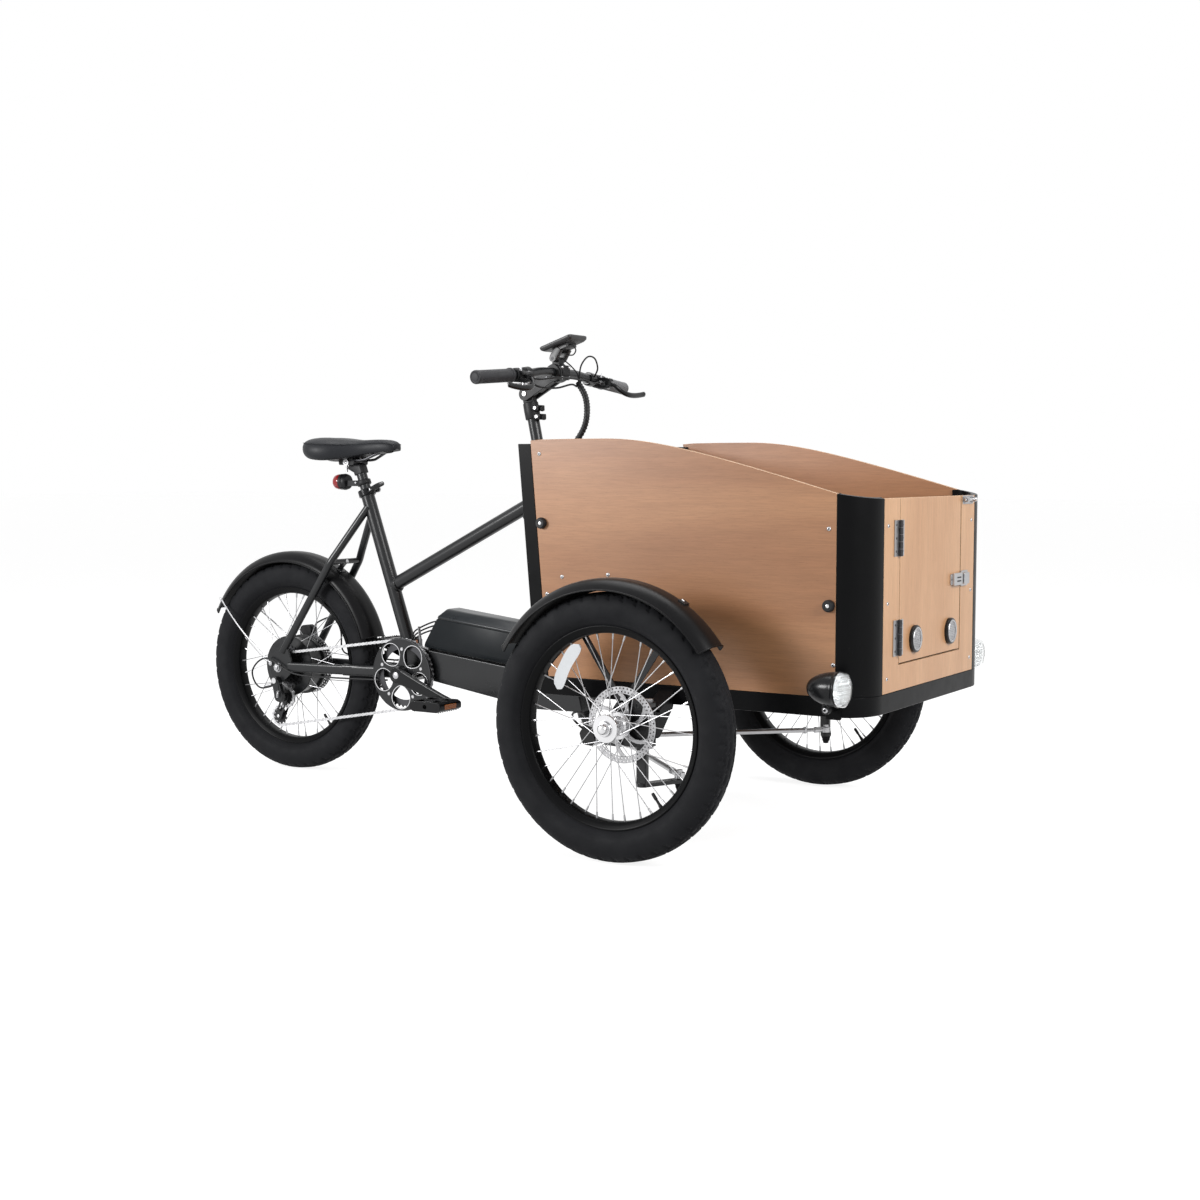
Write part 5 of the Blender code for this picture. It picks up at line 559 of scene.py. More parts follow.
def carved(shape, cutters):
    """The shape with others cut out of it."""
    base = add_to_scene("carved", mesh_of("carved", shape))
    spent = [base]
    for cutter in cutters:
        spent.append(add_to_scene("cutter", mesh_of("cutter", cutter)))
        step = base.modifiers.new("cut", "BOOLEAN")
        step.operation, step.solver, step.object = "DIFFERENCE", "EXACT", spent[-1]
    made = base.evaluated_get(bpy.context.evaluated_depsgraph_get()).to_mesh()
    points = [v.co.copy() for v in made.vertices]
    faces = [list(p.vertices) for p in made.polygons]
    for old in spent:
        bpy.data.objects.remove(old, do_unlink=True)
    return points, faces


def make(name, shape, body, finish, stands_for=None, bevel=0.0, segments=2, smooth=35, edge=None,
        subdivide=0):
    mesh = mesh_of(name, shape)
    mesh.materials.append(FINISH[finish])
    if edge:
        edge_finish, axis = edge
        mesh.materials.append(FINISH[edge_finish])
        for face in mesh.polygons:
            face.material_index = int(abs(face.normal.dot(Vector(axis))) < 0.5)
    piece = add_to_scene(name, mesh)
    if subdivide:
        layer = piece.modifiers.new("smooth", "SUBSURF")
        layer.levels = layer.render_levels = subdivide
        mesh.shade_smooth()
    elif smooth:
        mesh.shade_smooth()
        mesh.set_sharp_from_angle(angle=radians(smooth))
    if bevel:
        edges = piece.modifiers.new("edges", "BEVEL")
        edges.width = bevel
        edges.segments = segments
        edges.limit_method = "ANGLE"
        edges.angle_limit = radians(40)
        edges.harden_normals = True
    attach(piece, body)
    if stands_for:
        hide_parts(stands_for)
    return piece


# %% [markdown]
# ## Cords and screws
# A cord is a thin tube along a smoothed line through its points. Screws are turned heads with a hexagon socket,
# which is a dark six-sided disc set just above the head: painted shade for the socket's hollow.

# %% Cords and screws
def free_cord(name, points, radius, body, finish="plastic", stands_for=None):
    """A cable or hose that belongs to the object: a thin tube along a smoothed line."""
    path = smooth_path(points, 10)
    piece = make(name, tube(path, radius, 12), body, finish, stands_for, smooth=60)


def dome_screw(place, out, radius=0.0050, height=0.0030):
    """The head of a button-head screw."""
    r, h = radius, height
    return lathe([(0, 0), (r, 0), (r, 0.25 * h), (0.86 * r, 0.66 * h), (0.62 * r, 0.93 * h), (0.45 * r, h),
        (0, h)], place, out, 20)


# A dark six-sided disc on the head: painted shade in place of the socket's hollow.
def socket_shade_disc(place, out, radius=0.0050, height=0.0030):
    return lathe(corners(0, 0.42 * radius, height - 0.0002, height + 0.00025), place, out, 6)


print("a screw head has", len(dome_screw((0, 0, 0), (0, 0, 1))[1]), "faces")

# %% [markdown]
# ## Tyre tread
# The tread is cut into the tyre's own surface: a zigzag groove each side of the crown, slots across the
# shoulders, and fine ribs on the sidewalls. A picture of a tread would look flat at the edge of the wheel.

# %% Tyre tread
AXLE, WHEEL_Y, REAR_X = 0.278, 0.511, -1.304
TYRE_SECTION = mm((19, 205), (20, 211), (26.2, 216.6), (34.5, 227), (37.3, 240), (36, 254), (30.5, 266.5),
    (19, 275), (0, 278))
PITCHES = 52
TREAD_HALF, TREAD_LOW, BEAD_R = 0.0373, 0.243, 0.2041


def zigzag(t):
    return 4 * abs(t - int(t) - 0.5) - 1


def groove(turn, y, half):
    """How deep the tread is cut at a turn round the tyre and a place across it."""
    v = abs(y) / half
    if v > 0.9:
        return 0.0
    u = turn * PITCHES + (0.5 if y > 0 else 0.0) + 4
    depth = 0.0
    if abs(v - 0.24 - 0.055 * zigzag(u)) < 0.045 or abs(v - 0.58 - 0.05 * zigzag(u)) < 0.035:
        depth = 0.003
    slot_at = (u + 0.55 * v) % 1.0
    if v > 0.58 and slot_at < 0.2:
        depth = max(depth, 0.003 * min(1.0, (0.93 - v) / 0.1))
    if 0.24 < v < 0.58 and abs(slot_at - 0.5) < 0.07:
        depth = max(depth, 0.0022)
    if v < 0.2 and abs(((turn * PITCHES * 0.5) % 1.0) - 0.5) < 0.045:
        depth = max(depth, 0.0018)
    return depth


def tyre_shape(centre):
    side = smooth_path([vec(y, r, 0) for y, r in TYRE_SECTION], 5)
    section = [(p.x, p.y) for p in side]
    section += [(-y, r) for y, r in reversed(section[:-1])]
    around = PITCHES * 8
    rings = []
    for k in range(around):
        turn = k / around
        way = vec(cos(2 * pi * turn), 0, sin(2 * pi * turn))
        ring = []
        for y, r in section:
            cut = groove(turn, y, TREAD_HALF) if r > TREAD_LOW else 0.0
            rib = 0.0004 * (1 if int(r * 1000) % 5 == 0 else 0) if 0.222 < r < 0.24 else 0.0
            ring.append(Vector(centre) + way * (r - cut) + vec(0, y + (rib if y > 0 else -rib), 0))
        ring.append(Vector(centre) + way * BEAD_R + vec(0, -0.01, 0))
        ring.append(Vector(centre) + way * BEAD_R + vec(0, 0.01, 0))
        rings.append(ring)
    return skin(rings, loop=True)


print("tread repeats", PITCHES, "times")

# %% [markdown]
# ## Rim and spokes
# A rim is a turned section. Half of it is listed and the other half is its mirror. Each spoke is a thin rod that
# leaves the hub at a slant, crosses its neighbours, and ends in a nipple at the rim, as a wheel builder laces it.

# %% Rim and spokes
SPOKES, RIM_SEAT = 36, 0.1936
def rim_shape(centre):
    side = mm((194, 0), (194, 10.5), (195.8, 15), (201, 18), (206, 21.2), (208.5, 22.4), (209.8, 21.9),
        (210, 20.5), (209, 19.4), (203.6, 19.2), (203.6, 0))
    return lathe(side[:-1] + [(r, -y) for r, y in reversed(side[:-1])], centre, (0, 1, 0), 128)


def spoke_shapes(centre, circle, flange_y, lead):
    """Crossed spokes with their heads in the flanges, and a nipple at the rim end of each."""
    bars, nipples = [], []
    for j in range(SPOKES):
        side = 1 if j % 2 else -1
        lean = 1 if (j // 2) % 2 else -1
        rim_turn = 2 * pi * j / SPOKES
        hub_turn = rim_turn - lean * lead
        head = centre + vec(circle * cos(hub_turn), side * flange_y + lean * 0.0016, circle * sin(hub_turn))
        tail = centre + vec(RIM_SEAT * cos(rim_turn), side * 0.004, RIM_SEAT * sin(rim_turn))
        way = (tail - head).normalized()
        bars.append(rod(head, tail, 0.001, 8))
        bars.append(rod(head - vec(0, lean * 0.003, 0), head + vec(0, lean * 0.0012, 0), 0.0019, 8))
        nipples.append(rod(tail - way * 0.013, tail, 0.0019, 8, 0.0023))
    return merge(*bars), merge(*nipples)


print("spokes in a wheel", SPOKES)

# %% [markdown]
# ## Brake rotor
# The rotor's band is made of small cells, each a square of sheet round an eight-sided hole. A hundred booleans
# would make the same holes, but slower and with worse faces. Six swept arms join the band to the hub.

# %% Brake rotor
ROTOR_ARMS = 6


def holed_ring(centre, y, inner, outer, cells, hole, thickness, rows=2):
    """A flat ring with rows of round holes, for a brake rotor's band."""
    shapes = []
    half = thickness / 2
    for row in range(rows):
        r0 = inner + (outer - inner) * row / rows
        r1 = inner + (outer - inner) * (row + 1) / rows
        for k in range(cells):
            t0 = 2 * pi * (k + 0.5 * row) / cells
            t1 = t0 + 2 * pi / cells
            tm, rm = (t0 + t1) / 2, (r0 + r1) / 2
            edge = [(r0, t0), (r0, tm), (r0, t1), (rm, t1), (r1, t1), (r1, tm), (r1, t0), (rm, t0)]
            points, faces = [], []
            for d in (-half, half):
                for r, t in edge:
                    points.append(centre + vec(r * cos(t), y + d, r * sin(t)))
                for r, t in edge:
                    spot = vec(r * cos(t) - rm * cos(tm), 0, r * sin(t) - rm * sin(tm)).normalized() * hole
                    points.append(centre + vec(rm * cos(tm), y + d, rm * sin(tm)) + spot)
            for i in range(8):
                j = (i + 1) % 8
                faces += [[i, j, 8 + j, 8 + i], [16 + i, 24 + i, 24 + j, 16 + j], [8 + i, 8 + j, 24 + j,
                    24 + i]]
            faces += [[0, 16, 17, 1], [1, 17, 18, 2], [4, 5, 21, 20], [5, 6, 22, 21]]
            shapes.append((points, faces))
    return merge(*shapes)


def rotor_shape(centre, y, root):
    """Brake rotor: a holed band on swept arms."""
    shapes = [holed_ring(centre, y, 0.0655, 0.08, 54, 0.0019, 0.0018)]
    for i in range(ROTOR_ARMS):
        turn = 2 * pi * i / ROTOR_ARMS
        edges = []
        for s in (-1, 1):
            row = []
            for k in range(7):
                share = k / 6
                r = root + (0.0665 - root) * share
                way = turn + 0.6 * share ** 1.3 + s * (0.0042 + 0.0022 * abs(2 * share - 1)) / r
                row.append((centre.x + r * cos(way), centre.z + r * sin(way)))
            edges.append(row)
        shapes.append(prism(edges[0] + list(reversed(edges[1])), "Y", centre.y + y - 0.0009,
            centre.y + y + 0.0009))
    return merge(*shapes)


print("rotor arms", ROTOR_ARMS)

# %% [markdown]
# ## Tyres, valves and reflectors
# The long reflector is a bowed plate across the spokes. Each wheel then gets its tyre, rim and valve. These are
# separate pieces, because rubber, aluminium and brass are made and painted apart.

# %% Tyres, valves and reflectors
def reflector_shape(centre, y):
    """Long reflector plate with rounded ends, bowed a little and clipped across the spokes."""
    first, last = vec(-0.07, 0, 0.1675), vec(-0.123, 0, 0.072)
    along = (last - first).normalized()
    outward = vec(along.z, 0, -along.x)
    rings = []
    for k in range(21):
        share = k / 20
        middle = centre + first.lerp(last, share) + outward * 0.028 * share * (1 - share) + vec(0, y, 0)
        wide = 0.015 * (1 - abs(2 * share - 1) ** 5) ** 0.5 * (0.86 + 0.14 * abs(2 * share - 1)) + 0.0008
        rings.append([middle + outward * a * wide + vec(0, b, 0) for a, b in ((-1, -0.0025), (1, -0.0025),
            (0.82, 0.0025), (-0.82, 0.0025))])
    return skin(rings)


def valve_shape(centre, turn):
    way = vec(cos(turn), 0, sin(turn))
    root = centre + way * 0.1945
    return merge(lathe(mm((0, 0), (4.2, 0), (4, 6), (3, 9), (2.8, 20), (3.6, 21), (3.6, 33), (2.6, 36),
        (0, 36)), root, -way, 14))


def wheel_rubber(name, centre, body, rubber_node, rim_node):
    make(name + "_tyre_tread", tyre_shape(centre), body, "tyre_rubber", rubber_node, smooth=32)
    make(name + "_rim_ring", rim_shape(centre), body, "post_paint", rim_node, smooth=50)
    make(name + "_valve", valve_shape(centre, radians(-53)), body, "plastic")


for name, side in SIDES:
    wheel_rubber("front_" + name, at(0, side * WHEEL_Y, AXLE), "front_wheel_" + name, "front_tyre_" + name,
        "front_rim_" + name)
wheel_rubber("rear", at(REAR_X, 0, AXLE), "rear_wheel", "rear_tyre", "rear_rim")

# %% [markdown]
# ## Front hubs
# Polished shells with round flanges, crossed spokes with nipples, and holed rotors bolted to the inner side.

# %% Front hubs
for name, side in SIDES:
    body = "front_wheel_" + name
    centre = at(0, side * WHEEL_Y, AXLE)
    out = vec(0, side, 0)
    shell = lathe(mm((0, 45.5), (5.5, 45.5), (8.5, 44), (11, 40), (11.8, 34), (15, 33.5), (16.5, 31),
        (17, 28.5), (28.5, 28), (29, 27.2), (29, 23.2), (28, 22.2), (20, 21.5), (17.5, 18), (16.5, 0),
        (17.5, -18), (20.5, -21.5), (28, -22.2), (29, -23.2), (29, -27.2), (28, -28), (21.5, -29),
        (21.5, -37.5), (19.5, -40), (19.5, -44.6), (10, -44.6), (0, -44)), centre, out, 48)
    ring = lathe(corners(0.0118, 0.015, 0.0335, 0.035), centre, out, 6)
    spokes, nipples = spoke_shapes(centre, 0.025, 0.025, radians(60))
    make("front_hub_shell_" + name, merge(shell, ring), body, "polished", "front_hub_" + name)
    make("front_spokes_" + name, spokes, body, "spoke_steel")
    make("front_nipples_" + name, nipples, body, "zinc")
    make("front_rotor_" + name, rotor_shape(centre, -side * 0.039, 0.019), body, "brushed", smooth=0)
    bolts = []
    for k in range(6):
        turn = 2 * pi * (k + 0.5) / 6
        spot = centre + vec(0.0215 * cos(turn), -side * 0.0399, 0.0215 * sin(turn))
        bolts.append(dome_screw(spot, -out, 0.0034, 0.0022))
    make("front_rotor_bolts_" + name, merge(*bolts), body, "dark_steel")
    make("front_reflector_" + name, reflector_shape(centre, side * 0.0135), body, "reflector_white",
        smooth=25)

# %% [markdown]
# ## Rear wheel
# A black hub motor between its spoke flanges, the rotor on the left and the stepped sprockets on the right.

# %% Rear wheel
REAR = at(REAR_X, 0, AXLE)
CHAIN_PITCH, CHAIN_Y = 0.0127, -0.0545


def pitch_radius(teeth):
    return CHAIN_PITCH / (2 * sin(pi / teeth))


def sprocket_outline(teeth, cx, cz, turn=0.0):
    """Teeth with round valleys and narrow tips."""
    pitch = pitch_radius(teeth)
    outline = []
    for i in range(teeth):
        for share, radius in ((-0.5, pitch - 0.0046), (-0.34, pitch - 0.004), (-0.19, pitch - 0.0018),
                (-0.07, pitch + 0.0003), (0.07, pitch + 0.0003), (0.19, pitch - 0.0018),
                (0.34, pitch - 0.004)):
            t = turn + 2 * pi * (i + share) / teeth
            outline.append((cx + radius * cos(t), cz + radius * sin(t)))
    return outline


drum = lathe(mm((6.6, 52), (17, 52), (17.8, 51), (18, 46.2), (59, 45.5), (64, 44), (72.5, 38.5), (73.8, 36.5),
    (74, 30.5), (79.5, 30), (80, 29.2), (80, 25), (79.5, 24), (73.8, 23.5), (73.5, 0), (73.8, -23.5),
    (79.5, -24), (80, -25), (80, -29.2), (79.5, -30), (72, -30.3), (60, -33), (40, -33.1), (6.6, -33.1)),
    REAR, (0, 1, 0), 72)
spokes, nipples = spoke_shapes(REAR, 0.076, 0.027, radians(20))
make("motor_drum", drum, "rear_wheel", "frame_paint", "rear_hub_motor")
make("rear_spokes", spokes, "rear_wheel", "spoke_steel")
make("rear_nipples", nipples, "rear_wheel", "zinc")
make("rear_rotor", rotor_shape(REAR, 0.0535, 0.013), "rear_wheel", "brushed", smooth=0)
screws = []
for k in range(9):
    turn = 2 * pi * k / 9
    screws.append(dome_screw(REAR + vec(0.066 * cos(turn), 0.0427, 0.066 * sin(turn)), (0, 1, 0), 0.0032,
        0.002))
make("motor_screws", merge(*screws), "rear_wheel", "zinc")

y = -0.0338
cogs = []
for k, teeth in enumerate((28, 24, 21, 18, 16, 15, 14)):
    cogs.append(prism(sprocket_outline(teeth, REAR.x, REAR.z, 0.13 * k), "Y", y, y - 0.0019))
    y -= 0.005
core = lathe(mm((6.6, -33.6), (25, -33.6), (21.5, -64), (13, -66.3), (6.6, -66.3)), REAR, (0, 1, 0), 40)
make("sprocket_set", merge(*cogs), "cassette", "dark_steel", "cassette", smooth=0)
make("sprocket_core", core, "cassette", "dark_steel")

# %% [markdown]
# ## Outline of the box
# Plywood panels stand between black corner pieces, and the rear wall leans towards the rider. The curve of the
# side's top edge is part of a hyperbola, which starts level at its peak and then falls almost straight.

# %% Outline of the box
HALF_W, FRONT_X, REAR_EDGE, LEAN = 0.351, 0.4865, -0.261, tan(radians(5.1))
PANEL, BASE_Z, FLOOR_Z = 0.012, 0.31, 0.35
CORNER_X, CORNER_Y = 0.0649, 0.088
START_X, FLAT_Y = FRONT_X - CORNER_X, HALF_W - CORNER_Y
FRONT_TOP, SIDE_FRONT_TOP, PEAK, PEAK_X, SHOULDER = 0.7455, 0.756, 0.869, -0.12, 0.2
POST_TOP, POST = 0.859, 0.034
DOOR_Y, DOOR_Z, PLAY = 0.18, 0.403, 0.0024
X0 = FRONT_AXLE_X


def rear_edge(z):
    return REAR_EDGE - LEAN * (z - FLOOR_Z)


def side_top(x):
    run = max(0.0, x - PEAK_X)
    fall = hypot(START_X - PEAK_X, SHOULDER) - SHOULDER
    return PEAK - (PEAK - SIDE_FRONT_TOP) * (hypot(run, SHOULDER) - SHOULDER) / fall


def corner_arc(inset, steps=14):
    """Round a front corner in plan, from the side to the front."""
    return [(START_X + (CORNER_X - inset) * sin(pi / 2 * k / steps), FLAT_Y + (CORNER_Y - inset)
        * cos(pi / 2 * k / steps)) for k in range(steps + 1)]


def side_wall(side):
    front = START_X - GAP
    outline = [(REAR_EDGE, FLOOR_Z + GAP), (front, FLOOR_Z + GAP)]
    outline += [(front + (PEAK_X - front) * k / 30, side_top(front + (PEAK_X - front) * k / 30))
        for k in range(31)]
    outline += [(rear_edge(PEAK) + 0.1, PEAK), (rear_edge(PEAK) + 0.03, PEAK - 0.0008), (rear_edge(PEAK),
        PEAK - 0.003)]
    low, high = sorted((side * (HALF_W - PANEL), side * HALF_W))
    return prism([(X0 + x, z) for x, z in outline], "Y", low, high)


def leaning(section, top):
    return skin([[at(rear_edge(z) + x, y, z) for x, y in section] for z in (FLOOR_Z + GAP, top)])


print("box half width", HALF_W, "front at", round(X0 + FRONT_X, 3))

# %% [markdown]
# ## Side walls and corner posts
# Each side wall is a plywood sheet. A folded post holds it at the rear, and a rounded corner piece at the front.
# Both have a thin lip that the sheet slides behind, which keeps a real gap between wood and plastic.

# %% Side walls and corner posts
for name, side in SIDES:
    start = HALF_W - PANEL if side > 0 else -HALF_W
    ply_edge("side_ply_" + name, PALE_PLY, 1, start, PANEL)
    make("side_wall_" + name, side_wall(side), "frame", "side_veneer", "side_panel_" + name, bevel=0.0008,
        edge=("side_ply_" + name, (0, 1, 0)))
    inner, lip = HALF_W - POST, HALF_W - PANEL - GAP
    section = [(-POST, HALF_W), (-GAP, HALF_W), (-GAP, lip), (0.015, lip), (0.015, lip - 0.003),
        (-GAP, lip - 0.003), (-GAP, inner), (-POST, inner)]
    make("rear_post_" + name + "_shell", leaning([(x, side * y) for x, y in section], POST_TOP), "frame",
        "post_paint", "rear_post_" + name, bevel=0.0022, segments=3)
    back, lip = PANEL + GAP, PANEL + GAP + 0.003
    outer = corner_arc(0.0)
    outer[-1] = (FRONT_X, FLAT_Y + GAP)
    section = outer + [(FRONT_X - back, FLAT_Y + GAP), (FRONT_X - back, FLAT_Y - 0.015), (FRONT_X - lip,
        FLAT_Y - 0.015)]
    section += list(reversed(corner_arc(lip)))
    section += [(START_X - 0.015, HALF_W - lip), (START_X - 0.015, HALF_W - back), (START_X, HALF_W - back)]
    slope = (SIDE_FRONT_TOP - FRONT_TOP) / CORNER_X
    low = [at(x, side * y, FLOOR_Z + GAP) for x, y in section]
    high = [at(x, side * y, SIDE_FRONT_TOP - slope * max(0.0, x - START_X)) for x, y in section]
    make("front_corner_" + name + "_shell", skin([low, high]), "frame", "post_paint", "front_corner_" + name,
        bevel=0.0012, smooth=30)


print("side wall height", round(PEAK - FLOOR_Z, 3))

# %% [markdown]
# ## Rear and front walls
# The front wall has an opening for the door, so its outline is a U. The layered edge is a second finish on the
# same sheet, given to the faces that don't look along the sheet's thickness.

# %% Rear and front walls
half = HALF_W - POST - GAP
ply_edge("rear_ply", PALE_PLY, 0, X0 + rear_edge(PEAK) - PANEL, PANEL)
# The rear wall takes the darker veneer, painted shade for the inside of the box.
make("rear_wall", leaning(corners(-PANEL, 0, -half, half), POST_TOP), "frame", "inner_veneer_painted_shade", "rear_panel",
    bevel=0.0008, edge=("rear_ply", (1, 0, 0)))
ply_edge("front_ply", OAK_PLY, 0, X0 + FRONT_X - PANEL, PANEL)
outline = [(-FLAT_Y, FLOOR_Z + GAP), (FLAT_Y, FLOOR_Z + GAP), (FLAT_Y, FRONT_TOP), (DOOR_Y, FRONT_TOP),
    (DOOR_Y, DOOR_Z), (-DOOR_Y, DOOR_Z), (-DOOR_Y, FRONT_TOP), (-FLAT_Y, FRONT_TOP)]
STAPLES = [(0.189, 0.202), (0.235, 0.248)]
make("front_wall", prism(outline, "X", X0 + FRONT_X - PANEL, X0 + FRONT_X), "frame", "front_veneer",
    "front_panel", bevel=0.0008, edge=("front_ply", (1, 0, 0)))

# %% [markdown]
# ## Base and floor
# A welded tray: an edge rail that follows the rounded corners, cross members, a spine and the carriers of the
# kingpins outside it.

# %% Base and floor
LIGHT_PIVOT = (0.42, 0.33)
def base_plan(inset, rear):
    left = [(x, y) for x, y in reversed(corner_arc(inset))]
    right = [(x, -y) for x, y in corner_arc(inset)]
    return [(rear, -(HALF_W - inset))] + right + left + [(rear, HALF_W - inset)]


RAIL, REAR_RAIL = 0.03, REAR_EDGE - POST
outer, inner = base_plan(0.0, REAR_RAIL), base_plan(RAIL, REAR_RAIL + RAIL)
rail = skin([[at(*o, BASE_Z), at(*i, BASE_Z), at(*i, FLOOR_Z), at(*o, FLOOR_Z)] for o, i in zip(outer,
    inner)], loop=True)
wide = HALF_W - RAIL + 0.004
members = [block(at(0.02, -wide, BASE_Z + 0.001), at(0.06, wide, FLOOR_Z - 0.001)),
    block(at(REAR_RAIL + 0.15, -wide, BASE_Z + 0.001), at(REAR_RAIL + 0.18, wide, FLOOR_Z - 0.001)),
    block(at(-0.355, -0.02, BASE_Z + 0.002), at(FRONT_X - 0.026, 0.02, FLOOR_Z - 0.0015))]
make("base_tray", merge(rail, *members), "frame", "post_paint", bevel=0.0018, segments=3)

carriers = []
for side in (-1, 1):
    web = [(0.345, 0.346), (0.398, 0.312), (0.418, 0.311), (0.418, 0.246), (0.404, 0.246), (0.345, 0.305)]
    carriers.append(prism([(side * y, z) for y, z in rounded(web, 0.008)], "X", X0 + 0.029, X0 + 0.051))
    carriers.append(prism([(side * y, z) for y, z in rounded([(0.352, 0.342), (0.416, 0.306), (0.416, 0.3),
        (0.352, 0.334)], 0.002)], "X", X0 + 0.022, X0 + 0.058))
    carriers.append(lathe(mm((8.8, -35.5), (13.8, -35.8), (15, -34.5), (15, 34.5), (13.8, 35.8), (8.8, 35.5)),
        at(0.04, side * 0.43, 0.278), (0, 0, 1), 40))
    carriers.append(prism(rounded([(X0 + 0.404, 0.306), (X0 + 0.404, 0.33), (X0 + 0.412, 0.34),
        (X0 + 0.428, 0.34), (X0 + 0.436, 0.33), (X0 + 0.436, 0.306)], 0.004), "Y",
        *sorted((side * 0.349, side * 0.3545))))
    carriers.append(rod(at(LIGHT_PIVOT[0], side * 0.352, LIGHT_PIVOT[1]), at(LIGHT_PIVOT[0], side * 0.379,
        LIGHT_PIVOT[1]), 0.0075, 24))
    carriers.append(rod(at(LIGHT_PIVOT[0], side * 0.375, LIGHT_PIVOT[1]), at(LIGHT_PIVOT[0], side * 0.397,
        LIGHT_PIVOT[1]), 0.0029, 16))
make("base_carriers", merge(*carriers), "frame", "post_paint", "box_base_frame", bevel=0.0008)

board = base_plan(PANEL + 0.003 + 2 * GAP, REAR_EDGE + 2 * GAP)
ply_edge("floor_ply", PALE_PLY, 2, FLOOR_Z, PANEL)
make("floor_board", prism([(X0 + x, y) for x, y in board], "Z", FLOOR_Z + GAP, FLOOR_Z + GAP + PANEL),
    "frame", "side_veneer", "box_floor", bevel=0.0006, edge=("floor_ply", (0, 0, 1)))

# %% [markdown]
# ## Screws and knobs of the box
# Button-head screws hold the panels to the frame behind them, and black knobs hold the lining. One function turns
# a list of places into heads with their sockets, so a new screw is one more pair of numbers.

# %% Screws and knobs of the box
def screws(name, body, places, out, radius=0.0046, height=0.0026, finish="zinc"):
    heads, socket_shades = [], []
    for place in places:
        heads.append(dome_screw(place, out, radius, height))
        socket_shades.append(socket_shade_disc(place, out, radius, height))
    make(name, merge(*heads), body, finish, smooth=50)
    # The sockets are dark discs, painted shade for the hollows in the heads.
    make(name + "_sockets", merge(*socket_shades), body, "plastic", smooth=0)


SIDE_SCREWS = [(-0.284, 0.837), (0.405, 0.686), (-0.225, 0.57), (-0.108, 0.578), (-0.264, 0.531),
    (0.417, 0.415), (-0.252, 0.384)]
for name, side in SIDES:
    out = vec(0, side, 0)
    screws("side_screws_" + name, "frame", [at(x, side * (HALF_W - 0.0002), z) for x, z in SIDE_SCREWS], out)
    knobs, pins = [], []
    r, h = 0.0125, 0.0105
    for x, z in ((-0.277, 0.686), (0.407, 0.533)):
        place = at(x, side * (HALF_W - 0.0002), z)
        knobs.append(lathe([(0, 0), (r, 0), (r, 0.55 * h), (0.92 * r, 0.85 * h), (0.75 * r, h), (0.42 * r, h),
            (0.4 * r, 0.8 * h), (0, 0.8 * h)], place, out, 28))
        pins.append(dome_screw(place + out * 0.78 * h, out, 0.4 * r, 0.0028))
    make("side_knobs_" + name, merge(*knobs), "frame", "plastic")
    make("side_knob_bolts_" + name, merge(*pins), "frame", "polished")
front_screws = [at(FRONT_X - 0.0002, s * 0.243, z) for s in (-1, 1) for z in (0.69, 0.533, 0.38)]
screws("front_screws", "frame", front_screws, (1, 0, 0), 0.004, 0.0024)

# %% [markdown]
# ## Door
# The door turns on two butt hinges. It carries two round vents and a latch, and the bolt shoots across its face.

# %% Door
ply_edge("door_ply", OAK_PLY, 0, X0 + FRONT_X - PANEL, PANEL)
make("door_slab", block(at(FRONT_X - PANEL, -DOOR_Y + PLAY, DOOR_Z + 1.4 * PLAY),
    at(FRONT_X, DOOR_Y - 2 * PLAY, FRONT_TOP)), "door", "front_veneer", bevel=0.0009, edge=("door_ply",
    (1, 0, 0)))
# Stop battens behind the door's edges, finished black so the gap round the door reads dark: partly real battens,
# partly painted shade.
STOP_X = FRONT_X - PANEL - GAP
stops = [block(at(STOP_X - 0.008, side * (DOOR_Y + 0.014), DOOR_Z - 0.014),
    at(STOP_X, side * (DOOR_Y - 0.008), FRONT_TOP - 0.004)) for side in (-1, 1)]
stops.append(block(at(STOP_X - 0.008, -DOOR_Y + 0.008, DOOR_Z - 0.014), at(STOP_X, DOOR_Y - 0.008,
    DOOR_Z + 0.008)))
make("door_stops_painted_shade", merge(*stops), "frame", "post_paint", bevel=0.0008)
print("door width", round(2 * DOOR_Y - 3 * PLAY, 4))

# %% [markdown]
# ## Door hinges
# A leaf hinge has five knuckles round one pin. Three belong to the frame's leaf and two to the door's, so a cut
# between them would show daylight. The pin stays with the frame while the door's leaf turns.

# %% Door hinges
HINGE_X, HINGE_Y, HINGE_HALF, BARREL, BARRELS = FRONT_X + 0.0058, -0.187, 0.037, 0.004, 5


def hinge_leaf(z, side):
    """One leaf of a butt hinge with its knuckles: side 1 moves with the door."""
    near, far = sorted((HINGE_Y + side * 0.0008, HINGE_Y + side * 0.0255))
    leaf = block(at(FRONT_X + GAP, near, z - HINGE_HALF), at(FRONT_X + 0.0022, far, z + HINGE_HALF))
    shapes = []
    for k in range(BARRELS):
        if (k % 2 == 0) == (side < 0):
            low = z - HINGE_HALF + 2 * HINGE_HALF * k / BARRELS + 0.0003
            high = low + 2 * HINGE_HALF / BARRELS - 0.0006
            shapes.append(rod(at(HINGE_X, HINGE_Y, low), at(HINGE_X, HINGE_Y, high), BARREL, 24))
            y0, y1 = (HINGE_Y - 0.003, HINGE_Y) if side < 0 else (HINGE_Y, HINGE_Y + 0.003)
            shapes.append(block(at(FRONT_X + 0.0004, y0, low), at(FRONT_X + 0.0035, y1, high)))
    return leaf, merge(*shapes)


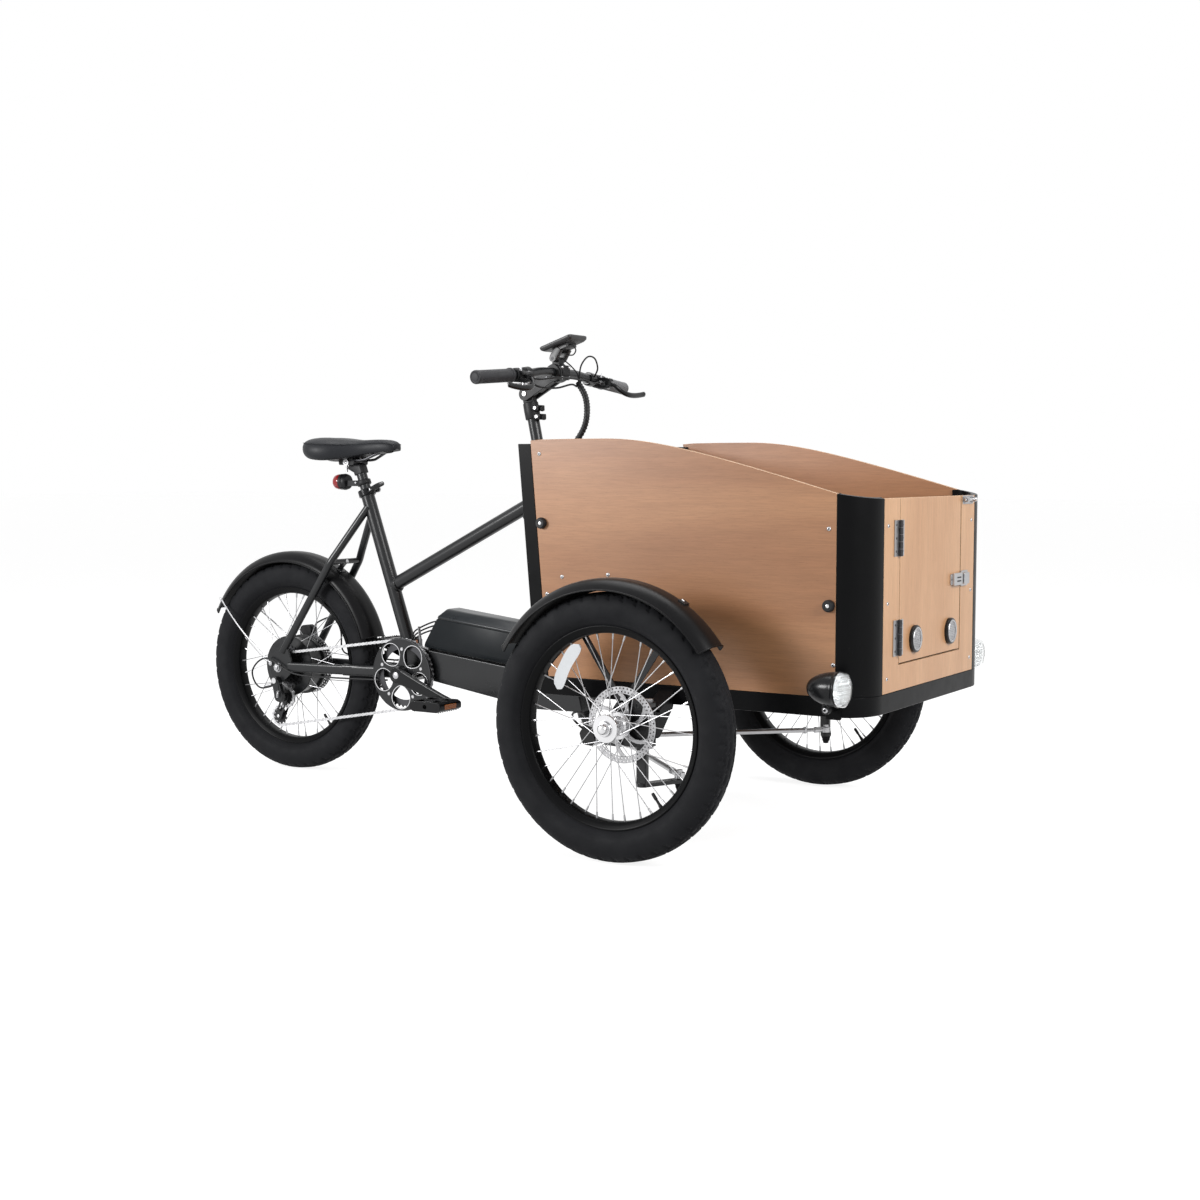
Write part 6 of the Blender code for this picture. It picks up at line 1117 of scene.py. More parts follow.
for name, z in (("upper", 0.664), ("lower", 0.46)):
    heads = {"frame": [], "door": []}
    for side, body in ((-1, "frame"), (1, "door")):
        leaf, knuckles = hinge_leaf(z, side)
        make("hinge_leaf_" + name + "_" + body, leaf, body, "zinc", "door_hinge_" + name if side < 0
            else "front_door", bevel=0.0005, segments=1)
        # The knuckles are darker than the leaves of the same hinge: painted shade along the barrel.
        make("hinge_knuckles_" + name + "_" + body, knuckles, body, "dark_steel", bevel=0.0003, segments=1)
        for dz in (-0.027, 0.0, 0.027):
            spot = at(FRONT_X + 0.0021, HINGE_Y + side * 0.0175, z + dz)
            heads[body].append(dome_screw(spot, (1, 0, 0), 0.0026, 0.0011))
        make("hinge_screws_" + name + "_" + body, merge(*heads[body]), body, "dark_steel")
    pin = rod(at(HINGE_X, HINGE_Y, z - HINGE_HALF - 0.0008), at(HINGE_X, HINGE_Y, z + HINGE_HALF + 0.0008),
        0.0021, 16)
    make("hinge_pin_" + name, pin, "frame", "zinc")


# %% [markdown]
# ## Door vents
# Two round vents sit low in the door. Each is a turned rim, a grille of crossed wires and a dark mesh behind it.

# %% Door vents
for k, y in enumerate((-0.095, 0.112)):
    place = at(FRONT_X, y, 0.4505)
    rim = lathe(mm((23.2, -0.4), (28.8, -0.4), (29, 5), (28.2, 7.4), (26.8, 8.4), (24.6, 8.4), (23.6, 6.8)),
        place, (1, 0, 0), 56)
    make("vent_rim_%d" % k, rim, "door", "glossy_plastic", smooth=40)
    ring = lathe(mm((22.6, 4), (24.7, 8.4), (24, 9.2), (21.5, 8), (21.5, 4)), place, (1, 0, 0), 56)
    bars = []
    for i in range(-5, 6):
        d = i * 0.0037
        reach = sqrt(max(0.0, 0.0222 ** 2 - d * d))
        bars.append(rod(place + vec(0.0062, d, -reach), place + vec(0.0062, d, reach), 0.00075, 6))
        bars.append(rod(place + vec(0.0066, -reach, d), place + vec(0.0066, reach, d), 0.00075, 6))
    make("vent_grille_%d" % k, merge(ring, *bars), "door", "zinc")
    make("vent_backing_%d" % k, rod(place + vec(0.0002, 0, 0), place + vec(0.004, 0, 0), 0.023, 40), "door",
        "vent_mesh")

# %% [markdown]
# ## Latch and bolt
# The latch is a plate with a turning knob, and the bolt is a rod that slides through two guides. The guides are
# bored with a cut, so that the rod really has a hole to slide in. Each rides on its own joint of the door.

# %% Latch and bolt
LATCH_Y, LATCH_Z = 0.14, 0.5625
face = FRONT_X + GAP
def latch_plate(y0, y1, half, low, high, corner=0.003):
    """A rounded plate of the latch, from its ends across the door, its half height and its two depths."""
    outline = corners(LATCH_Y + y0, LATCH_Y + y1, LATCH_Z - half, LATCH_Z + half)
    return prism(rounded(outline, corner), "X", X0 + face + low, X0 + face + high)


plate = latch_plate(-0.028, 0.07, 0.012, 0, 0.003)
case = latch_plate(-0.022, 0.03, 0.0135, 0.0028, 0.0085)
staple = latch_plate(0.032, 0.072, 0.017, 0.0005, 0.0045)
cap = latch_plate(0.036, 0.068, 0.0125, 0.004, 0.0105)
make("latch_body", merge(plate, case, staple, cap), "door_latch", "zinc", "door_latch",
    bevel=0.0005)
# The latch's slots are thin dark strips on the case: painted shade in place of real openings.
slot_shades = [prism(rounded(corners(LATCH_Y - 0.004, LATCH_Y + 0.02, LATCH_Z + dz, LATCH_Z + dz + 0.003), 0.001),
    "X", X0 + face + 0.0084, X0 + face + 0.0088) for dz in (-0.006, 0.002)]
make("latch_slot_shades", merge(*slot_shades), "door_latch", "plastic")
make("latch_screws", merge(*[dome_screw(at(face + 0.0028, LATCH_Y + dy, LATCH_Z + dz), (1, 0, 0), 0.0022,
    0.001) for dy, dz in ((-0.025, 0.0), (0.034, 0.0146), (0.034, -0.0146))]), "door_latch", "dark_steel")

BOLT_X, BOLT_Z, BOLT_TIP = FRONT_X + 0.0065, 0.7365, 0.183
shaft = rod(at(BOLT_X, BOLT_TIP, BOLT_Z), at(BOLT_X, BOLT_TIP + 0.068, BOLT_Z), 0.003, 20, round_end=0.0008)
knob = lathe(mm((0, 0), (2.2, 0), (2.2, 7), (3.2, 8.5), (3.4, 10.5), (2.8, 12.2), (0, 12.8)),
    at(BOLT_X, BOLT_TIP + 0.045, BOLT_Z), (1, 0, 0), 20)
make("bolt_rod", merge(shaft, knob), "door_bolt", "polished", "door_bolt")
guides, back_screws = [], []
for y0, y1 in STAPLES:
    outline = rounded([(FRONT_X - 0.0002, BOLT_Z - 0.009), (FRONT_X + 0.0016, BOLT_Z - 0.009),
        (FRONT_X + 0.0016, BOLT_Z - 0.0055), (FRONT_X + 0.0115, BOLT_Z - 0.0048), (FRONT_X + 0.0115,
        BOLT_Z + 0.0048), (FRONT_X + 0.0016, BOLT_Z + 0.0055), (FRONT_X + 0.0016, BOLT_Z + 0.009),
        (FRONT_X - 0.0002, BOLT_Z + 0.009)], 0.002)
    body = prism([(X0 + x, z) for x, z in outline], "Y", y0, y1)
    hole = rod(at(BOLT_X, y0 - 0.01, BOLT_Z), at(BOLT_X, y1 + 0.01, BOLT_Z), 0.0035, 24)
    guides.append(carved(body, [hole]))
    for dz in (-0.0072, 0.0072):
        back_screws.append(dome_screw(at(FRONT_X + 0.0014, (y0 + y1) / 2, BOLT_Z + dz), (1, 0, 0), 0.0014,
            0.0008))
plate = prism([(y, z) for y, z in rounded(corners(0.184, 0.2525, BOLT_Z - 0.0098, BOLT_Z + 0.0088), 0.002)],
    "X", X0 + FRONT_X + GAP, X0 + FRONT_X + 0.0012)
make("bolt_guides", merge(plate, *guides), "frame", "zinc", bevel=0.0003, segments=1)
make("bolt_guide_screws", merge(*back_screws), "frame", "dark_steel")

# %% [markdown]
# ## Frame tubes
# Round tubes with a weld bead at each joint, a deep rounded beam under the battery, and oval chainstays.

# %% Lines of the frame
BB = (-0.895, 0.284)
COLUMN_TURN = radians(12)
RAKE, SEAT_LEAN = tan(COLUMN_TURN), tan(radians(19.3))
TUBE, HEAD_R, NOSE_Z = 0.0175, 0.02, 0.224


def steer_x(z):
    return -0.3973 - RAKE * (z - AXLE)


def seat_x(z):
    return BB[0] - SEAT_LEAN * (z - BB[1])


def beam_top(x):
    return 0.351 + tan(radians(-6.5)) * (x + 0.845)


def bead(place, axis, radius, lean=None, width=0.003):
    """Weld bead round a tube where it meets another, on a plane that may lean from square."""
    axis = Vector(axis).normalized()
    side = axis.orthogonal().normalized()
    up = axis.cross(side)
    slope = Vector(lean) if lean else axis
    points = []
    for k in range(72):
        t = 2 * pi * k / 72
        spoke = (cos(t) * side + sin(t) * up) * radius
        drop = spoke.dot(slope) / axis.dot(slope)
        ripple = 1 + 0.01 * sin(24 * t)
        points.append(Vector(place) + spoke * ripple - axis * drop)
    rings = []
    for k, p in enumerate(points):
        way = (points[(k + 1) % 72] - points[k - 1]).normalized()
        out = (p - Vector(place)).normalized()
        out = (out - way * out.dot(way)).normalized()
        flat = way.cross(out)
        rings.append([p + (cos(a) * out + sin(a) * flat) * width for a in [2 * pi * i / 8 for i in range(8)]])
    return skin(rings, loop=True)


print("steering leans", round(RAKE, 4), "seat tube leans", round(SEAT_LEAN, 4))

# %% [markdown]
# ## Frame tubes and beam
# The tubes end inside each other, and a bead of weld hides each seam. Each bead follows the line where two tubes
# meet, with a small ripple. The beam below the battery is a box section that carries the front of the trike.

# %% Frame tubes and beam
seat_low, seat_high = at(BB[0], 0, BB[1]), at(seat_x(0.75), 0, 0.75)
head_low, head_high = at(steer_x(0.215), 0, 0.215), at(steer_x(0.8), 0, 0.8)
top_rear, top_front = at(seat_x(0.503), 0, 0.503), at(steer_x(0.742), 0, 0.742)
seat_way = (seat_high - seat_low).normalized()
head_way = (head_high - head_low).normalized()
top_way = (top_front - top_rear).normalized()

seat_tube = lathe(corners(0.0143, TUBE, 0, (seat_high - seat_low).length), seat_low, seat_way, 40)
head_tube = lathe([(0.015, 0), (0.0208, 0), (0.0208, 0.01), (HEAD_R, 0.014),
    (HEAD_R, (head_high - head_low).length - 0.024), (0.0212, (head_high - head_low).length - 0.02),
    (0.0212, (head_high - head_low).length), (0.015, (head_high - head_low).length)], head_low, head_way, 44)
top_tube = rod(top_rear, top_front, TUBE, 40)
bb_shell = lathe(mm((9.2, -36), (18.5, -36), (19.2, -35.2), (19.2, -33.5), (21, -33), (21, 33), (19.2, 33.5),
    (19.2, 35.2), (18.5, 36), (9.2, 36)), seat_low, (0, 1, 0), 44)
seat_face = vec(seat_way.z, 0, -seat_way.x)
head_face = vec(head_way.z, 0, -head_way.x)
beads = [bead(top_rear + seat_face * TUBE, top_way, TUBE, seat_face), bead(top_front - head_face * HEAD_R,
    top_way, TUBE, head_face)]
make("frame_tubes", merge(seat_tube, head_tube, top_tube, bb_shell), "frame", "frame_paint", "main_frame",
    smooth=40)
make("frame_beads", merge(*beads), "frame", "frame_paint", smooth=60)

beam = [(-0.845, 0.351 - 0.0757), (-0.5, beam_top(-0.5) - 0.0897), (steer_x(NOSE_Z) + HEAD_R, NOSE_Z),
    (steer_x(BASE_Z) + HEAD_R, beam_top(steer_x(BASE_Z) + HEAD_R)), (-0.845, 0.351)]
make("frame_beam", prism([(X0 + x, z) for x, z in rounded(beam, 0.006, 3)], "Y", -0.045, 0.045), "frame",
    "frame_paint", bevel=0.0085, segments=5, smooth=30)
neck = [(BB[0] - 0.004, BB[1] - 0.0195), (-0.835, 0.2853), (-0.835, 0.345), (seat_x(0.345) + 0.004, 0.345),
    (BB[0] - 0.014, BB[1] + 0.004)]
make("frame_neck", prism([(X0 + x, z) for x, z in rounded(neck, 0.004, 2)], "Y", -0.026, 0.026), "frame",
    "frame_paint", bevel=0.004, segments=3)

# %% [markdown]
# ## Rear triangle
# Flat-sided chain stays run from the bottom bracket to the axle plates, and round seat stays come down to meet
# them. Stays could be booleans of tubes and plates, but bars that end inside the plates look the same when welded.

# %% Rear triangle
def rear(x, y, z):
    """A place counted from the rear axle."""
    return at(REAR_X + x, y, AXLE + z)


def oval(width, height):
    """A rounded rectangle as (across, up)."""
    return soft_bar((width, height), min(width, height) * 0.48, 5)


def chainstay(side):
    places = [(BB[0] - 0.01, 0.027, BB[1]), (BB[0] - 0.06, 0.0345, BB[1] - 0.0004), (BB[0] - 0.135, 0.046,
        BB[1] - 0.001), (BB[0] - 0.25, 0.058, BB[1] - 0.002), (REAR_X + 0.036, 0.0705, AXLE + 0.003)]
    bar = strap([at(x, side * y, z) for x, y, z in places], oval(0.0145, 0.026))
    sleeve = strap([at(x, side * y, z) for x, y, z in [(BB[0] - 0.012, 0.0275, BB[1]), (BB[0] - 0.2, 0.0525,
        BB[1] - 0.0015)]], oval(0.0165, 0.03))
    return merge(bar, sleeve)


BRIDGE = (-1.132, 0.058, 0.562)


def seat_stay(side):
    top = vec(seat_x(0.705), side * 0.012, 0.705)
    bend = vec(BRIDGE[0], side * BRIDGE[1], BRIDGE[2])
    foot = vec(REAR_X + 0.014, side * 0.0705, AXLE + 0.042)
    path = [top, top.lerp(bend, 0.45), top.lerp(bend, 0.82), bend, bend.lerp(foot, 0.1), bend.lerp(foot, 0.5),
        foot]
    curve = smooth_path(path, 6)
    return tube([at(*p) for p in curve], 0.01, 24)


def dropout(side):
    hanger = AXLE - 0.042 if side < 0 else AXLE - 0.026
    outline = [(-0.03, AXLE - 0.014), (-0.012, hanger), (0.01, hanger), (0.046, AXLE - 0.013),
        (0.048, AXLE + 0.018), (0.03, AXLE + 0.054), (0.004, AXLE + 0.058), (-0.027, AXLE + 0.024)]
    low, high = sorted((side * 0.0673, side * 0.0735))
    return prism([(X0 + REAR_X + x, z) for x, z in rounded(outline, 0.014, 5)], "Y", low, high)


stays, plates = [], []
for side in (-1, 1):
    stays += [chainstay(side), seat_stay(side)]
    plates.append(dropout(side))
bridge = rod(at(BRIDGE[0], -BRIDGE[1], BRIDGE[2]), at(BRIDGE[0], BRIDGE[1], BRIDGE[2]), 0.007, 24)
make("frame_stays", merge(*stays, bridge), "frame", "frame_paint", smooth=40)
tab = prism([(X0 + REAR_X + x, z) for x, z in rounded([(-0.028, AXLE + 0.02), (0.022, AXLE + 0.04),
    (0.008, AXLE + 0.1), (-0.03, AXLE + 0.1)], 0.006)], "Y", 0.0665, 0.0725)
make("frame_dropouts", merge(*plates, tab), "frame", "frame_paint", bevel=0.0012)

brace_x = rear_edge(0.7) - POST - GAP - 0.01
brace = rod(at(brace_x, -0.325, 0.7), at(brace_x, 0.325, 0.7), 0.01, 28, round_end=0.0012)
bridge = strap([at(steer_x(0.7) + 0.012, 0, 0.7), at(brace_x, 0, 0.7)], soft_bar((0.024, 0.02), 0.003, 3))
make("frame_brace", merge(brace, bridge), "frame", "frame_paint", smooth=40)
eyes = []
for side in (-1, 1):
    eyes.append(dome_screw(at(brace_x - 0.0095, side * 0.315, 0.7), (-1, 0, 0), 0.0048, 0.0028))
make("frame_brace_bolts", merge(*eyes), "frame", "zinc")

nuts = []
for side in (-1, 1):
    y = side * 0.0738
    axis = (0, side, 0)
    nuts.append(lathe(mm((6.2, 0), (10.5, 0), (10.5, 6), (9.8, 6.8), (6.2, 6.8)), at(REAR_X, y, AXLE), axis,
        6))
    nuts.append(lathe(corners(0.0062, 0.0125, -0.0002, 0.001), at(REAR_X, y, AXLE), axis, 28))
shaft = rod(at(REAR_X, -0.0842, AXLE), at(REAR_X, 0.0842, AXLE), 0.0059, 28, round_end=0.001)
make("rear_axle_nuts", merge(shaft, *nuts), "frame", "zinc", "rear_axle")

# %% [markdown]
# ## Brake calipers
# Each one is a cast body over its rotor's edge, with pads and two bolts, and gives the point where the rear hose
# starts.

# %% Brake calipers
def caliper_shapes(axle, turn, disc_y, out, hose):
    """Caliper body and its bolts. out is the side of the rotor that the piston faces."""
    radial = vec(cos(turn), 0, sin(turn))
    along = vec(-sin(turn), 0, cos(turn))
    across = vec(0, out, 0)
    middle = Vector(axle) + vec(0, disc_y, 0)

    def slab(outline, low, high):
        rings = []
        for d in (low, high):
            rings.append([middle + radial * r + along * a + across * d for a, r in outline])
        return skin(rings)

    cheek = rounded(mm((-21, 69), (21, 69), (23, 88), (14, 104), (-14, 104), (-23, 88)), 0.006)
    bridge = rounded(mm((-20, 86), (20, 86), (13, 104), (-13, 104)), 0.005)
    far = rounded(mm((-19, 70), (19, 70), (19, 92), (12, 103), (-12, 103), (-19, 92)), 0.005)
    bodies = [slab(cheek, 0.0028, 0.015), slab(bridge, -0.003, 0.003), slab(far, -0.0064, -0.0028)]
    spot = middle + radial * 0.082 + across * 0.015
    bodies.append(lathe(mm((0, 0), (12, 0), (12, 2), (10.5, 3), (0, 3)), spot, across, 28))
    bolts = [dome_screw(middle + radial * 0.098 + along * a + across * 0.015, across, 0.0032, 0.0024)
        for a in (-0.01, 0.01)]
    pads = [slab(corners(-0.015, 0.015, 0.067, 0.082), s * 0.0011, s * 0.003) for s in (-1, 1)]
    elbow = middle + radial * 0.094 + along * (-0.02 if hose else 0.02) + across * 0.0085
    return merge(*bodies), merge(*bolts), merge(*pads), elbow


def fit_caliper(name, body, shapes):
    make(name + "_body", shapes[0], body, "plastic", bevel=0.0008)
    make(name + "_bolts", shapes[1], body, "zinc")
    make(name + "_pads", shapes[2], body, "dark_steel")


rear_caliper = caliper_shapes(at(REAR_X, 0, AXLE), radians(97), 0.0535, 1, True)
fit_caliper("rear_caliper", "frame", rear_caliper)
rear_hose = [rear_caliper[3], rear_caliper[3] + vec(0.012, 0.004, 0.016), rear(0.06, 0.082, 0.125),
    rear(0.088, 0.079, 0.09), rear(0.092, 0.08, 0.04), rear(0.13, 0.076, 0.026), rear(0.24, 0.064, 0.024),
    rear(0.34, 0.05, 0.026), at(BB[0] - 0.02, 0.041, BB[1] + 0.026)]
motor_lead = [rear(-0.004, 0.086, -0.002), rear(0.014, 0.0925, -0.012), rear(0.048, 0.085, -0.022),
    rear(0.11, 0.079, -0.018), rear(0.25, 0.064, -0.014), at(BB[0] - 0.03, 0.042, BB[1] - 0.01)]
gear_cable = [rear(0.02, -0.083, -0.04), rear(-0.05, -0.09, -0.055), rear(-0.078, -0.088, -0.012),
    rear(-0.03, -0.085, 0.024), rear(0.06, -0.08, -0.012), rear(0.18, -0.07, -0.016), at(BB[0] - 0.06, -0.048,
    BB[1] - 0.02)]
free_cord("rear_hose", rear_hose, 0.0023, "frame")
free_cord("motor_lead", motor_lead, 0.0031, "frame")
free_cord("gear_cable", gear_cable, 0.0023, "frame")
ties = []
for x, y, z in ((REAR_X + 0.2, 0.062, AXLE + 0.008), (REAR_X + 0.3, 0.052, AXLE + 0.008)):
    ties.append(strap([at(x, y + dy, z + dz) for dy, dz in ((-0.011, -0.026), (0.01, -0.026), (0.012, 0.019),
        (-0.011, 0.019))], rectangle(0.0012, 0.0012), up=(1, 0, 0), loop=True))
make("rear_cable_ties", merge(*ties), "frame", "plastic", smooth=0)

# %% [markdown]
# ## Chain
# Plates and rollers are laid pin by pin along the loop round the chainring, a sprocket and both pulleys.

# %% Chain
RING_TEETH, COG_TEETH, PULLEY_TEETH = 42, 16, 11
CHAIN_LIFT = 0.0032
GUIDE, TENSION = (REAR_X + 0.012, AXLE - 0.08), (REAR_X - 0.01, AXLE - 0.132)


def chain_route():
    """The chain's centre line as (x, z), in fine steps."""
    wheels = [(*BB, pitch_radius(RING_TEETH) + CHAIN_LIFT, 1), (REAR_X, AXLE, pitch_radius(COG_TEETH)
        + CHAIN_LIFT, 1), (*GUIDE, pitch_radius(PULLEY_TEETH) + CHAIN_LIFT, -1),
        (*TENSION, pitch_radius(PULLEY_TEETH) + CHAIN_LIFT, 1)]
    leave, meet = [0] * 4, [0] * 4
    for i, (x0, z0, r0, s0) in enumerate(wheels):
        x1, z1, r1, s1 = wheels[(i + 1) % 4]
        turn = atan2(z1 - z0, x1 - x0) - s0 * acos((r0 - r1 * s0 * s1) / hypot(x1 - x0, z1 - z0))
        leave[i] = turn
        meet[(i + 1) % 4] = turn if s0 == s1 else turn + pi
    route = []
    for i, (x, z, radius, s) in enumerate(wheels):
        around = ((leave[i] - meet[i]) * s) % (2 * pi)
        steps = max(4, round(around / radians(3)))
        for k in range(steps + 1):
            turn = meet[i] + s * around * k / steps
            route.append(vec(x + radius * cos(turn), z + radius * sin(turn)))
    return route


def chain_pins():
    """Places at an even pitch along the loop."""
    route = chain_route()
    route.append(route[0])
    spans = [(b - a).length for a, b in zip(route, route[1:])]
    count = 2 * round(sum(spans) / CHAIN_PITCH / 2)
    pitch = sum(spans) / count
    pins, spent, k = [], 0.0, 0
    for i in range(count):
        while spent + spans[k] < i * pitch:
            spent += spans[k]
            k += 1
        pins.append(route[k].lerp(route[k + 1], (i * pitch - spent) / spans[k]))
    return pins


def chain_plate(a, b, y0, y1):
    """A waisted side plate round two pins."""
    way = (b - a).normalized()
    up = vec(-way.y, way.x)
    half = (b - a).length / 2
    outline = []
    for s in (1, -1):
        for along, high in ((-0.62 * half, 0.0031), (0.0, 0.0025), (0.62 * half, 0.0031), (half + 0.0012,
                0.004), (half + 0.0034, 0.0024), (half + 0.0041, 0.0)):
            outline.append((a + b) / 2 + way * along * s + up * high * s)
    return prism([(X0 + p.x, p.y) for p in outline], "Y", CHAIN_Y + y0, CHAIN_Y + y1)


pins = chain_pins()
plates, rollers = [], []
for i, pin in enumerate(pins):
    after = pins[(i + 1) % len(pins)]
    low, high = (0.0016, 0.0024) if i % 2 else (0.0025, 0.0033)
    plates += [chain_plate(pin, after, low, high), chain_plate(pin, after, -high, -low)]
    rollers.append(rod(at(pin.x, CHAIN_Y - 0.0035, pin.y), at(pin.x, CHAIN_Y + 0.0035, pin.y), 0.0018, 8))
    rollers.append(rod(at(pin.x, CHAIN_Y - 0.0015, pin.y), at(pin.x, CHAIN_Y + 0.0015, pin.y), 0.0028, 10))
make("chain_plates", merge(*plates), "frame", "chain_steel", "chain", smooth=0)
make("chain_rollers", merge(*rollers), "frame", "zinc")
print("chain pins", len(pins))

# %% [markdown]
# ## Rear derailleur
# The cage is two plates with a slot, and it holds two toothed pulleys. Its plates are cut once from a bar with
# round ends, while the pulleys come from the same tooth outline as the cassette.

# %% Rear derailleur
def cage_plate(y0, y1):
    shape = prism(link((X0 + GUIDE[0], GUIDE[1]), 0.0115, (X0 + TENSION[0], TENSION[1]), 0.0105, 14), "Y", y0,
        y1)
    a, b = Vector(GUIDE), Vector(TENSION)
    slot_low, slot_high = a.lerp(b, 0.36), a.lerp(b, 0.66)
    cut = prism(link((X0 + slot_low.x, slot_low.y), 0.0062, (X0 + slot_high.x, slot_high.y), 0.005, 8), "Y",
        y0 - 0.01, y1 + 0.01)
    return carved(shape, [cut])


def pulley(place, turn):
    outline = sprocket_outline(PULLEY_TEETH, X0 + place[0], place[1], turn)
    wheel = prism(outline, "Y", CHAIN_Y - 0.0012, CHAIN_Y + 0.0012)
    centre = at(place[0], CHAIN_Y, place[1])
    return merge(wheel, lathe(mm((4.5, -6), (10, -3), (10, 3), (4.5, 6)), centre, (0, 1, 0), 24))


outer, inner = CHAIN_Y - 0.0095, CHAIN_Y + 0.0095
make("derailleur_cage", merge(cage_plate(outer, outer + 0.002), cage_plate(inner - 0.002, inner)), "frame",
    "frame_paint", "rear_derailleur", bevel=0.0005)
make("derailleur_pulleys", merge(pulley(GUIDE, 0.1), pulley(TENSION, 0.3)), "frame", "plastic", smooth=0)
pins_shape = [rod(at(x, outer - 0.0016, z), at(x, inner + 0.001, z), 0.0042, 18, round_end=0.0008) for x,
    z in (GUIDE, TENSION)]
hanger = rear(-0.001, 0, -0.034)
pins_shape.append(lathe(mm((0, 0), (7.8, 0), (7.8, 2.6), (6.4, 3.6), (0, 3.6)), (hanger.x, -0.0883, hanger.z),
    (0, -1, 0), 24))
make("derailleur_bolts", merge(*pins_shape), "frame", "polished")
knuckle = [(REAR_X - 0.013, AXLE - 0.028), (REAR_X + 0.011, AXLE - 0.03), (GUIDE[0] + 0.015,
    GUIDE[1] + 0.006), (GUIDE[0] + 0.008, GUIDE[1] - 0.012), (GUIDE[0] - 0.012, GUIDE[1] - 0.008)]
knuckle = rounded([(X0 + x, z) for x, z in knuckle], 0.008, 5)
arm = prism(knuckle, "Y", -0.0872, -0.076)
ear = prism(link((hanger.x, hanger.z), 0.0105, (X0 + GUIDE[0] - 0.004, GUIDE[1] + 0.016), 0.008, 12), "Y",
    -0.0885, -0.0738)
boss = rod(at(GUIDE[0], -0.0835, GUIDE[1]), at(GUIDE[0], -0.063, GUIDE[1]), 0.0098, 28, round_end=0.001)
make("derailleur_body", merge(arm, ear, boss), "frame", "frame_paint", bevel=0.0015, segments=3)
barrel = [rear(-0.016, -0.0815, -0.046), rear(-0.034, -0.0835, -0.05)]
spring = []
for k in range(90):
    t = 2 * pi * k / 12
    spot = at(GUIDE[0] + 0.004, -0.0925, GUIDE[1] + 0.02).lerp(at(GUIDE[0] + 0.001, -0.0925,
        GUIDE[1] + 0.002), k / 89)
    spring.append(spot + vec(0.0036 * cos(t), 0.0028 * sin(t), 0))
make("derailleur_metal", merge(rod(barrel[0], barrel[1], 0.0036, 12), rod(barrel[1], barrel[1] + vec(-0.006,
    0, -0.001), 0.0028, 12), tube(spring, 0.0006, 6)), "frame", "zinc")

# %% [markdown]
# ## Chainring, guard and cranks
# The guard is a round plate with five large windows whose machined edges are left bright. The arm and its boss
# carry the guard and the chainring on five bolts.

# %% Chainring, guard and cranks
CRANK_TURN, CRANK_REACH = radians(-20), 0.17
ARM_Y = {-1: 0.083, 1: 0.072}
GUARD_R, GUARD_FACE, GUARD_BACK = 0.0925, -0.0665, -0.0635
WINDOW_TURNS = [radians(52 + 72 * k) for k in range(5)]
SPIDER_TURNS = [radians(16 + 72 * k) for k in range(5)]


def on_crank(turn, radius):
    return X0 + BB[0] + radius * cos(turn), BB[1] + radius * sin(turn)


def window(turn, shrink=0.0):
    """A window's outline: round outside, drawn in towards the middle."""
    outline = []
    for k in range(40):
        t = 2 * pi * k / 40
        pull = 1.0 - 0.22 * max(0.0, -cos(t)) ** 2
        radial = 0.059 + (0.0285 - shrink) * cos(t) * (1.06 if cos(t) < 0 else 1.0)
        side = (0.0285 - shrink) * sin(t) * pull
        reach, spread = hypot(radial, side), atan2(side, radial)
        outline.append(on_crank(turn + spread, reach))
    return outline


centre = at(*(BB[0], 0, BB[1]))
plate = lathe([(0.01, GUARD_BACK), (0.01, GUARD_FACE), (GUARD_R - 0.001, GUARD_FACE),
    (GUARD_R, GUARD_FACE + 0.0008), (GUARD_R, GUARD_BACK - 0.0006), (GUARD_R - 0.0008, GUARD_BACK)], centre,
    (0, 1, 0), 96)
make("chain_guard", carved(plate, [prism(window(t), "Y", GUARD_FACE - 0.01, GUARD_BACK + 0.01)
    for t in WINDOW_TURNS]), "crank", "frame_paint", "crankset", smooth=30)
rims = []
for t in WINDOW_TURNS:
    ring_outer, ring_inner = window(t, -0.0013), window(t, 0.0003)
    rings = []
    for a, b in zip(ring_outer, ring_inner):
        rings.append([vec(b[0], GUARD_FACE + 0.0006, b[1]), vec(b[0], GUARD_FACE - 0.0002, b[1]),
            vec(a[0], GUARD_FACE - 0.0003, a[1]), vec(a[0], GUARD_FACE + 0.0002, a[1])])
    rims.append(skin(rings, loop=True))
make("guard_window_edges", merge(*rims), "crank", "polished")
edge = lathe([(GUARD_R - 0.0022, GUARD_FACE + 0.0002), (GUARD_R - 0.0022, GUARD_FACE - 0.0004),
    (GUARD_R - 0.0012, GUARD_FACE - 0.0003), (GUARD_R - 0.0012, GUARD_FACE + 0.0002)], centre, (0, 1, 0), 96)
make("guard_outer_edge", edge, "crank", "dark_steel")

teeth = prism(sprocket_outline(RING_TEETH, X0 + BB[0], BB[1], 0.02), "Y", CHAIN_Y - 0.001, CHAIN_Y + 0.001)
bore = lathe(corners(0, 0.0655, CHAIN_Y - 0.02, CHAIN_Y + 0.02), centre, (0, 1, 0), 72)
ring = carved(teeth, [bore])
tabs, studs, legs = [], [], []
for t in SPIDER_TURNS:
    x, z = on_crank(t, 0.065)
    tabs.append(prism(link((x, z), 0.0075, on_crank(t, 0.072), 0.009, 10), "Y", CHAIN_Y - 0.001,
        CHAIN_Y + 0.001))
    studs.append(lathe(mm((0, 0), (4.6, 0), (4.6, 1.2), (3.6, 2), (0, 2)), (x, GUARD_FACE, z), (0, -1, 0),
        20))
    studs.append(rod((x, GUARD_BACK, z), (x, CHAIN_Y + 0.0032, z), 0.0044, 16))
    legs.append(prism(link(on_crank(t, 0.02), 0.012, (x, z), 0.0078, 12), "Y", -0.063, -0.0562))
make("chainring_teeth", merge(ring, *tabs), "crank", "dark_steel", "chainring", smooth=0)
make("chainring_bolts", merge(*studs), "crank", "zinc")
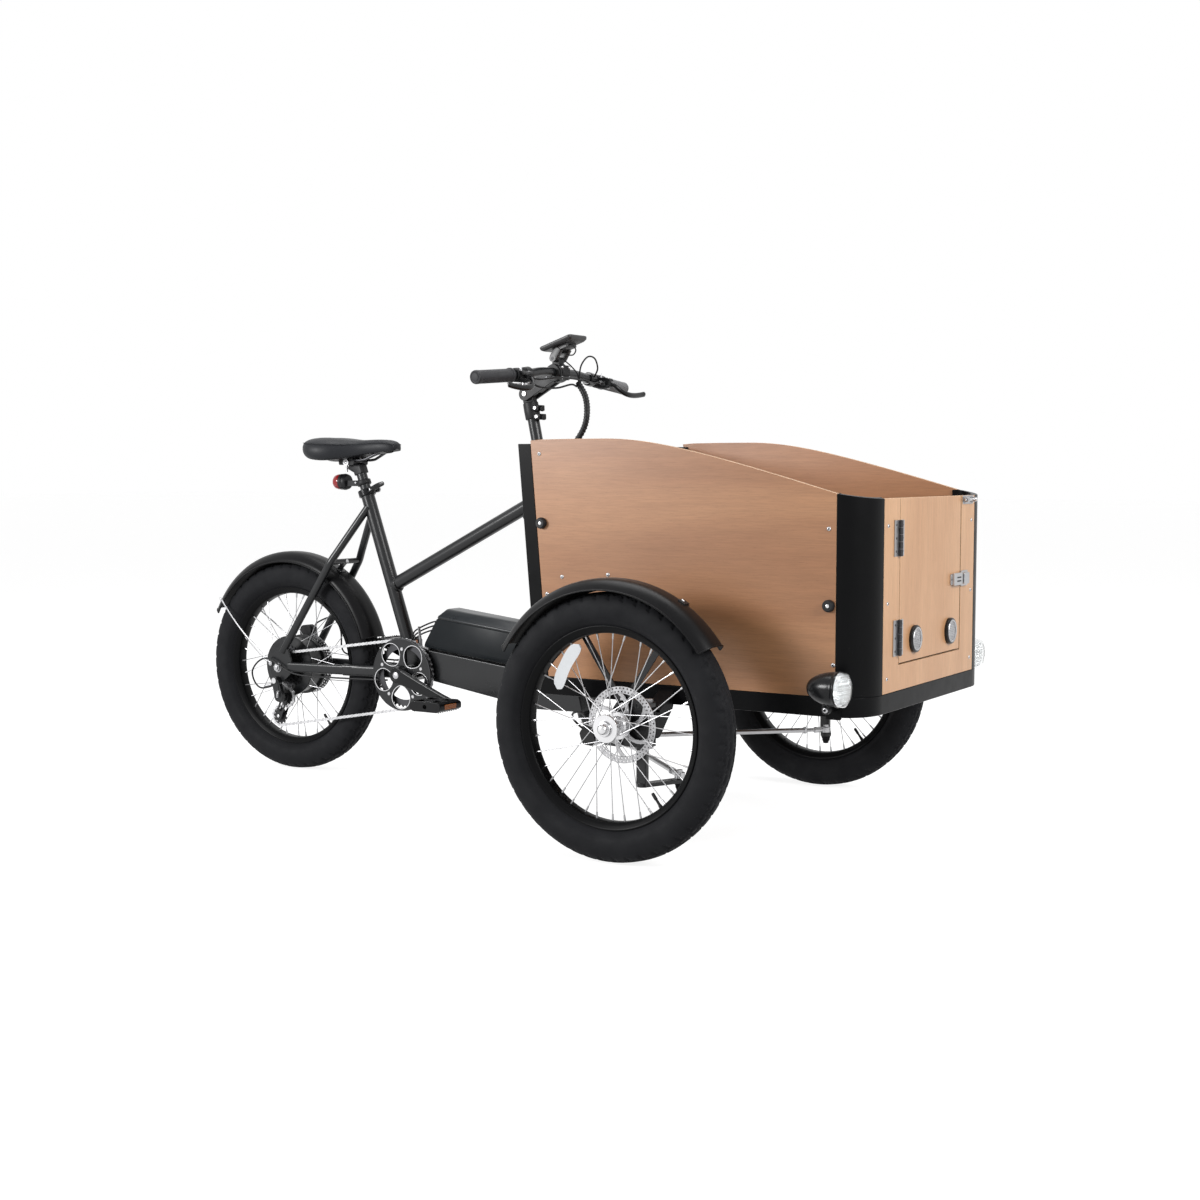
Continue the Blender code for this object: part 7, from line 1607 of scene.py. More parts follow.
boss = lathe(mm((8.5, -56), (22.5, -56), (25, -60), (24, -70), (21.5, -78), (20, -89.5), (15, -90.3),
    (12, -89.5), (11.8, -87), (0, -87)), centre, (0, 1, 0), 44)
make("crank_boss", merge(boss, *legs), "crank", "crank_black", bevel=0.0012)
print("guard radius", GUARD_R)

# %% [markdown]
# ## Cranks
# An arm is skinned through sections that swell at the pedal's eye. Left and right differ only in their turn and
# in the side they stand on, so one function makes both.

# %% Cranks
def crank_arm(side):
    """A broad arm that narrows towards the pedal and swells again round its eye."""
    turn = CRANK_TURN if side < 0 else CRANK_TURN + pi
    rings = []
    for share, half, thick, low in ((-0.115, 0.006, 0.005, 0), (-0.1, 0.0125, 0.0062, 0), (-0.06, 0.0178,
            0.0066, 0), (0.0, 0.0196, 0.0068, 0), (0.1, 0.0186, 0.0068, 0.0001), (0.3, 0.016, 0.0066, 0.0002),
            (0.6, 0.0136, 0.0064, 0.0002), (0.86, 0.0122, 0.0062, 0), (0.96, 0.0124, 0.0062, 0), (1.0, 0.0122,
            0.0062, 0), (1.04, 0.0104, 0.006, 0), (1.066, 0.0062, 0.005, 0)):
        spot = vec(on_crank(turn, CRANK_REACH * share)[0], side * (ARM_Y[side] + low), on_crank(turn,
            CRANK_REACH * share)[1])
        across = vec(-sin(turn), 0, cos(turn))
        ring = []
        for a, b in soft_bar((2 * half, 2 * thick), 0.0052, 5):
            ring.append(spot + across * a + vec(0, side * b, 0))
        rings.append(ring)
    return skin(rings)


arms, caps = [], []
for side in (-1, 1):
    turn = CRANK_TURN if side < 0 else CRANK_TURN + pi
    x, z = on_crank(turn, CRANK_REACH)
    arms.append(crank_arm(side))
    face = side * (ARM_Y[side] + 0.0063)
    caps.append(lathe(corners(0.003, 0.0082, 0, 0.001), (x, face, z), (0, side, 0), 28))
    caps.append(lathe(mm((0, 0), (8.8, 0), (8.8, 1.2), (7, 2.6), (0, 3)), (centre.x, face, centre.z),
        (0, side, 0), 28))
left_boss = lathe(mm((8.5, 39), (17, 39), (19, 62), (19.6, 66), (8.5, 66)), centre, (0, 1, 0), 36)
make("crank_arms", merge(*arms, left_boss), "crank", "crank_black", smooth=40)
make("crank_caps", merge(*caps), "crank", "zinc")
spindle = rod((centre.x, -0.086, centre.z), (centre.x, 0.07, centre.z), 0.0085, 24)
make("crank_spindle", spindle, "crank", "dark_steel")

# %% [markdown]
# ## Pedals
# A platform pedal is a toothed cage round a central barrel, with an amber reflector set in each long side.

# %% Pedals
def pedal_cage(x, z, y0, y1):
    half_l, half_h = 0.0465, 0.0125
    outer = rounded([(x - half_l, z - half_h * 0.55), (x - half_l + 0.01, z - half_h), (x + half_l - 0.01,
        z - half_h), (x + half_l, z - half_h * 0.55), (x + half_l, z + half_h * 0.55), (x + half_l - 0.01,
        z + half_h), (x - half_l + 0.01, z + half_h), (x - half_l, z + half_h * 0.55)], 0.003, 3)
    body = prism(outer, "Y", y0, y1)
    cuts = []
    for low, high in ((-0.037, -0.0105), (0.0105, 0.037)):
        for a, b in ((y0 + 0.0085, y0 + 0.04), (y0 + 0.048, y1 - 0.0085)):
            cut = rounded(corners(x + low, x + high, a, b), 0.006, 4)
            cuts.append(prism(cut, "Z", z - 0.03, z + 0.03))
    cuts.append(lathe(mm((5.4, -20), (5.4, 120), (0, 120), (0, -20)), (x, y0, z), (0, 1, 0), 20))
    for end in (-1, 1):
        low, high = sorted((x + end * (half_l - 0.003), x + end * (half_l + 0.01)))
        cuts.append(block((low, y0 + 0.02, z - 0.0068), (high, y1 - 0.02, z + 0.0068)))
    spikes = []
    for end in (-1, 1):
        for k in range(9):
            y = y0 + 0.008 + k * (y1 - y0 - 0.016) / 8
            for s in (-1, 1):
                spikes.append(rod((x + end * (half_l - 0.0105), y, z + s * (half_h - 0.001)),
                    (x + end * (half_l - 0.0105), y, z + s * (half_h + 0.0016)), 0.0016, 8, 0.001))
    return carved(body, cuts), merge(*spikes)


for name, side in SIDES:
    turn = CRANK_TURN if side < 0 else CRANK_TURN + pi
    x, z = on_crank(turn, CRANK_REACH)
    y0, y1 = sorted((side * (ARM_Y[side] + 0.009), side * (ARM_Y[side] + 0.097)))
    cage, spikes = pedal_cage(x, z, y0, y1)
    make("pedal_cage_" + name, cage, "pedal_" + name, "pedal_black", "pedal_" + name, bevel=0.001)
    make("pedal_spikes_" + name, spikes, "pedal_" + name, "pedal_black")
    ambers = []
    for end in (-1, 1):
        low, high = sorted((x + end * 0.0438, x + end * 0.0468))
        ambers.append(block((low, y0 + 0.0208, z - 0.0062), (high, y1 - 0.0208, z + 0.0062)))
    make("pedal_reflectors_" + name, merge(*ambers), "pedal_" + name, "reflector_amber", bevel=0.0006)
    tip = side * (ARM_Y[side] + 0.0845)
    axle = rod((x, side * (ARM_Y[side] - 0.006), z), (x, tip, z), 0.0045, 20)
    collar = lathe(corners(0.0045, 0.0078, 0, 0.0018), (x, side * (ARM_Y[side] + 0.0066), z), (0, side, 0), 6)
    make("pedal_axle_" + name, merge(axle, collar), "crank", "zinc")

# %% [markdown]
# ## Battery
# A case with a bevelled lid, joined at a seam, that slides on a rail on the sloping beam.

# %% Battery
SLOPE = radians(-6.5)
CASE_HALF, CASE_SIDE, CROWN_HALF, CASE_TOP = 0.05, 0.084, 0.026, 0.104
CASE_REAR, CASE_FRONT, CASE_LIFT, REAR_LEAN = -0.841, -0.471, 0.0053, 0.038


def on_beam(x, y, lift):
    return at(x - sin(SLOPE) * lift, y, beam_top(x) + cos(SLOPE) * lift)


def case_rings(section, inset=0.0):
    """The section at both ends, which lean in towards the top, with the end edges softened."""
    middle = sum(lift for _, lift in section) / len(section)
    rings = []
    for x, lean, shrink in ((CASE_REAR + inset, 1.0, 0.004), (CASE_REAR + inset + 0.0012, 1.0, 0.0014),
            (CASE_REAR + inset + 0.004, 1.0, 0.0), (CASE_FRONT - inset - 0.004, -0.4, 0.0),
            (CASE_FRONT - inset - 0.0012, -0.4, 0.0014), (CASE_FRONT - inset, -0.4, 0.004)):
        ring = []
        for y, lift in section:
            a = y - shrink * (1 if y > 0 else -1) * min(1.0, abs(y) / 0.02)
            b = lift - shrink * max(-1.0, min(1.0, (lift - middle) / 0.01))
            ring.append(on_beam(x + lean * REAR_LEAN * b / CASE_SIDE, a, b + CASE_LIFT))
        rings.append(ring)
    return skin(rings)


SEAM = 0.0795
lower = rounded([(-CASE_HALF + 0.004, 0), (CASE_HALF - 0.004, 0), (CASE_HALF, 0.01),
    (CASE_HALF, SEAM - 0.0006), (-CASE_HALF, SEAM - 0.0006), (-CASE_HALF, 0.01)], 0.003, 3)
core = corners(-CASE_HALF + 0.0016, CASE_HALF - 0.0016, 0.012, SEAM + 0.006)
lid = rounded([(-CASE_HALF, SEAM + 0.0006), (CASE_HALF, SEAM + 0.0006), (CASE_HALF, CASE_SIDE),
    (CROWN_HALF, CASE_TOP), (-CROWN_HALF, CASE_TOP), (-CASE_HALF, CASE_SIDE)], 0.0045, 4)
make("battery_case", case_rings(lower), "battery", "battery_case", "battery", smooth=50)
make("battery_seam", case_rings(core, 0.0015), "battery", "plastic", smooth=0)
# The lid's lighter finish is partly its own plastic, partly a painted sheen on the battery's top.
make("battery_lid", case_rings(lid), "battery", "battery_lid", smooth=30)
make("battery_lock", lathe(mm((2, 0), (6.2, 0), (6.2, 0.6), (5.6, 1.2), (2.8, 1.2), (2.6, 0.4), (2, 0.4)),
    on_beam(CASE_FRONT - 0.06, -CASE_HALF, 0.034), (0, -1, 0), 28), "battery", "dark_steel")

rail = []
for x in (-0.849, -0.475):
    rail.append([on_beam(x, y, lift) for y, lift in ((-0.03, 0.0003), (0.03, 0.0003), (0.03, 0.005),
        (-0.03, 0.005))])
make("battery_rail", skin(rail), "frame", "plastic", "battery_dock", bevel=0.0008)
print("battery length", round(CASE_FRONT - CASE_REAR, 3))

# %% [markdown]
# ## Battery dock
# The dock's plate stands at the battery's lower end, with a small bent bracket beside it. Three leads leave the
# battery there and go into the frame. Each is a free cord between two fixed places.

# %% Battery dock
def dock_strap(x, y0, y1, route, thickness):
    rings = []
    for y in (y0, y1):
        outer_side = [on_beam(x + a + REAR_LEAN * b / CASE_SIDE, y, b) for a, b in route]
        inner_side = [on_beam(x + a - thickness + REAR_LEAN * b / CASE_SIDE, y, b - (0.0006 if b < 0.005
            else 0)) for a, b in route]
        rings.append(outer_side + inner_side[::-1])
    return skin(rings)


upright = dock_strap(-0.8434, -0.02, 0.02, [(0.0008, 0.056), (0.0008, 0.0008)], 0.002)
make("dock_plate", upright, "frame", "silver_plastic", bevel=0.0005)
tab = prism([(X0 - 0.856, beam_top(-0.856) + 0.001), (X0 - 0.824, beam_top(-0.824) + 0.001),
    (X0 - 0.824, beam_top(-0.824) + 0.0034), (X0 - 0.856, beam_top(-0.856) + 0.0034)], "Y", -0.047, -0.031)
riser = strap([at(-0.86, -0.0385, 0.406), at(-0.852, -0.0385, 0.356), at(-0.846, -0.0385, 0.353)],
    rectangle(0.009, 0.0018), up=(1, 0, 0.2))
make("dock_bracket", merge(tab, riser), "frame", "silver_plastic", bevel=0.0004)
for k, (y, lift) in enumerate(((-0.03, 0.064), (-0.022, 0.052), (-0.014, 0.04))):
    start = on_beam(CASE_REAR + REAR_LEAN * lift / CASE_SIDE + 0.004, y, lift + CASE_LIFT)
    route = [start, start + vec(-0.016, -0.002, 0.004), at(-0.873 - 0.004 * k, y * 0.6, 0.4 - 0.01 * k),
             at(-0.893 - 0.003 * k, -0.019, 0.384 - 0.014 * k),
             at(-0.901 - 0.002 * k, -0.0215, 0.345 - 0.01 * k), at(BB[0] - 0.014, -0.025, 0.309)]
    free_cord("battery_lead_%d" % k, route, 0.0021, "frame")

# %% [markdown]
# ## Mudguards
# Crowned sheets with a rolled lip. The front ones stand on two flat stays each and turn with the wheel.

# %% Mudguard sheet
CROWN_R, EDGE_R, GUARD_W, SHEET, LIFT = 0.296, 0.274, 0.045, 0.0022, 0.0105


def guard_shapes(centre, first, last, edge):
    """A crowned sheet with rounded end corners, and the rolled lip along its edge."""
    steps, spread = 72, 16
    sheet, lips = [], [[], []]
    for k in range(steps + 1):
        share = k / steps
        turn = radians(first + (last - first) * share)
        way = vec(cos(turn), 0, sin(turn))
        ring_out, ring_in = [], []
        for i in range(spread + 1):
            a = -1 + 2 * i / spread
            radius = CROWN_R - (CROWN_R - edge) * abs(a) ** 3.4
            place = centre + way * radius + vec(0, a * GUARD_W, LIFT)
            ring_out.append(place)
            ring_in.append(place - way * SHEET - vec(0, a * SHEET * 0.5, 0))
        lips[0].append(ring_out[0] - way * 0.0008)
        lips[1].append(ring_out[-1] - way * 0.0008)
        sheet.append(ring_out + ring_in[::-1])
    hem = [tube(lips[0], 0.0019, 10), tube(lips[1], 0.0019, 10)]
    for k in (0, -1):
        hem.append(tube(sheet[k][:spread + 1], 0.0017, 8))
    return skin(sheet), merge(*hem)


print("mudguard width", 2 * GUARD_W)

# %% [markdown]
# ## Front mudguards
# Two flat stays in a V carry each front mudguard. They bolt to the knuckle, so the mudguard turns with its wheel.

# %% Front mudguards
for name, side in SIDES:
    body = "knuckle_" + name
    hub = at(0, side * WHEEL_Y, AXLE)
    sheet, hem = guard_shapes(hub, 35, 150, EDGE_R)
    pads, rivets = [], []
    for turn in (radians(58), radians(121)):
        way = vec(cos(turn), 0, sin(turn))
        around = vec(-way.z, 0, way.x)
        spot = hub + way * (CROWN_R - 0.0016) + vec(0, -side * 0.016, LIFT)
        pads.append(strap([spot - around * 0.0085, spot + around * 0.0085], soft_bar((0.022, 0.008), 0.002,
            2), up=way))
        rivets.append(dome_screw(spot + way * 0.0038 + around * 0.003, way, 0.0036, 0.0022))
    make("front_guard_pads_" + name, merge(*pads), body, "plastic", bevel=0.0006)
    make("front_guard_rivets_" + name, merge(*rivets), body, "polished")
    make("front_guard_" + name, sheet, body, "guard_paint", "fender_" + name, smooth=60)
    make("front_guard_lip_" + name, hem, body, "guard_paint", smooth=60)
    y = side * 0.4653
    foot_place = at(0, y, 0.318)
    stays, bolts = [], []
    for lean in (-1, 1):
        tip = at(lean * 0.148, y, 0.5345)
        aim = (tip - foot_place).normalized()
        across = vec(-aim.z, 0, aim.x)
        rings = []
        for share, half in ((0.0, 0.0085), (0.1, 0.0085), (0.14, 0.0072), (0.93, 0.0072), (1.0, 0.006)):
            spot = foot_place.lerp(tip, share)
            rings.append([spot + across * half * s + vec(0, t * 0.002, 0) for s, t in ((-1, -1), (1, -1),
                (1, 1), (-1, 1))])
        stays.append(skin(rings))
        bolts.append(dome_screw(foot_place.lerp(tip, 0.97) + vec(0, side * 0.002, 0), (0, side, 0), 0.0036,
            0.0022))
    disc = lathe(corners(0, 0.0118, -0.002, 0.002), foot_place, (0, side, 0), 32)
    bolts.append(lathe(mm((0, 1.8), (7.2, 1.8), (7.2, 5), (6, 6), (0, 6)), foot_place, (0, side, 0), 6))
    bolts.append(lathe(mm((0, 0), (7, 0), (7, 5), (0, 5.6)), foot_place + vec(0, 0, 0.011), (0, 0, 1), 6))
    make("front_guard_stays_" + name, merge(*stays, disc), body, "frame_paint", bevel=0.0004)
    make("front_guard_bolts_" + name, merge(*bolts), body, "zinc")


# %% [markdown]
# ## Rear mudguard
# The rear one hangs from the bridge between the seat stays, and two wires from the axle plates steady its end.

# %% Rear mudguard
hub = at(REAR_X, 0, AXLE)
lift = vec(0, 0, LIFT)
sheet, hem = guard_shapes(hub, 16, 153, 0.27)
make("rear_guard", sheet, "frame", "guard_paint", "rear_fender", smooth=60)
make("rear_guard_lip", hem, "frame", "guard_paint", smooth=60)
bridge_place = at(BRIDGE[0], 0, BRIDGE[2])
way = (bridge_place - hub).normalized()
clip = strap([hub + lift + way * (CROWN_R - 0.001), bridge_place - way * 0.006], soft_bar((0.003, 0.024),
    0.001, 2), up=(0, 1, 0))
saddle_strip = strap([hub + lift + way * (CROWN_R + 0.0004) + vec(way.z, 0, -way.x) * s for s in (-0.016,
    0.016)], rectangle(0.02, 0.002), up=way)
make("rear_guard_clip", merge(clip, saddle_strip), "frame", "frame_paint", bevel=0.0004)
make("rear_guard_bolt", dome_screw(bridge_place + vec(0.0072, 0, 0), (1, 0, 0.1), 0.0052, 0.0034), "frame",
    "zinc")
wires, eyes = [], []
for side in (-1, 1):
    turn = radians(145)
    tip = hub + lift + vec(cos(turn), 0, sin(turn)) * 0.279 + vec(0, side * 0.0452, 0)
    eye = hub + vec(-0.024, side * 0.0758, 0.01)
    knee = tip.lerp(eye, 0.52) + vec(0, side * 0.012, 0)
    wires.append(tube([tip + (tip - knee).normalized() * 0.006, tip, tip.lerp(knee, 0.5) + vec(0,
        side * 0.003, 0), knee, knee.lerp(eye, 0.5), eye + vec(0.004, side * 0.0012, -0.002)], 0.0021, 12, 6))
    eyes.append(lathe(corners(0.0022, 0.006, -0.0018, 0.0018), eye, (0, side, 0), 20))
    eyes.append(dome_screw(eye + vec(0, side * 0.0016, 0), (0, side, 0), 0.004, 0.0026))
    eyes.append(dome_screw(tip + vec(0, side * 0.0018, 0), (0, side, 0), 0.0036, 0.0024))
make("rear_guard_wires", merge(*wires), "frame", "spoke_steel", smooth=60)
make("rear_guard_eyes", merge(*eyes), "frame", "zinc")

# %% [markdown]
# ## Steering knuckle
# The column's fork moves two rods. Each rod turns a knuckle that carries a wheel on its stub axle. A knuckle is
# cut from plate and welded: an upright, two lugs for the kingpin, an arm for the rod and a tab for the brake.

# %% Knuckle shape
KINGPIN = (0.04, 0.43)
BALL = (0.08, 0.37)
ARM_LOW, ARM_HIGH, PIN_HALF, LUG_H = 0.15, 0.158, 0.036, 0.01


def knuckle_shape(side):
    x, y = KINGPIN
    low, high = AXLE - PIN_HALF - GAP, AXLE + PIN_HALF + GAP
    outline = [(x - 0.07, low + 0.03), (x - 0.052, low - LUG_H), (x + 0.018, low - LUG_H),
        (x + 0.018, high + LUG_H), (x - 0.016, 0.331), (x - 0.052, 0.331), (x - 0.07, AXLE + 0.03)]
    low_y, high_y = sorted((side * 0.452, side * 0.463))
    plate = prism([(X0 + a, b) for a, b in rounded(outline, 0.012, 5)], "Y", low_y, high_y)
    parts = [plate]
    for z0, z1 in ((low - LUG_H + 0.0005, low), (high, high + LUG_H - 0.0005)):
        lug = link((X0 + x, y), 0.0148, (X0 + x, 0.454), 0.0146, 14)
        parts.append(prism([(a, side * b) for a, b in lug], "Z", z0, z1))
    leg_low, leg_high = sorted((side * 0.449, side * 0.4625))
    parts.append(prism(rounded(corners(X0 + x - 0.012, X0 + x + 0.012, leg_low, leg_high), 0.003, 3), "Z",
        ARM_LOW, low - 0.002))
    arm = link((X0 + x, 0.456), 0.0115, (X0 + BALL[0], BALL[1]), 0.013, 14)
    parts.append(prism([(a, side * b) for a, b in arm], "Z", ARM_LOW, ARM_HIGH))
    outer = side * 0.463
    parts.append(lathe(mm((0, -2), (18.5, -2), (16.5, 6), (13, 9), (13, 12), (0, 12)), (X0, outer, AXLE),
        (0, side, 0), 32))
    mount = rounded([(x - 0.066, AXLE + 0.012), (x - 0.066, AXLE - 0.032), (-0.092, AXLE - 0.044),
        (-0.097, AXLE - 0.022)], 0.004, 3)
    m0, m1 = sorted((side * 0.453, side * 0.4595))
    parts.append(prism([(X0 + a, b) for a, b in mount], "Y", m0, m1))
    return merge(*parts)


print("kingpin at", KINGPIN, "ball at", BALL)

# %% [markdown]
# ## Knuckles and kingpins
# A kingpin is a long bolt through both lugs. The ball's stud stands on the arm, with a rubber boot below it. The
# brake's caliper and its hose ride on the knuckle too.

# %% Knuckles and kingpins
for name, side in SIDES:
    body = "knuckle_" + name
    make("knuckle_" + name, knuckle_shape(side), body, "frame_paint", "knuckle_" + name, bevel=0.001)
    stub = lathe(mm((0, 0), (13, 0), (13, 4), (7.8, 6), (7.8, 60), (0, 60)), (X0, side * 0.462, AXLE),
        (0, side, 0), 28)
    x, y = KINGPIN
    pin_low, pin_high = AXLE - PIN_HALF - LUG_H, AXLE + PIN_HALF + LUG_H
    kingpin = [rod(at(x, side * y, pin_low - 0.006), at(x, side * y, pin_high + 0.001), 0.0058, 20),
        lathe(mm((0, 0), (10.4, 0), (10.4, 5), (9, 6.2), (0, 6.2)), at(x, side * y, pin_high), (0, 0, 1), 6),
        lathe(mm((0, 0), (10, 0), (10, 5), (0, 5.6)), at(x, side * y, pin_low), (0, 0, -1), 6)]
    ball = at(BALL[0], side * BALL[1], ARM_HIGH)
    stud = [rod(ball, ball + vec(0, 0, 0.0184), 0.0034, 16, round_end=0.0006),
        lathe(mm((3, 14.4), (6.6, 14.4), (6.6, 18.6), (5.6, 19.4), (3, 19.4)), ball, (0, 0, 1), 6)]
    make("knuckle_bolts_" + name, merge(*kingpin, *stud), body, "zinc")
    make("stub_axle_" + name, stub, body, "brushed")
    boot = lathe(mm((0, 1), (10.6, 1), (11.2, -2), (8.6, -8), (9.2, -9.4), (6.6, -15), (7, -16.8),
        (4.5, -18.2), (0, -18.2)), at(BALL[0], side * BALL[1], ARM_LOW), (0, 0, 1), 28)
    make("ball_boot_" + name, boot, body, "tyre_rubber")
    fit_caliper("front_caliper_" + name, body, caliper_shapes(at(0, 0, AXLE), radians(200),
        side * (WHEEL_Y - 0.039), -side, True))
    hose_start = at(-0.086, side * 0.46, AXLE - 0.006)
    hose = [hose_start, at(-0.112, side * 0.452, AXLE + 0.014), at(-0.14, side * 0.438, AXLE + 0.01),
        at(-0.15, side * 0.424, AXLE - 0.004), at(-0.132, side * 0.42, AXLE - 0.022), at(-0.104, side * 0.428,
        AXLE - 0.028), at(-0.074, side * 0.44, AXLE - 0.012), at(-0.04, side * 0.444, AXLE + 0.01)]
    free_cord("front_hose_" + name, hose, 0.0024, body)


# %% [markdown]
# ## Tie rods
# A tie rod is a bar with an eye at each end. The outer end is threaded and locked with a nut, because turning it
# sets the track of the wheels. The eyes lie one gap above the fork and the arm.

# %% Tie rods
fork_x = steer_x(0.154) + 0.1
rod_z = ARM_HIGH + GAP + 0.007
for name, side in SIDES:
    inner_eye = at(fork_x, side * 0.03, rod_z + 0.002)
    outer_eye = at(BALL[0], side * BALL[1], rod_z)
    along = (outer_eye - inner_eye).normalized()
    tie = [tube([inner_eye + along * 0.012, outer_eye - along * 0.052], 0.006, 24)]
    ends = []
    for end, out_way in ((inner_eye, along), (outer_eye, -along)):
        ends.append(lathe(mm((4.4, -6.9), (11.2, -6), (11.4, 0), (11.2, 6), (4.4, 6.9)), end, (0, 0, 1), 30))
        ends.append(rod(end + out_way * 0.0095, end + out_way * 0.03, 0.0062, 22, 0.0072))
    thread = [rod(outer_eye - along * 0.028, outer_eye - along * 0.056, 0.0042, 18)]
    for k in range(9):
        thread.append(lathe(mm((4, -0.7), (4.9, 0), (4, 0.7)), outer_eye - along * (0.033 + 0.0021 * k),
            along, 18))
    thread.append(lathe(corners(0.0044, 0.0086, -0.003, 0.003), outer_eye - along * 0.0545, along, 6))
    make("tie_rod_bar_" + name, merge(*tie), "tie_rod_" + name, "brushed", "tie_rod_" + name)
    make("tie_rod_ends_" + name, merge(*ends), "tie_rod_" + name, "zinc", smooth=40)
    make("tie_rod_threads_" + name, merge(*thread), "tie_rod_" + name, "zinc", smooth=40)

# %% [markdown]
# ## Steering column
# The column leans back by twelve degrees. It turns in races in the head tube, and its foot ends in a fork that
# pushes the tie rods. All its pieces are turned round the same slanted line, so they stay true when it steers.

# %% Steering column
PIVOT_Z = 0.985
steer_way = at(steer_x(1.0), 0, 1.0) - at(steer_x(0.0), 0, 0.0)
steer_way.normalize()
foot_z = ARM_LOW
column_foot = at(steer_x(foot_z), 0, foot_z)


def up_column(z):
    return (z - foot_z) / cos(COLUMN_TURN)


low, high, clamp, top = [up_column(z) for z in (0.215, 0.8, 0.925, 0.965)]
column = lathe([(0, 0), (0.0143, 0), (0.0143, low - 0.012), (0.0143, high + 0.004), (0.0143, top - 0.004),
    (0, top - 0.004)], column_foot, steer_way, 40)
races = lathe([(0.0143, low - 0.011), (0.0185, low - 0.011), (0.0206, low - 0.008), (0.0206, low - GAP),
    (0.0143, low - GAP)], column_foot, steer_way, 40)
cap = lathe([(0.0143, high + GAP), (0.0212, high + GAP), (0.0212, high + 0.004), (0.02, high + 0.0075),
    (0.0172, high + 0.0115), (0.0168, high + 0.015), (0.0143, high + 0.015)], column_foot, steer_way, 40)
sleeve = lathe([(0.0143, clamp), (0.0178, clamp), (0.0186, clamp + 0.0015), (0.019, clamp + 0.02),
    (0.0186, top - 0.002), (0.016, top), (0.0143, top)], column_foot, steer_way, 40)
make("column_tube", column, "steering", "frame_paint", "steering_column")
make("column_races", merge(races, cap), "steering", "crank_black")
hinge = at(steer_x(PIVOT_Z), 0, PIVOT_Z)
tongue = merge(rod(hinge - vec(0, 0.011, 0), hinge + vec(0, 0.011, 0), 0.0165, 36),
    strap([at(steer_x(0.955), 0, 0.955), hinge - vec(0, 0, 0.002)], soft_bar((0.0215, 0.029), 0.004, 3),
    up=(1, 0, 0)))
make("column_clamp", merge(sleeve, tongue), "steering", "plastic", smooth=40)
ears, bolts, knobs = [], [], []
for k in range(2):
    z = PIVOT_Z - 0.034 - 0.021 * k
    centre_x = steer_x(z) + 0.0215
    ears.append(strap([at(steer_x(z) + 0.012, 0, z), at(centre_x + 0.007, 0, z)], soft_bar((0.03, 0.014),
        0.003, 3)))
    spot = at(centre_x, 0, z)
    bolts.append(lathe(mm((1.6, 0), (4.2, 0), (4.2, 3), (3.6, 4), (1.9, 4), (1.8, 1.4), (1.6, 1.4)),
        spot + vec(0, -0.015, 0), (0, -1, 0), 24))
    bolts.append(rod(spot + vec(0, -0.015, 0), spot + vec(0, 0.0165, 0), 0.0026, 14))
    knobs.append(lathe(mm((0, 0), (7.2, 0), (7.2, 6), (5.8, 7.4), (0, 7.4)), spot + vec(0.008, -0.002,
        -0.0015), (1, -0.35, 0), 6))
make("column_ears", merge(*ears), "steering", "plastic", smooth=40)
make("column_bolts", merge(*bolts), "steering", "zinc")
make("column_knobs", merge(*knobs), "steering", "plastic", bevel=0.0006)
pin = []
for side in (-1, 1):
    face = hinge + vec(0, side * 0.02, 0)
    pin.append(lathe(mm((0, -2), (6.2, -2), (6.2, 1.6), (5.2, 2.6), (3, 2.8), (2.8, 0.8), (0, 0.8)), face,
        (0, side, 0), 28))
pin.append(rod(hinge - vec(0, 0.0195, 0), hinge + vec(0, 0.0195, 0), 0.004, 20))
make("stem_pivot_bolt", merge(*pin), "steering", "polished")
prongs = []
root = at(steer_x(0.154), 0, 0)
for side in (-1, 1):
    tip = (root.x + 0.1, side * 0.03)
    shift_z = 0.0004 * side
    prongs.append(prism(link((root.x, 0), 0.0225, tip, 0.0128, 16), "Z", ARM_LOW + shift_z,
        ARM_HIGH + shift_z))
make("column_fork", merge(*prongs), "steering", "frame_paint", bevel=0.0012)
print("column foot", tuple(round(v, 3) for v in column_foot))

# %% [markdown]
# ## Stem and bar
# The forked stem turns on the column's pin, and its face plate clamps the bar. The bar is one tube along seven
# points, whose corners are cut off and smoothed as a bending machine would leave them.

# %% Stem and bar
BAR = mm((-474, -320, 1010), (-461, -150, 1023.2), (-463, -70, 1034), (-463, 0, 1034), (-463, 70, 1034),
    (-461, 150, 1023.2), (-474, 320, 1010))
BAR_R = 0.0111


def bar_at(y):
    """The bar's centre at a place across the bike."""
    for (x0, y0, z0), (x1, y1, z1) in zip(BAR, BAR[1:]):
        if y0 <= y <= y1:
            t = (y - y0) / (y1 - y0)
            return at(x0 + t * (x1 - x0), y, z0 + t * (z1 - z0))
    return at(*BAR[-1])


def soft_bends(points, reach, steps=6):
    """The same line with its corners rounded."""
    points = [Vector(p) for p in points]
    out = [points[0]]
    for a, b, c in zip(points, points[1:], points[2:]):
        p, q = b + (a - b).normalized() * reach, b + (c - b).normalized() * reach
        out += [p * (1 - t) ** 2 + b * 2 * t * (1 - t) + q * t ** 2 for t in [k / steps
            for k in range(steps + 1)]]
    return out + [points[-1]]


make("bar_tube", tube(soft_bends([at(*p) for p in BAR], 0.022), BAR_R, 28), "bars", "frame_paint",
    "handlebar")
print("bar from", BAR[0], "to", BAR[-1])

# %% [markdown]
# ## Stem
# Two cheeks and a web run from the column's pin to a socket round the bar, and a face plate with four bolts
# closes it. The display stands on a post above.

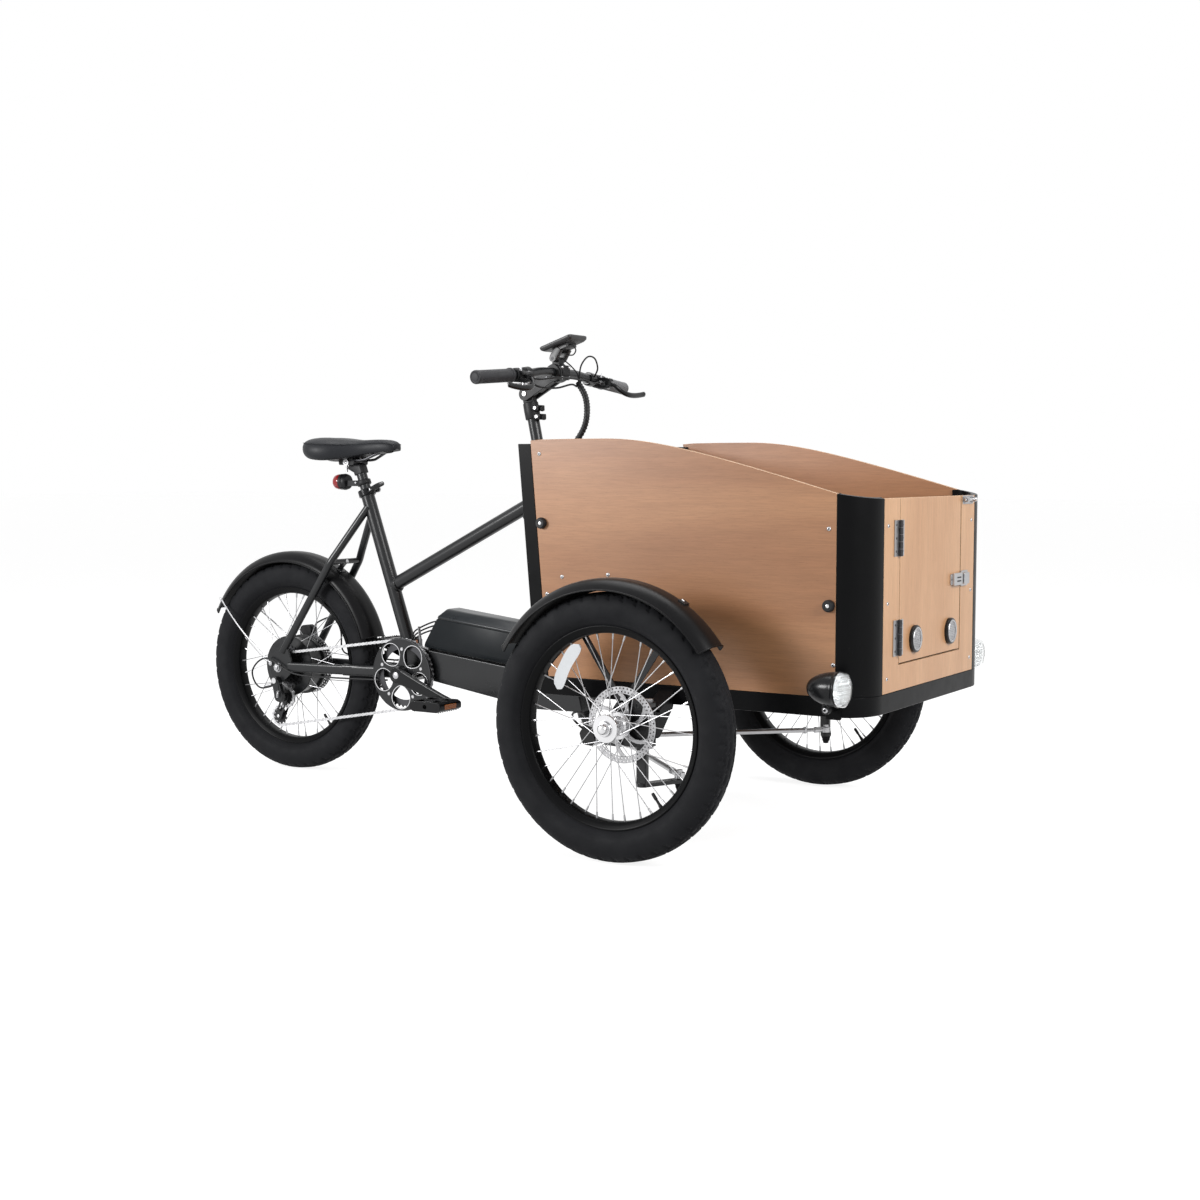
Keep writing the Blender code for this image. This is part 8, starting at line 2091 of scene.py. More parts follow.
# %% Stem
bar = at(-0.463, 0, 1.034)
along = (bar - hinge).normalized()
cheeks = []
for side in (-1, 1):
    y0, y1 = sorted((side * 0.0116, side * 0.0199))
    outline = link((hinge.x, hinge.z), 0.0165, (bar.x, bar.z), 0.0172, 20)
    cheeks.append(prism(outline, "Y", y0, y1))
web = strap([hinge + along * 0.03, bar - along * 0.01], soft_bar((0.03, 0.028), 0.003, 3))
socket = lathe([(BAR_R + 0.0006, -0.0255), (0.019, -0.0255), (0.0197, -0.0235), (0.0197, 0.0235),
    (0.019, 0.0255), (BAR_R + 0.0006, 0.0255)], bar, (0, 1, 0), 48)
make("stem_arm", merge(*cheeks, web), "bars", "plastic", "stem", bevel=0.0012, segments=3)
make("stem_socket", socket, "bars", "plastic")
front_face = bar + vec(0.0168, 0, 0)
plate = prism(rounded(corners(front_face.y - 0.0205, front_face.y + 0.0205, bar.z - 0.0175, bar.z + 0.0175),
    0.005, 4), "X", bar.x + 0.011, bar.x + 0.0215)
opening = prism(rounded(corners(-0.0085, 0.0085, bar.z - 0.0075, bar.z + 0.0075), 0.003, 3), "X",
    bar.x + 0.018, bar.x + 0.03)
make("stem_face_plate", carved(plate, [opening]), "bars", "plastic", bevel=0.001)
face_bolts, side_bolts = [], []
for dy in (-0.015, 0.015):
    for dz in (-0.0125, 0.0125):
        face_bolts.append(dome_screw(bar + vec(0.0215, dy, dz), (1, 0, 0), 0.0038, 0.0028))
for dz in (-0.0095, 0.0065):
    side_bolts.append(lathe(mm((1.4, 0), (3.6, 0), (3.6, 1.2), (3, 1.8), (1.6, 1.8), (1.4, 0.6)),
        bar + vec(0.003, -0.0257, dz), (0, -1, 0), 20))
make("stem_bolts", merge(*face_bolts, *side_bolts), "bars", "polished")
pinch = rod(bar - along * 0.0235 - vec(0, 0.0212, 0), bar - along * 0.0235 + vec(0, 0.0212, 0), 0.0042, 20,
    round_end=0.001)
make("stem_pinch_bolt", pinch, "bars", "dark_steel")

post_low, post_high = bar + vec(-0.001, 0, 0.016), at(-0.462, 0, 1.07)
post = merge(prism(rounded([(post_low.x - 0.0095, bar.z + 0.006), (post_low.x + 0.012, bar.z + 0.006),
    (post_low.x + 0.0105, post_high.z + 0.001), (post_low.x - 0.008, post_high.z + 0.001)], 0.004, 3), "Y",
    -0.0115, 0.0115), lathe(corners(0.0198, 0.0235, -0.0125, 0.0125), bar, (0, 1, 0), 40))
make("display_post", post, "bars", "plastic", bevel=0.001)
pin = rod(at(-0.463, -0.0262, 1.068), at(-0.463, 0.0262, 1.068), 0.003, 18, round_end=0.0008)
make("display_pin", pin, "bars", "dark_steel")
print("stem length", round((bar - hinge).length, 4))

# %% [markdown]
# ## Display
# The screen's case is built in its own tilted directions, along and up, so that a number reads as a place on the
# case. The glass lies flush in it, and two ears hold the case to a pin on the stem.

# %% Display
TILT = radians(18.3)
screen_along, screen_up = vec(cos(TILT), 0, sin(TILT)), vec(-sin(TILT), 0, cos(TILT))
screen_middle = at(-0.4475, 0, 1.103)


def on_screen(a, y, lift):
    return screen_middle + screen_along * a + vec(0, y, 0) + screen_up * lift


def slab_shape(levels, corner):
    """A rounded slab from (half length, half width, lift) levels."""
    rings = []
    for half_l, half_w, lift in levels:
        rings.append([on_screen(a, b, lift) for a, b in rounded(corners(-half_l, half_l, -half_w, half_w),
            corner, 6)])
    return skin(rings)


case = slab_shape(mm((37, 31, -7), (41, 34.5, -6.6), (45.5, 38.5, -3), (46.5, 39.5, 1), (46.5, 39.5, 3.6),
    (45.5, 38.5, 4.8)), 0.0085)
glass = slab_shape(mm((44, 37.1, 4), (44, 37.1, 5.6), (43.4, 36.5, 6)), 0.0075)
pane = slab_shape([(0.031, 0.028, 0.0058), (0.031, 0.028, 0.00625)], 0.0015)
cover = slab_shape(mm((26, 23, -7.2), (27, 24, -6.8), (27, 24, -6)), 0.004)
backs = [slab_shape(mm((20, 20, -16), (21.5, 21.5, -15), (22, 22, -6.6)), 0.004)]
ears = []
tilt_pin = at(-0.463, 0, 1.068)
for side in (-1, 1):
    y = side * 0.019
    ears.append(strap([tilt_pin + vec(0, y, 0), on_screen(-0.004, y, -0.0105)], soft_bar((0.012, 0.02), 0.002,
        2), up=(1, 0, 0)))
    ears.append(lathe(corners(0.0034, 0.0086, -0.0062, 0.0062), tilt_pin + vec(0, y, 0), (0, 1, 0), 28))
make("display_case", merge(case, cover), "display", "screen_case", "display", smooth=40)
make("display_mount", merge(*ears, *backs), "display", "screen_case", smooth=40)
make("display_glass", glass, "display", "glass_black")
make("display_window", pane, "display", "screen_grey")
tail = [on_screen(0.02, -0.01, -0.01), on_screen(0.03, -0.012, -0.016), on_screen(0.034, -0.01, -0.029),
    on_screen(0.022, -0.006, -0.036), on_screen(0.01, -0.004, -0.033), on_screen(0.004, 0.0, -0.03)]
free_cord("display_lead", tail, 0.0016, "display")
print("display tilt", round(TILT, 3))

# %% [markdown]
# ## Brake levers
# Everything here is clamped round the bar. ring_on_bar() turns a ring square to the bar at any place across the
# bike. The blade pivots in a slot cut through its body, and droops as it runs out in front of the grip.

# %% Brake levers
LEVER_Y, POD_Y = 0.176, 0.14
def lever_pivot(side):
    spot = bar_at(side * LEVER_Y)
    return vec(spot.x + 0.034, side * LEVER_Y, spot.z - 0.006)


def ring_on_bar(y, radius, half, corner=0.0012):
    spot = bar_at(y)
    before, after = bar_at(y - 0.01), bar_at(y + 0.01)
    way = (after - before).normalized()
    return lathe([(BAR_R + 0.0003, -half), (radius - corner, -half), (radius, -half + corner),
        (radius, half - corner), (radius - corner, half), (BAR_R + 0.0003, half)], spot, way, 40)


for name, side in SIDES:
    pivot_at = lever_pivot(side)
    clamp_ring = ring_on_bar(side * LEVER_Y, 0.0165, 0.01, 0.003)
    outline = rounded([(pivot_at.x - 0.036, pivot_at.z - 0.0105), (pivot_at.x - 0.004, pivot_at.z - 0.0135),
        (pivot_at.x + 0.0095, pivot_at.z - 0.009), (pivot_at.x + 0.0095, pivot_at.z + 0.011),
        (pivot_at.x - 0.006, pivot_at.z + 0.015), (pivot_at.x - 0.036, pivot_at.z + 0.015)], 0.005, 4)
    body_block = prism(outline, "Y", pivot_at.y - 0.0092, pivot_at.y + 0.0092)
    slot_cut = block((pivot_at.x - 0.016, pivot_at.y - 0.03, pivot_at.z - 0.005), (pivot_at.x + 0.03,
        pivot_at.y + 0.03, pivot_at.z + 0.005))
    housing = merge(carved(body_block, [slot_cut]), clamp_ring)
    make("lever_body_" + name, housing, "bars", "plastic", bevel=0.001)
    pin = rod(pivot_at - vec(0, 0, 0.0138), pivot_at + vec(0, 0, 0.0138), 0.0032, 18, round_end=0.0008)
    screw = lathe(corners(0, 0.003, 0, 0.01), pivot_at + vec(-0.022, 0, 0.0148), (0, 0, 1), 14)
    barrel_in = vec(pivot_at.x - 0.0135, pivot_at.y - side * 0.009, pivot_at.z + 0.002)
    barrel = rod(barrel_in, barrel_in - vec(0, side * 0.013, 0), 0.0048, 20, 0.0036)
    make("lever_metal_" + name, merge(pin, screw, barrel), "bars", "zinc")
    route = mm((0, 0, 0), (12, 6, -4), (22, 14, -14), (29, 28, -23), (32, 46, -27), (32, 66, -28),
        (31, 88, -27), (30, 112, -24.5), (30.5, 128, -22))
    path = [pivot_at + vec(x, side * y, z) for x, y, z in route]
    path = smooth_path(path, 4)
    rings = []
    for k, spot in enumerate(path):
        share = k / (len(path) - 1)
        way = way_along(path, k)
        flat = way.cross(vec(0, 0, 1)).normalized()
        up = flat.cross(way)
        wide = 0.0032 + 0.0008 * sin(pi * min(1.0, share * 1.1))
        tall = 0.004 + 0.0026 * min(1.0, share * 2.5)
        if k == len(path) - 1:
            wide, tall = 0.0022, 0.0044
        rings.append([spot + flat * wide * cos(2 * pi * i / 16) + up * tall * sin(2 * pi * i / 16)
            for i in range(16)])
    eye = lathe(corners(0.0034, 0.008, -0.0042, 0.0042), pivot_at, (0, 0, 1), 28)
    make("brake_blade_" + name, merge(skin(rings), eye), "brake_lever_" + name, "crank_black", "brake_lever_"
        + name, smooth=45)


print("levers turn at", [tuple(round(v, 3) for v in lever_pivot(side)) for _, side in SIDES])

# %% [markdown]
# ## Light switch and shifter clamp
# Inboard of the levers, the left side carries a switch with two keys and the right side a plain clamp ring.

# %% Light switch and shifter clamp
for name, side in SIDES:
    pod = side * POD_Y
    if side < 0:
        pod_ring = ring_on_bar(pod, 0.017, 0.011, 0.002)
        make("shifter_ring", pod_ring, "bars", "plastic")
    else:
        pod_ring = ring_on_bar(pod, 0.017, 0.011, 0.003)
        spot = bar_at(pod)
        keys = [lathe(mm((0, 0), (4.2, 0), (4.2, 1.4), (3.4, 2.2), (0, 2.4)), spot + vec(-0.0128, d, 0.0085),
            (-0.82, 0, 0.57), 20) for d in (-0.005, 0.005)]
        make("switch_pod", pod_ring, "bars", "glossy_plastic")
        make("switch_keys", merge(*keys), "bars", "silver_plastic")


print("switch and clamp stand off the middle by", POD_Y)

# %% [markdown]
# ## Grips
# A grip is one turned profile: a collar, 34 ribs and a swollen end. Turning it keeps the ribs true rings.

# %% Grips
RIBS = 34
for name, side in SIDES:
    start, end = bar_at(side * 0.198), bar_at(side * 0.3195)
    way = (end - start).normalized()
    length = (end - start).length
    profile = [(BAR_R + 0.0003, 0), (0.0168, 0), (0.0174, 0.0012), (0.0174, 0.0048), (0.0166, 0.0062),
        (0.0152, 0.007)]
    for k in range(RIBS):
        base = 0.0085 + (length - 0.016) * k / RIBS
        span = (length - 0.016) / RIBS
        profile += [(0.0149, base), (0.0155, base + 0.3 * span), (0.0155, base + 0.7 * span),
            (0.0149, base + span)]
    profile += [(0.0158, length - 0.006), (0.016, length + 0.002), (0.0152, length + 0.0048),
        (0.0128, length + 0.0058), (0.012, length + 0.0052), (0.0, length + 0.0052), (0.0, length + 0.0003),
        (BAR_R + 0.0003, length + 0.0003)]
    # The far grip takes the lighter copy of the rubber, which paints the light falling on it.
    make("grip_" + name, lathe(profile, start, way, 48), "bars", "grip_rubber_painted_light" if side > 0 else "grip_rubber",
        "grip_" + name, smooth=40)
    cap = lathe(mm((0, 0), (9.8, 0), (9.8, 0.6), (8.8, 1.1), (0, 1.3)), start + way * (length + 0.0052), way,
        32)
    make("grip_cap_" + name, cap, "bars", "grip_rubber")
    print(name, "grip length", round(length, 4))

# %% [markdown]
# ## Shifter
# The shifter's shell hangs under the bar, skinned from four rounded rectangles. Its lever turns on a pin of its
# own, so the lever rides on that joint and the shell rides on the bars.

# %% Shifter and its lever
pod_spot = bar_at(-POD_Y)
shift_pin = vec(pod_spot.x - 0.004, pod_spot.y, pod_spot.z - 0.0225)
shell_rings = []
for z_off, half_x, half_y in ((-0.018, 0.012, 0.0095), (-0.0165, 0.0142, 0.0108), (-0.006, 0.015, 0.0112),
        (0.002, 0.014, 0.0108)):
    outline = rounded(corners(-half_x, half_x, -half_y, half_y), 0.004, 4)
    shell_rings.append([vec(shift_pin.x + a + 0.001, shift_pin.y + b, pod_spot.z + z_off) for a,
        b in outline])
make("shifter_shell", skin(shell_rings), "bars", "silver_plastic", smooth=40)
make("shifter_pin", rod(shift_pin - vec(0, 0, 0.003), shift_pin + vec(0, 0, 0.007), 0.003, 16), "bars",
    "zinc")
blade_path = smooth_path([shift_pin + vec(-0.004, -0.005, 0), shift_pin + vec(-0.015, -0.021, -0.001),
    shift_pin + vec(-0.02, -0.036, -0.0025), shift_pin + vec(-0.02, -0.048, -0.004)], 6)
rings = []
for k, spot in enumerate(blade_path):
    share = k / (len(blade_path) - 1)
    way = way_along(blade_path, k)
    flat = way.cross(vec(0, 0, 1)).normalized()
    wide = 0.0046 + 0.0016 * share
    if k == len(blade_path) - 1:
        wide = 0.004
    rings.append([spot + flat * a + vec(0, 0, b) for a, b in soft_bar((2 * wide, 0.0038), 0.0015, 3)])
eye = lathe(corners(0.0034, 0.0085, -0.002, 0.0036), shift_pin, (0, 0, 1), 28)
make("shift_blade", merge(skin(rings), eye), "shift_lever", "silver_plastic", "shift_lever", smooth=40)
print("shift blade points", len(blade_path))

# %% [markdown]
# ## Cables at the bar
# Hoses and wires leave the bar and run down in one spiral wrap. The photograph loses it behind the box's rear
# edge, so the wrap stops in front of the head tube with an open end. A fuller model would lead it into the frame.

# %% Cables at the bar
BUNDLE = mm((-436, 48, 1012), (-412, 42, 978), (-402, 34, 940), (-410, 32, 902), (-440, 34, 862),
    (-478, 36, 822))
sleeve_line = smooth_path([at(*p) for p in BUNDLE], 10)
free_cord("bundle_sleeve", [at(*p) for p in BUNDLE], 0.0068, "bars", stands_for="cable_bundle")
wrap = []
side_way = vec(0, 1, 0)
fine = smooth_path([at(*p) for p in BUNDLE], 60)
for k, spot in enumerate(fine):
    way = (fine[min(k + 1, len(fine) - 1)] - fine[max(k - 1, 0)]).normalized()
    across = (side_way - way * side_way.dot(way)).normalized()
    up = way.cross(across)
    t = 2 * pi * k / 11
    wrap.append(spot + (across * cos(t) + up * sin(t)) * 0.0071)
make("bundle_wrap", tube(wrap, 0.0012, 6), "bars", "frame_paint", smooth=60)
start = sleeve_line[1]
for name, side in SIDES:
    pivot_at = lever_pivot(side)
    out_end = vec(pivot_at.x - 0.0135, pivot_at.y - side * 0.02, pivot_at.z + 0.002)
    lift = 0.004 if side < 0 else 0.0
    free_cord("lever_hose_" + name, [start + vec(-0.002, -0.003, -0.004), start + vec(0.006, -0.012
        if side < 0 else 0.004, 0.01), vec(start.x + 0.014, side * 0.07, start.z + 0.006 + lift),
        vec(out_end.x + 0.006, side * 0.12, out_end.z - 0.004), out_end, out_end + vec(0, side * 0.01, 0)],
        0.0025, "bars")
arch = [start + vec(0.002, 0.002, -0.01), at(-0.428, 0.04, 1.02), at(-0.424, 0.042, 1.052), at(-0.418, 0.062,
    1.074), at(-0.418, 0.094, 1.072), at(-0.428, 0.124, 1.05), at(-0.446, 0.138, 1.03)]
lead = [start + vec(0.001, -0.003, -0.008), at(-0.43, 0.036, 1.03), at(-0.436, 0.02, 1.048), at(-0.446, 0.006,
    1.062), at(-0.452, 0.002, 1.07)]
gear = [start + vec(-0.004, -0.004, -0.006), at(-0.432, 0.01, 1.006), at(-0.44, -0.04, 0.996),
    at(-0.452, -0.09, 0.996), at(-0.46, -0.118, 1.004), at(-0.464, -0.13, 1.006)]
free_cord("switch_lead", arch, 0.002, "bars")
free_cord("screen_lead", lead, 0.0016, "bars")
free_cord("shifter_cable", gear, 0.0023, "bars")

# %% [markdown]
# ## Saddle
# The cover is skinned from sections along its length and then subdivided, so the crown and the nose stay soft.

# %% Saddle cover
STATIONS = [(0.0, 0.46, -0.015, -0.029), (0.02, 0.66, -0.008, -0.038), (0.06, 0.84, -0.0025, -0.048),
    (0.12, 0.95, 0.0, -0.057), (0.19, 1.0, 0.001, -0.061), (0.27, 0.99, 0.0004, -0.063), (0.35, 0.93, -0.0014,
    -0.0625), (0.43, 0.81, -0.004, -0.06), (0.51, 0.66, -0.0062, -0.0565), (0.6, 0.5, -0.0076, -0.051),
    (0.7, 0.395, -0.007, -0.0455), (0.8, 0.33, -0.0062, -0.0425), (0.89, 0.285, -0.0074, -0.04), (0.95, 0.245,
    -0.0108, -0.0385), (0.985, 0.195, -0.0155, -0.0375), (1.0, 0.12, -0.0205, -0.0355)]
SADDLE_TOP, NOSE_X, SADDLE_LONG, SADDLE_W = 0.887, -0.952, 0.27, 0.095
SECTION = [(-0.62, 0.1), (-0.8, -0.01), (-0.93, 0.05), (-0.985, 0.24), (-0.995, 0.48), (-0.93, 0.7),
    (-0.77, 0.86), (-0.52, 0.95), (-0.26, 0.968), (0.0, 0.95), (0.26, 0.968), (0.52, 0.95), (0.77, 0.86),
    (0.93, 0.7), (0.995, 0.48), (0.985, 0.24), (0.93, 0.05), (0.8, -0.01), (0.62, 0.1), (0.3, 0.16),
    (0.0, 0.17), (-0.3, 0.16)]
rings = []
for share, wide, top, low in STATIONS:
    x = NOSE_X - SADDLE_LONG * (1 - share)
    w, tall = SADDLE_W * wide, top - low
    rings.append([at(x, a * w, SADDLE_TOP + low + b * tall) for a, b in SECTION])
cover = make("saddle_skin", skin(rings), "saddle", "vinyl", "saddle_cover", subdivide=1)
piping = []
for side in (-1, 1):
    line = []
    for share, wide, top, low in STATIONS[1:-1]:
        x = NOSE_X - SADDLE_LONG * (1 - share)
        line.append(at(x, side * 0.925 * SADDLE_W * wide, SADDLE_TOP + low + 0.705 * (top - low)))
    piping.append(tube(line, 0.0009, 8, 3))
make("saddle_seams", merge(*piping), "saddle", "vinyl", smooth=60)
rings = []
for share, wide, top, low in STATIONS[2:-3]:
    x = NOSE_X - SADDLE_LONG * (1 - share)
    w = SADDLE_W * wide * 0.74
    roof = SADDLE_TOP + low + 0.12 * (top - low)
    rings.append([at(x, a, b) for a, b in ((-w, roof - 0.0035), (-w * 0.5, roof - 0.0065),
        (w * 0.5, roof - 0.0065), (w, roof - 0.0035), (w, roof + 0.001), (-w, roof + 0.001))])
make("saddle_pan", skin(rings), "saddle", "plastic", "saddle_base", smooth=40)
print("saddle sections", len(STATIONS))

# %% [markdown]
# ## Saddle rails
# Two steel rails run under the saddle, level where the clamp holds them and bent up at both ends.

# %% Saddle rails
RAIL_X, RAIL_Z, RAIL_Y = -1.1, 0.826, 0.022
rails = []
for side in (-1, 1):
    route = [at(NOSE_X - 0.232, side * 0.033, 0.8385), at(RAIL_X - 0.06, side * 0.0235, 0.8275),
        at(RAIL_X - 0.044, side * RAIL_Y, RAIL_Z), at(RAIL_X, side * RAIL_Y, RAIL_Z), at(RAIL_X + 0.04,
        side * RAIL_Y, RAIL_Z), at(RAIL_X + 0.056, side * 0.0212, 0.828), at(NOSE_X - 0.045, side * 0.0121,
        0.848)]
    rails.append(tube(soft_bends(route, 0.006, 4), 0.0035, 16))
make("saddle_rails", merge(*rails), "saddle", "dark_steel")
print("rails at height", RAIL_Z)

# %% [markdown]
# ## Seat post and clamp
# The post slides in the seat tube, and a collar with a quick lever squeezes it. The post's head holds the saddle's
# rails between two rounded jaws. The blade of the lever is skinned along a curve, so that it thins at its tip.

# %% Seat post
post_low, post_high = at(seat_x(0.56), 0, 0.56), at(seat_x(0.806), 0, 0.806)
make("seat_post_tube", rod(post_low, post_high, 0.0136, 36), "saddle", "frame_paint", "seat_post")
head = at(RAIL_X, 0, RAIL_Z)
lower = prism(rounded([(head.x - 0.024, RAIL_Z - 0.012), (head.x + 0.024, RAIL_Z - 0.012), (head.x + 0.026,
    RAIL_Z - 0.0008), (head.x - 0.026, RAIL_Z - 0.0008)], 0.003, 3), "Y", -0.029, 0.029)
upper = prism(rounded([(head.x - 0.022, RAIL_Z + 0.0008), (head.x + 0.022, RAIL_Z + 0.0008), (head.x + 0.019,
    RAIL_Z + 0.007), (head.x - 0.019, RAIL_Z + 0.007)], 0.003, 3), "Y", -0.028, 0.028)
neck_line = [post_high - seat_way * 0.016, post_high - seat_way * 0.002, at(RAIL_X - 0.002, 0, RAIL_Z - 0.01)]
make("seat_post_head", merge(lower, upper, strap(neck_line, soft_bar((0.03, 0.03), 0.008, 4), up=(1, 0, 0))),
    "saddle", "plastic", bevel=0.0008)
cross = rod(at(RAIL_X, -0.0335, RAIL_Z - 0.0056), at(RAIL_X, 0.0335, RAIL_Z - 0.0056), 0.004, 18,
    round_end=0.0008)
washers = [lathe(corners(0.004, 0.0088, 0, 0.0024), at(RAIL_X, side * 0.029, RAIL_Z - 0.0056), (0, side, 0),
    24) for side in (-1, 1)]
tilt_bolts = [rod(at(RAIL_X + d, 0, RAIL_Z - 0.03), at(RAIL_X + d, 0, RAIL_Z + 0.01), 0.0028, 14)
    for d in (-0.0215, 0.0225)]
make("seat_post_bolts", merge(cross, *washers, *tilt_bolts), "saddle", "zinc")
print("seat post from", tuple(round(v, 3) for v in post_low))

# %% [markdown]
# ## Seat clamp and its lever
# A split collar has two ears and a skewer through them. The lever's hub is two rings on the skewer's barrel, and
# its blade is skinned along a curve so that it thins towards its tip.

# %% Seat clamp and its lever
collar_top = at(seat_x(0.75), 0, 0.75)
ahead = vec(0, 1, 0).cross(seat_way)
ring = lathe([(TUBE + 0.0003, -0.017), (TUBE + 0.004, -0.017), (TUBE + 0.0048, -0.016), (TUBE + 0.0048,
    -0.0012), (TUBE + 0.004, -0.0003), (TUBE + 0.0003, -0.0003)], collar_top, seat_way, 44)
spot = collar_top - seat_way * 0.0085 + ahead * (TUBE + 0.01)
ears = [strap([spot + vec(0, s * 0.007, 0) - ahead * 0.0085, spot + vec(0, s * 0.007, 0) + ahead * 0.005],
    soft_bar((0.0078, 0.015), 0.002, 2), up=seat_way) for s in (-1, 1)]
make("seat_clamp_collar", merge(ring, *ears), "frame", "crank_black", "seat_clamp", bevel=0.0006)
SKEWER = 0.0195
clamp_hinge = spot - vec(0, SKEWER, 0)
nut = lathe(mm((0, 0), (8, 0), (8, 4), (6.4, 5.6), (0, 5.6)), spot + vec(0, 0.0112, 0), (0, 1, 0), 24)
skewer = rod(clamp_hinge, spot + vec(0, 0.0165, 0), 0.003, 16)
barrel = rod(clamp_hinge - seat_way * 0.006, clamp_hinge + seat_way * 0.006, 0.0028, 16)
make("seat_clamp_skewer", merge(skewer, nut, barrel), "frame", "zinc")
out = vec(0, -1, 0)
lever_line = smooth_path([clamp_hinge + ahead * 0.0062, clamp_hinge + ahead * 0.02 + out * 0.0025,
    clamp_hinge + ahead * 0.036 + out * 0.004, clamp_hinge + ahead * 0.05 + out * 0.003], 6)
rings = []
for k, place in enumerate(lever_line):
    share = k / (len(lever_line) - 1)
    way = way_along(lever_line, k)
    across = seat_way.cross(way).normalized()
    tall = 0.0052 + 0.0014 * sin(pi * share) if k < len(lever_line) - 1 else 0.0036
    rings.append([place + across * a + seat_way * b for a, b in soft_bar((0.0044, 2 * tall), 0.0018, 3)])
hub_rings = [lathe(corners(0.0034, 0.0072, low, low + 0.0025), clamp_hinge, seat_way, 26) for low in (-0.0061,
    0.0036)]
make("clamp_lever_blade", merge(skin(rings), *hub_rings), "clamp_lever", "crank_black", "seat_clamp_lever",
    smooth=40)
print("lever pivot", tuple(round(v, 3) for v in clamp_hinge))

# %% [markdown]
# ## Tail light
# A strap round the seat post carries an arm with a round lamp. The lens is turned as a dome in clear red, which is
# enough here, because nothing shows through it.

# %% Tail light
tail_centre = at(seat_x(0.768), 0, 0.768)
strap_ring = lathe(mm((13.9, -6), (17.6, -6), (18.4, -5), (18.4, 5), (17.6, 6), (13.9, 6)), tail_centre,
    seat_way, 36)
lamp_x = tail_centre.x - 0.058
arm = prism(rounded([(lamp_x - 0.001, 0.759), (tail_centre.x - 0.0165, 0.759), (tail_centre.x - 0.0165,
    0.774), (lamp_x - 0.001, 0.773)], 0.003, 3), "Y", -0.0085, 0.0085)
lamp_back = vec(lamp_x + 0.004, 0, 0.77)
case = lathe(mm((0, -2), (17, -2), (19, 0), (20.5, 5), (20.8, 15), (20.6, 20), (18, 21.5), (0, 21.5)),
    lamp_back, (-1, 0, 0), 40)
lens = lathe(mm((0, 20), (19.6, 20), (20.2, 23), (19.8, 30), (18, 36.5), (14, 41), (7, 43.4), (0, 44)),
    lamp_back, (-1, 0, 0), 40)
side_ring = lathe(mm((20.4, 7), (21.3, 7.8), (21.3, 12.8), (20.4, 13.6)), lamp_back, (-1, 0, 0), 40)
make("tail_light_case", merge(strap_ring, arm, case), "saddle", "plastic", "tail_light", smooth=40)
make("tail_light_lens", lens, "saddle", "lens_red", smooth=50)
make("tail_light_ring", side_ring, "saddle", "glossy_plastic")
make("tail_light_screw", dome_screw(tail_centre + vec(-0.022, -0.0085, 0.0), (0, -1, 0), 0.003, 0.002),
    "saddle", "zinc")

# %% [markdown]
# ## Headlights
# A bullet shell holds a polished bowl, a lamp and a clear front lens with ribs.

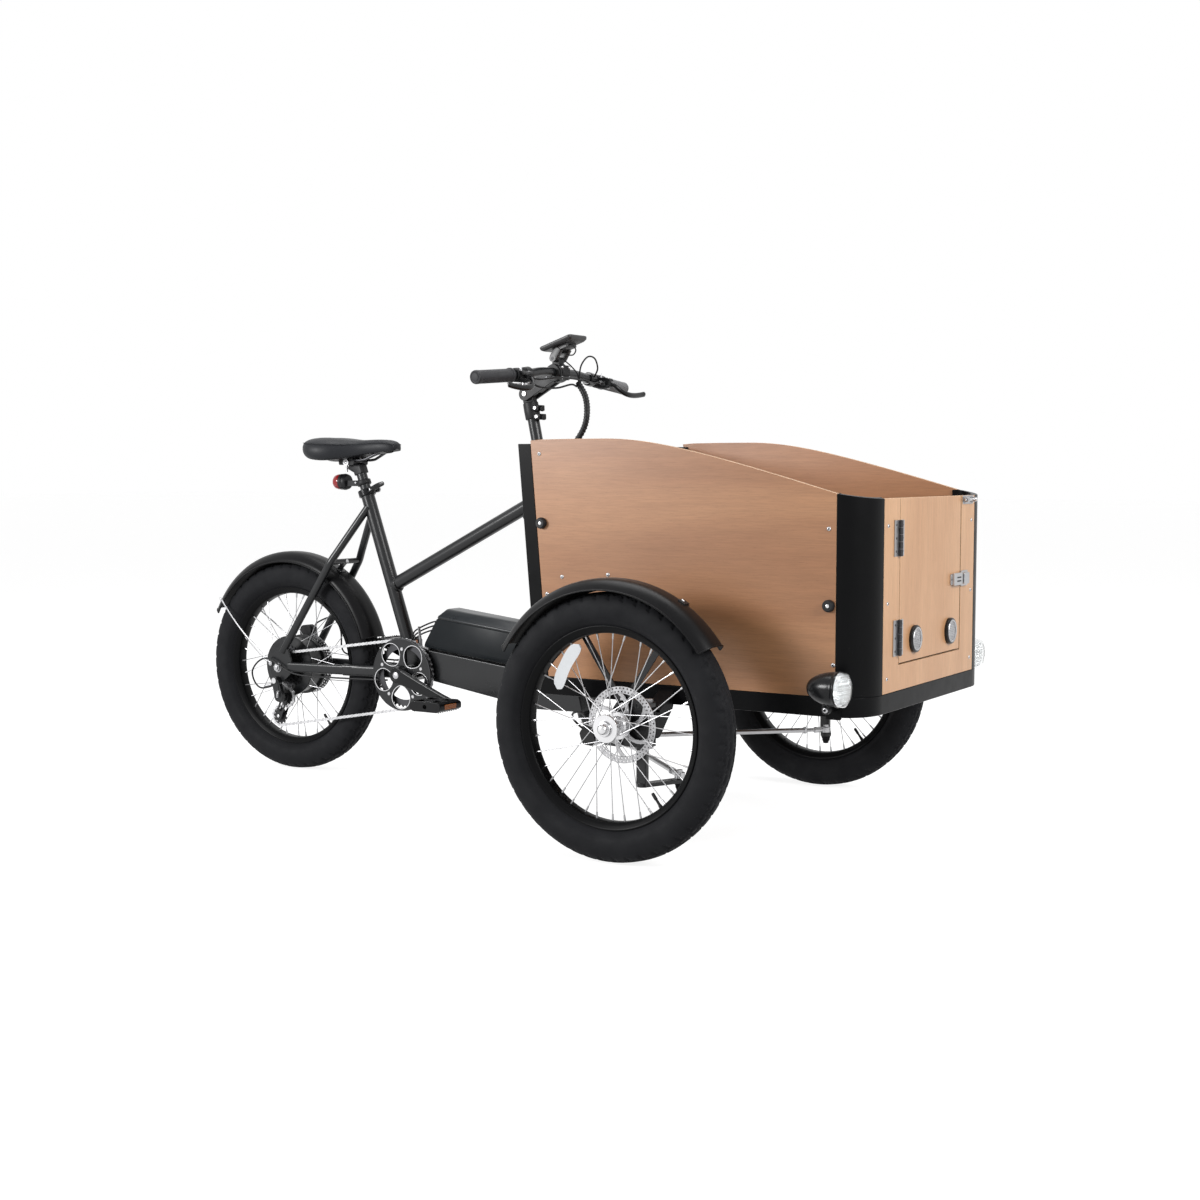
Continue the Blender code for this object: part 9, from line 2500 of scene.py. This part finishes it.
# %% Headlights
LIGHT_X, LIGHT_Y, LIGHT_Z, LIGHT_R = 0.458, 0.387, 0.372, 0.0365
for name, side in SIDES:
    body = "headlight_" + name
    face = at(LIGHT_X, side * LIGHT_Y, LIGHT_Z)
    r = LIGHT_R
    shell = [(0, -0.08), (0.004, -0.0798), (0.009, -0.0782), (0.015, -0.0745), (0.0205, -0.0685),
        (0.0255, -0.06), (0.0295, -0.05), (0.0325, -0.039), (0.0342, -0.028), (0.035, -0.02),
        (0.0352, -0.015), (0.0362, -0.014), (r, -0.0125), (r, -0.0105), (0.0352, -0.0095), (0.0345, -0.0095),
        (0.0345, -0.018), (0, -0.06)]
    make("headlight_shell_" + name, lathe(shell, face, (1, 0, 0), 64), body, "crank_black",
        "headlight_" + name, smooth=50)
    bowl = mm((0, -50), (8, -48), (18, -40), (26, -29), (31.8, -17), (34.2, -9), (33.4, -9), (30.8, -17),
        (25, -28), (17, -39), (7.5, -46.5), (0, -48))
    make("headlight_bowl_" + name, lathe(bowl, face, (1, 0, 0), 22), body, "bowl_silver", smooth=0)
    make("headlight_lamp_" + name, lathe(mm((0, -48), (6, -48), (6.2, -36), (5, -30), (0, -27)), face,
        (1, 0, 0), 24), body, "lamp_white", smooth=60)
    clear = mm((0, 9.8), (12, 9.4), (22, 8.2), (30, 6.2), (34, 3.4), (35.3, -0.5), (35.6, -6), (35.6, -10.5),
        (33.6, -10.5), (33.5, -6), (33.1, -0.8), (31.6, 2.2), (28.5, 4.3), (21, 6.3), (11, 7.5), (0, 7.9))
    make("headlight_lens_" + name, lathe(clear, face, (1, 0, 0), 64), body, "clear_lens", smooth=60)
    ribs = []
    for k in range(-5, 6):
        y = 0.0056 * k
        half = sqrt(max(0.0, 0.03 ** 2 - y ** 2))
        ribs.append(tube([face + vec(0.0032 - 0.0045 * (abs(s) * half / 0.03) ** 2 - 0.0045 * (y / 0.03) ** 2,
            side * y, s * half) for s in (-0.95, -0.6, -0.2, 0.2, 0.6, 0.95)], 0.0011, 8, 2))
    for k in range(-3, 4):
        z = 0.0085 * k
        half = sqrt(max(0.0, 0.03 ** 2 - z ** 2))
        ribs.append(tube([face + vec(0.0032 - 0.0045 * (abs(s) * half / 0.03) ** 2 - 0.0045 * (z / 0.03) ** 2,
            s * half, z) for s in (-0.95, -0.6, -0.2, 0.2, 0.6, 0.95)], 0.0009, 8, 2))
    make("headlight_ribs_" + name, merge(*ribs), body, "clear_lens", smooth=60)
    pivot = at(LIGHT_PIVOT[0], side * LIGHT_Y, LIGHT_PIVOT[1])
    y0, y1 = side * LIGHT_Y - 0.006, side * LIGHT_Y + 0.006
    ring = lathe(corners(0.0034, 0.009, -0.006, 0.006), pivot, (0, 1, 0), 28)
    stalk = prism([(pivot.x - 0.0075, pivot.z + 0.0055), (pivot.x + 0.0075, pivot.z + 0.0055),
        (pivot.x + 0.007, LIGHT_Z - 0.45 * r), (pivot.x - 0.007, LIGHT_Z - 0.45 * r)], "Y", y0, y1)
    make("headlight_bolt_" + name, dome_screw(pivot + vec(0, side * 0.0058, 0), (0, side, 0), 0.0062, 0.0034),
        body, "zinc")
    make("headlight_foot_" + name, merge(ring, stalk), body, "plastic", bevel=0.0008)

# %% [markdown]
# ## Solids that stay
# These keep the solid's own shape, and the list of them is printed.

# %% Solids that stay
left = [node for node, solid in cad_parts.items() if not solid.hide_render]
print("solids still showing", left)
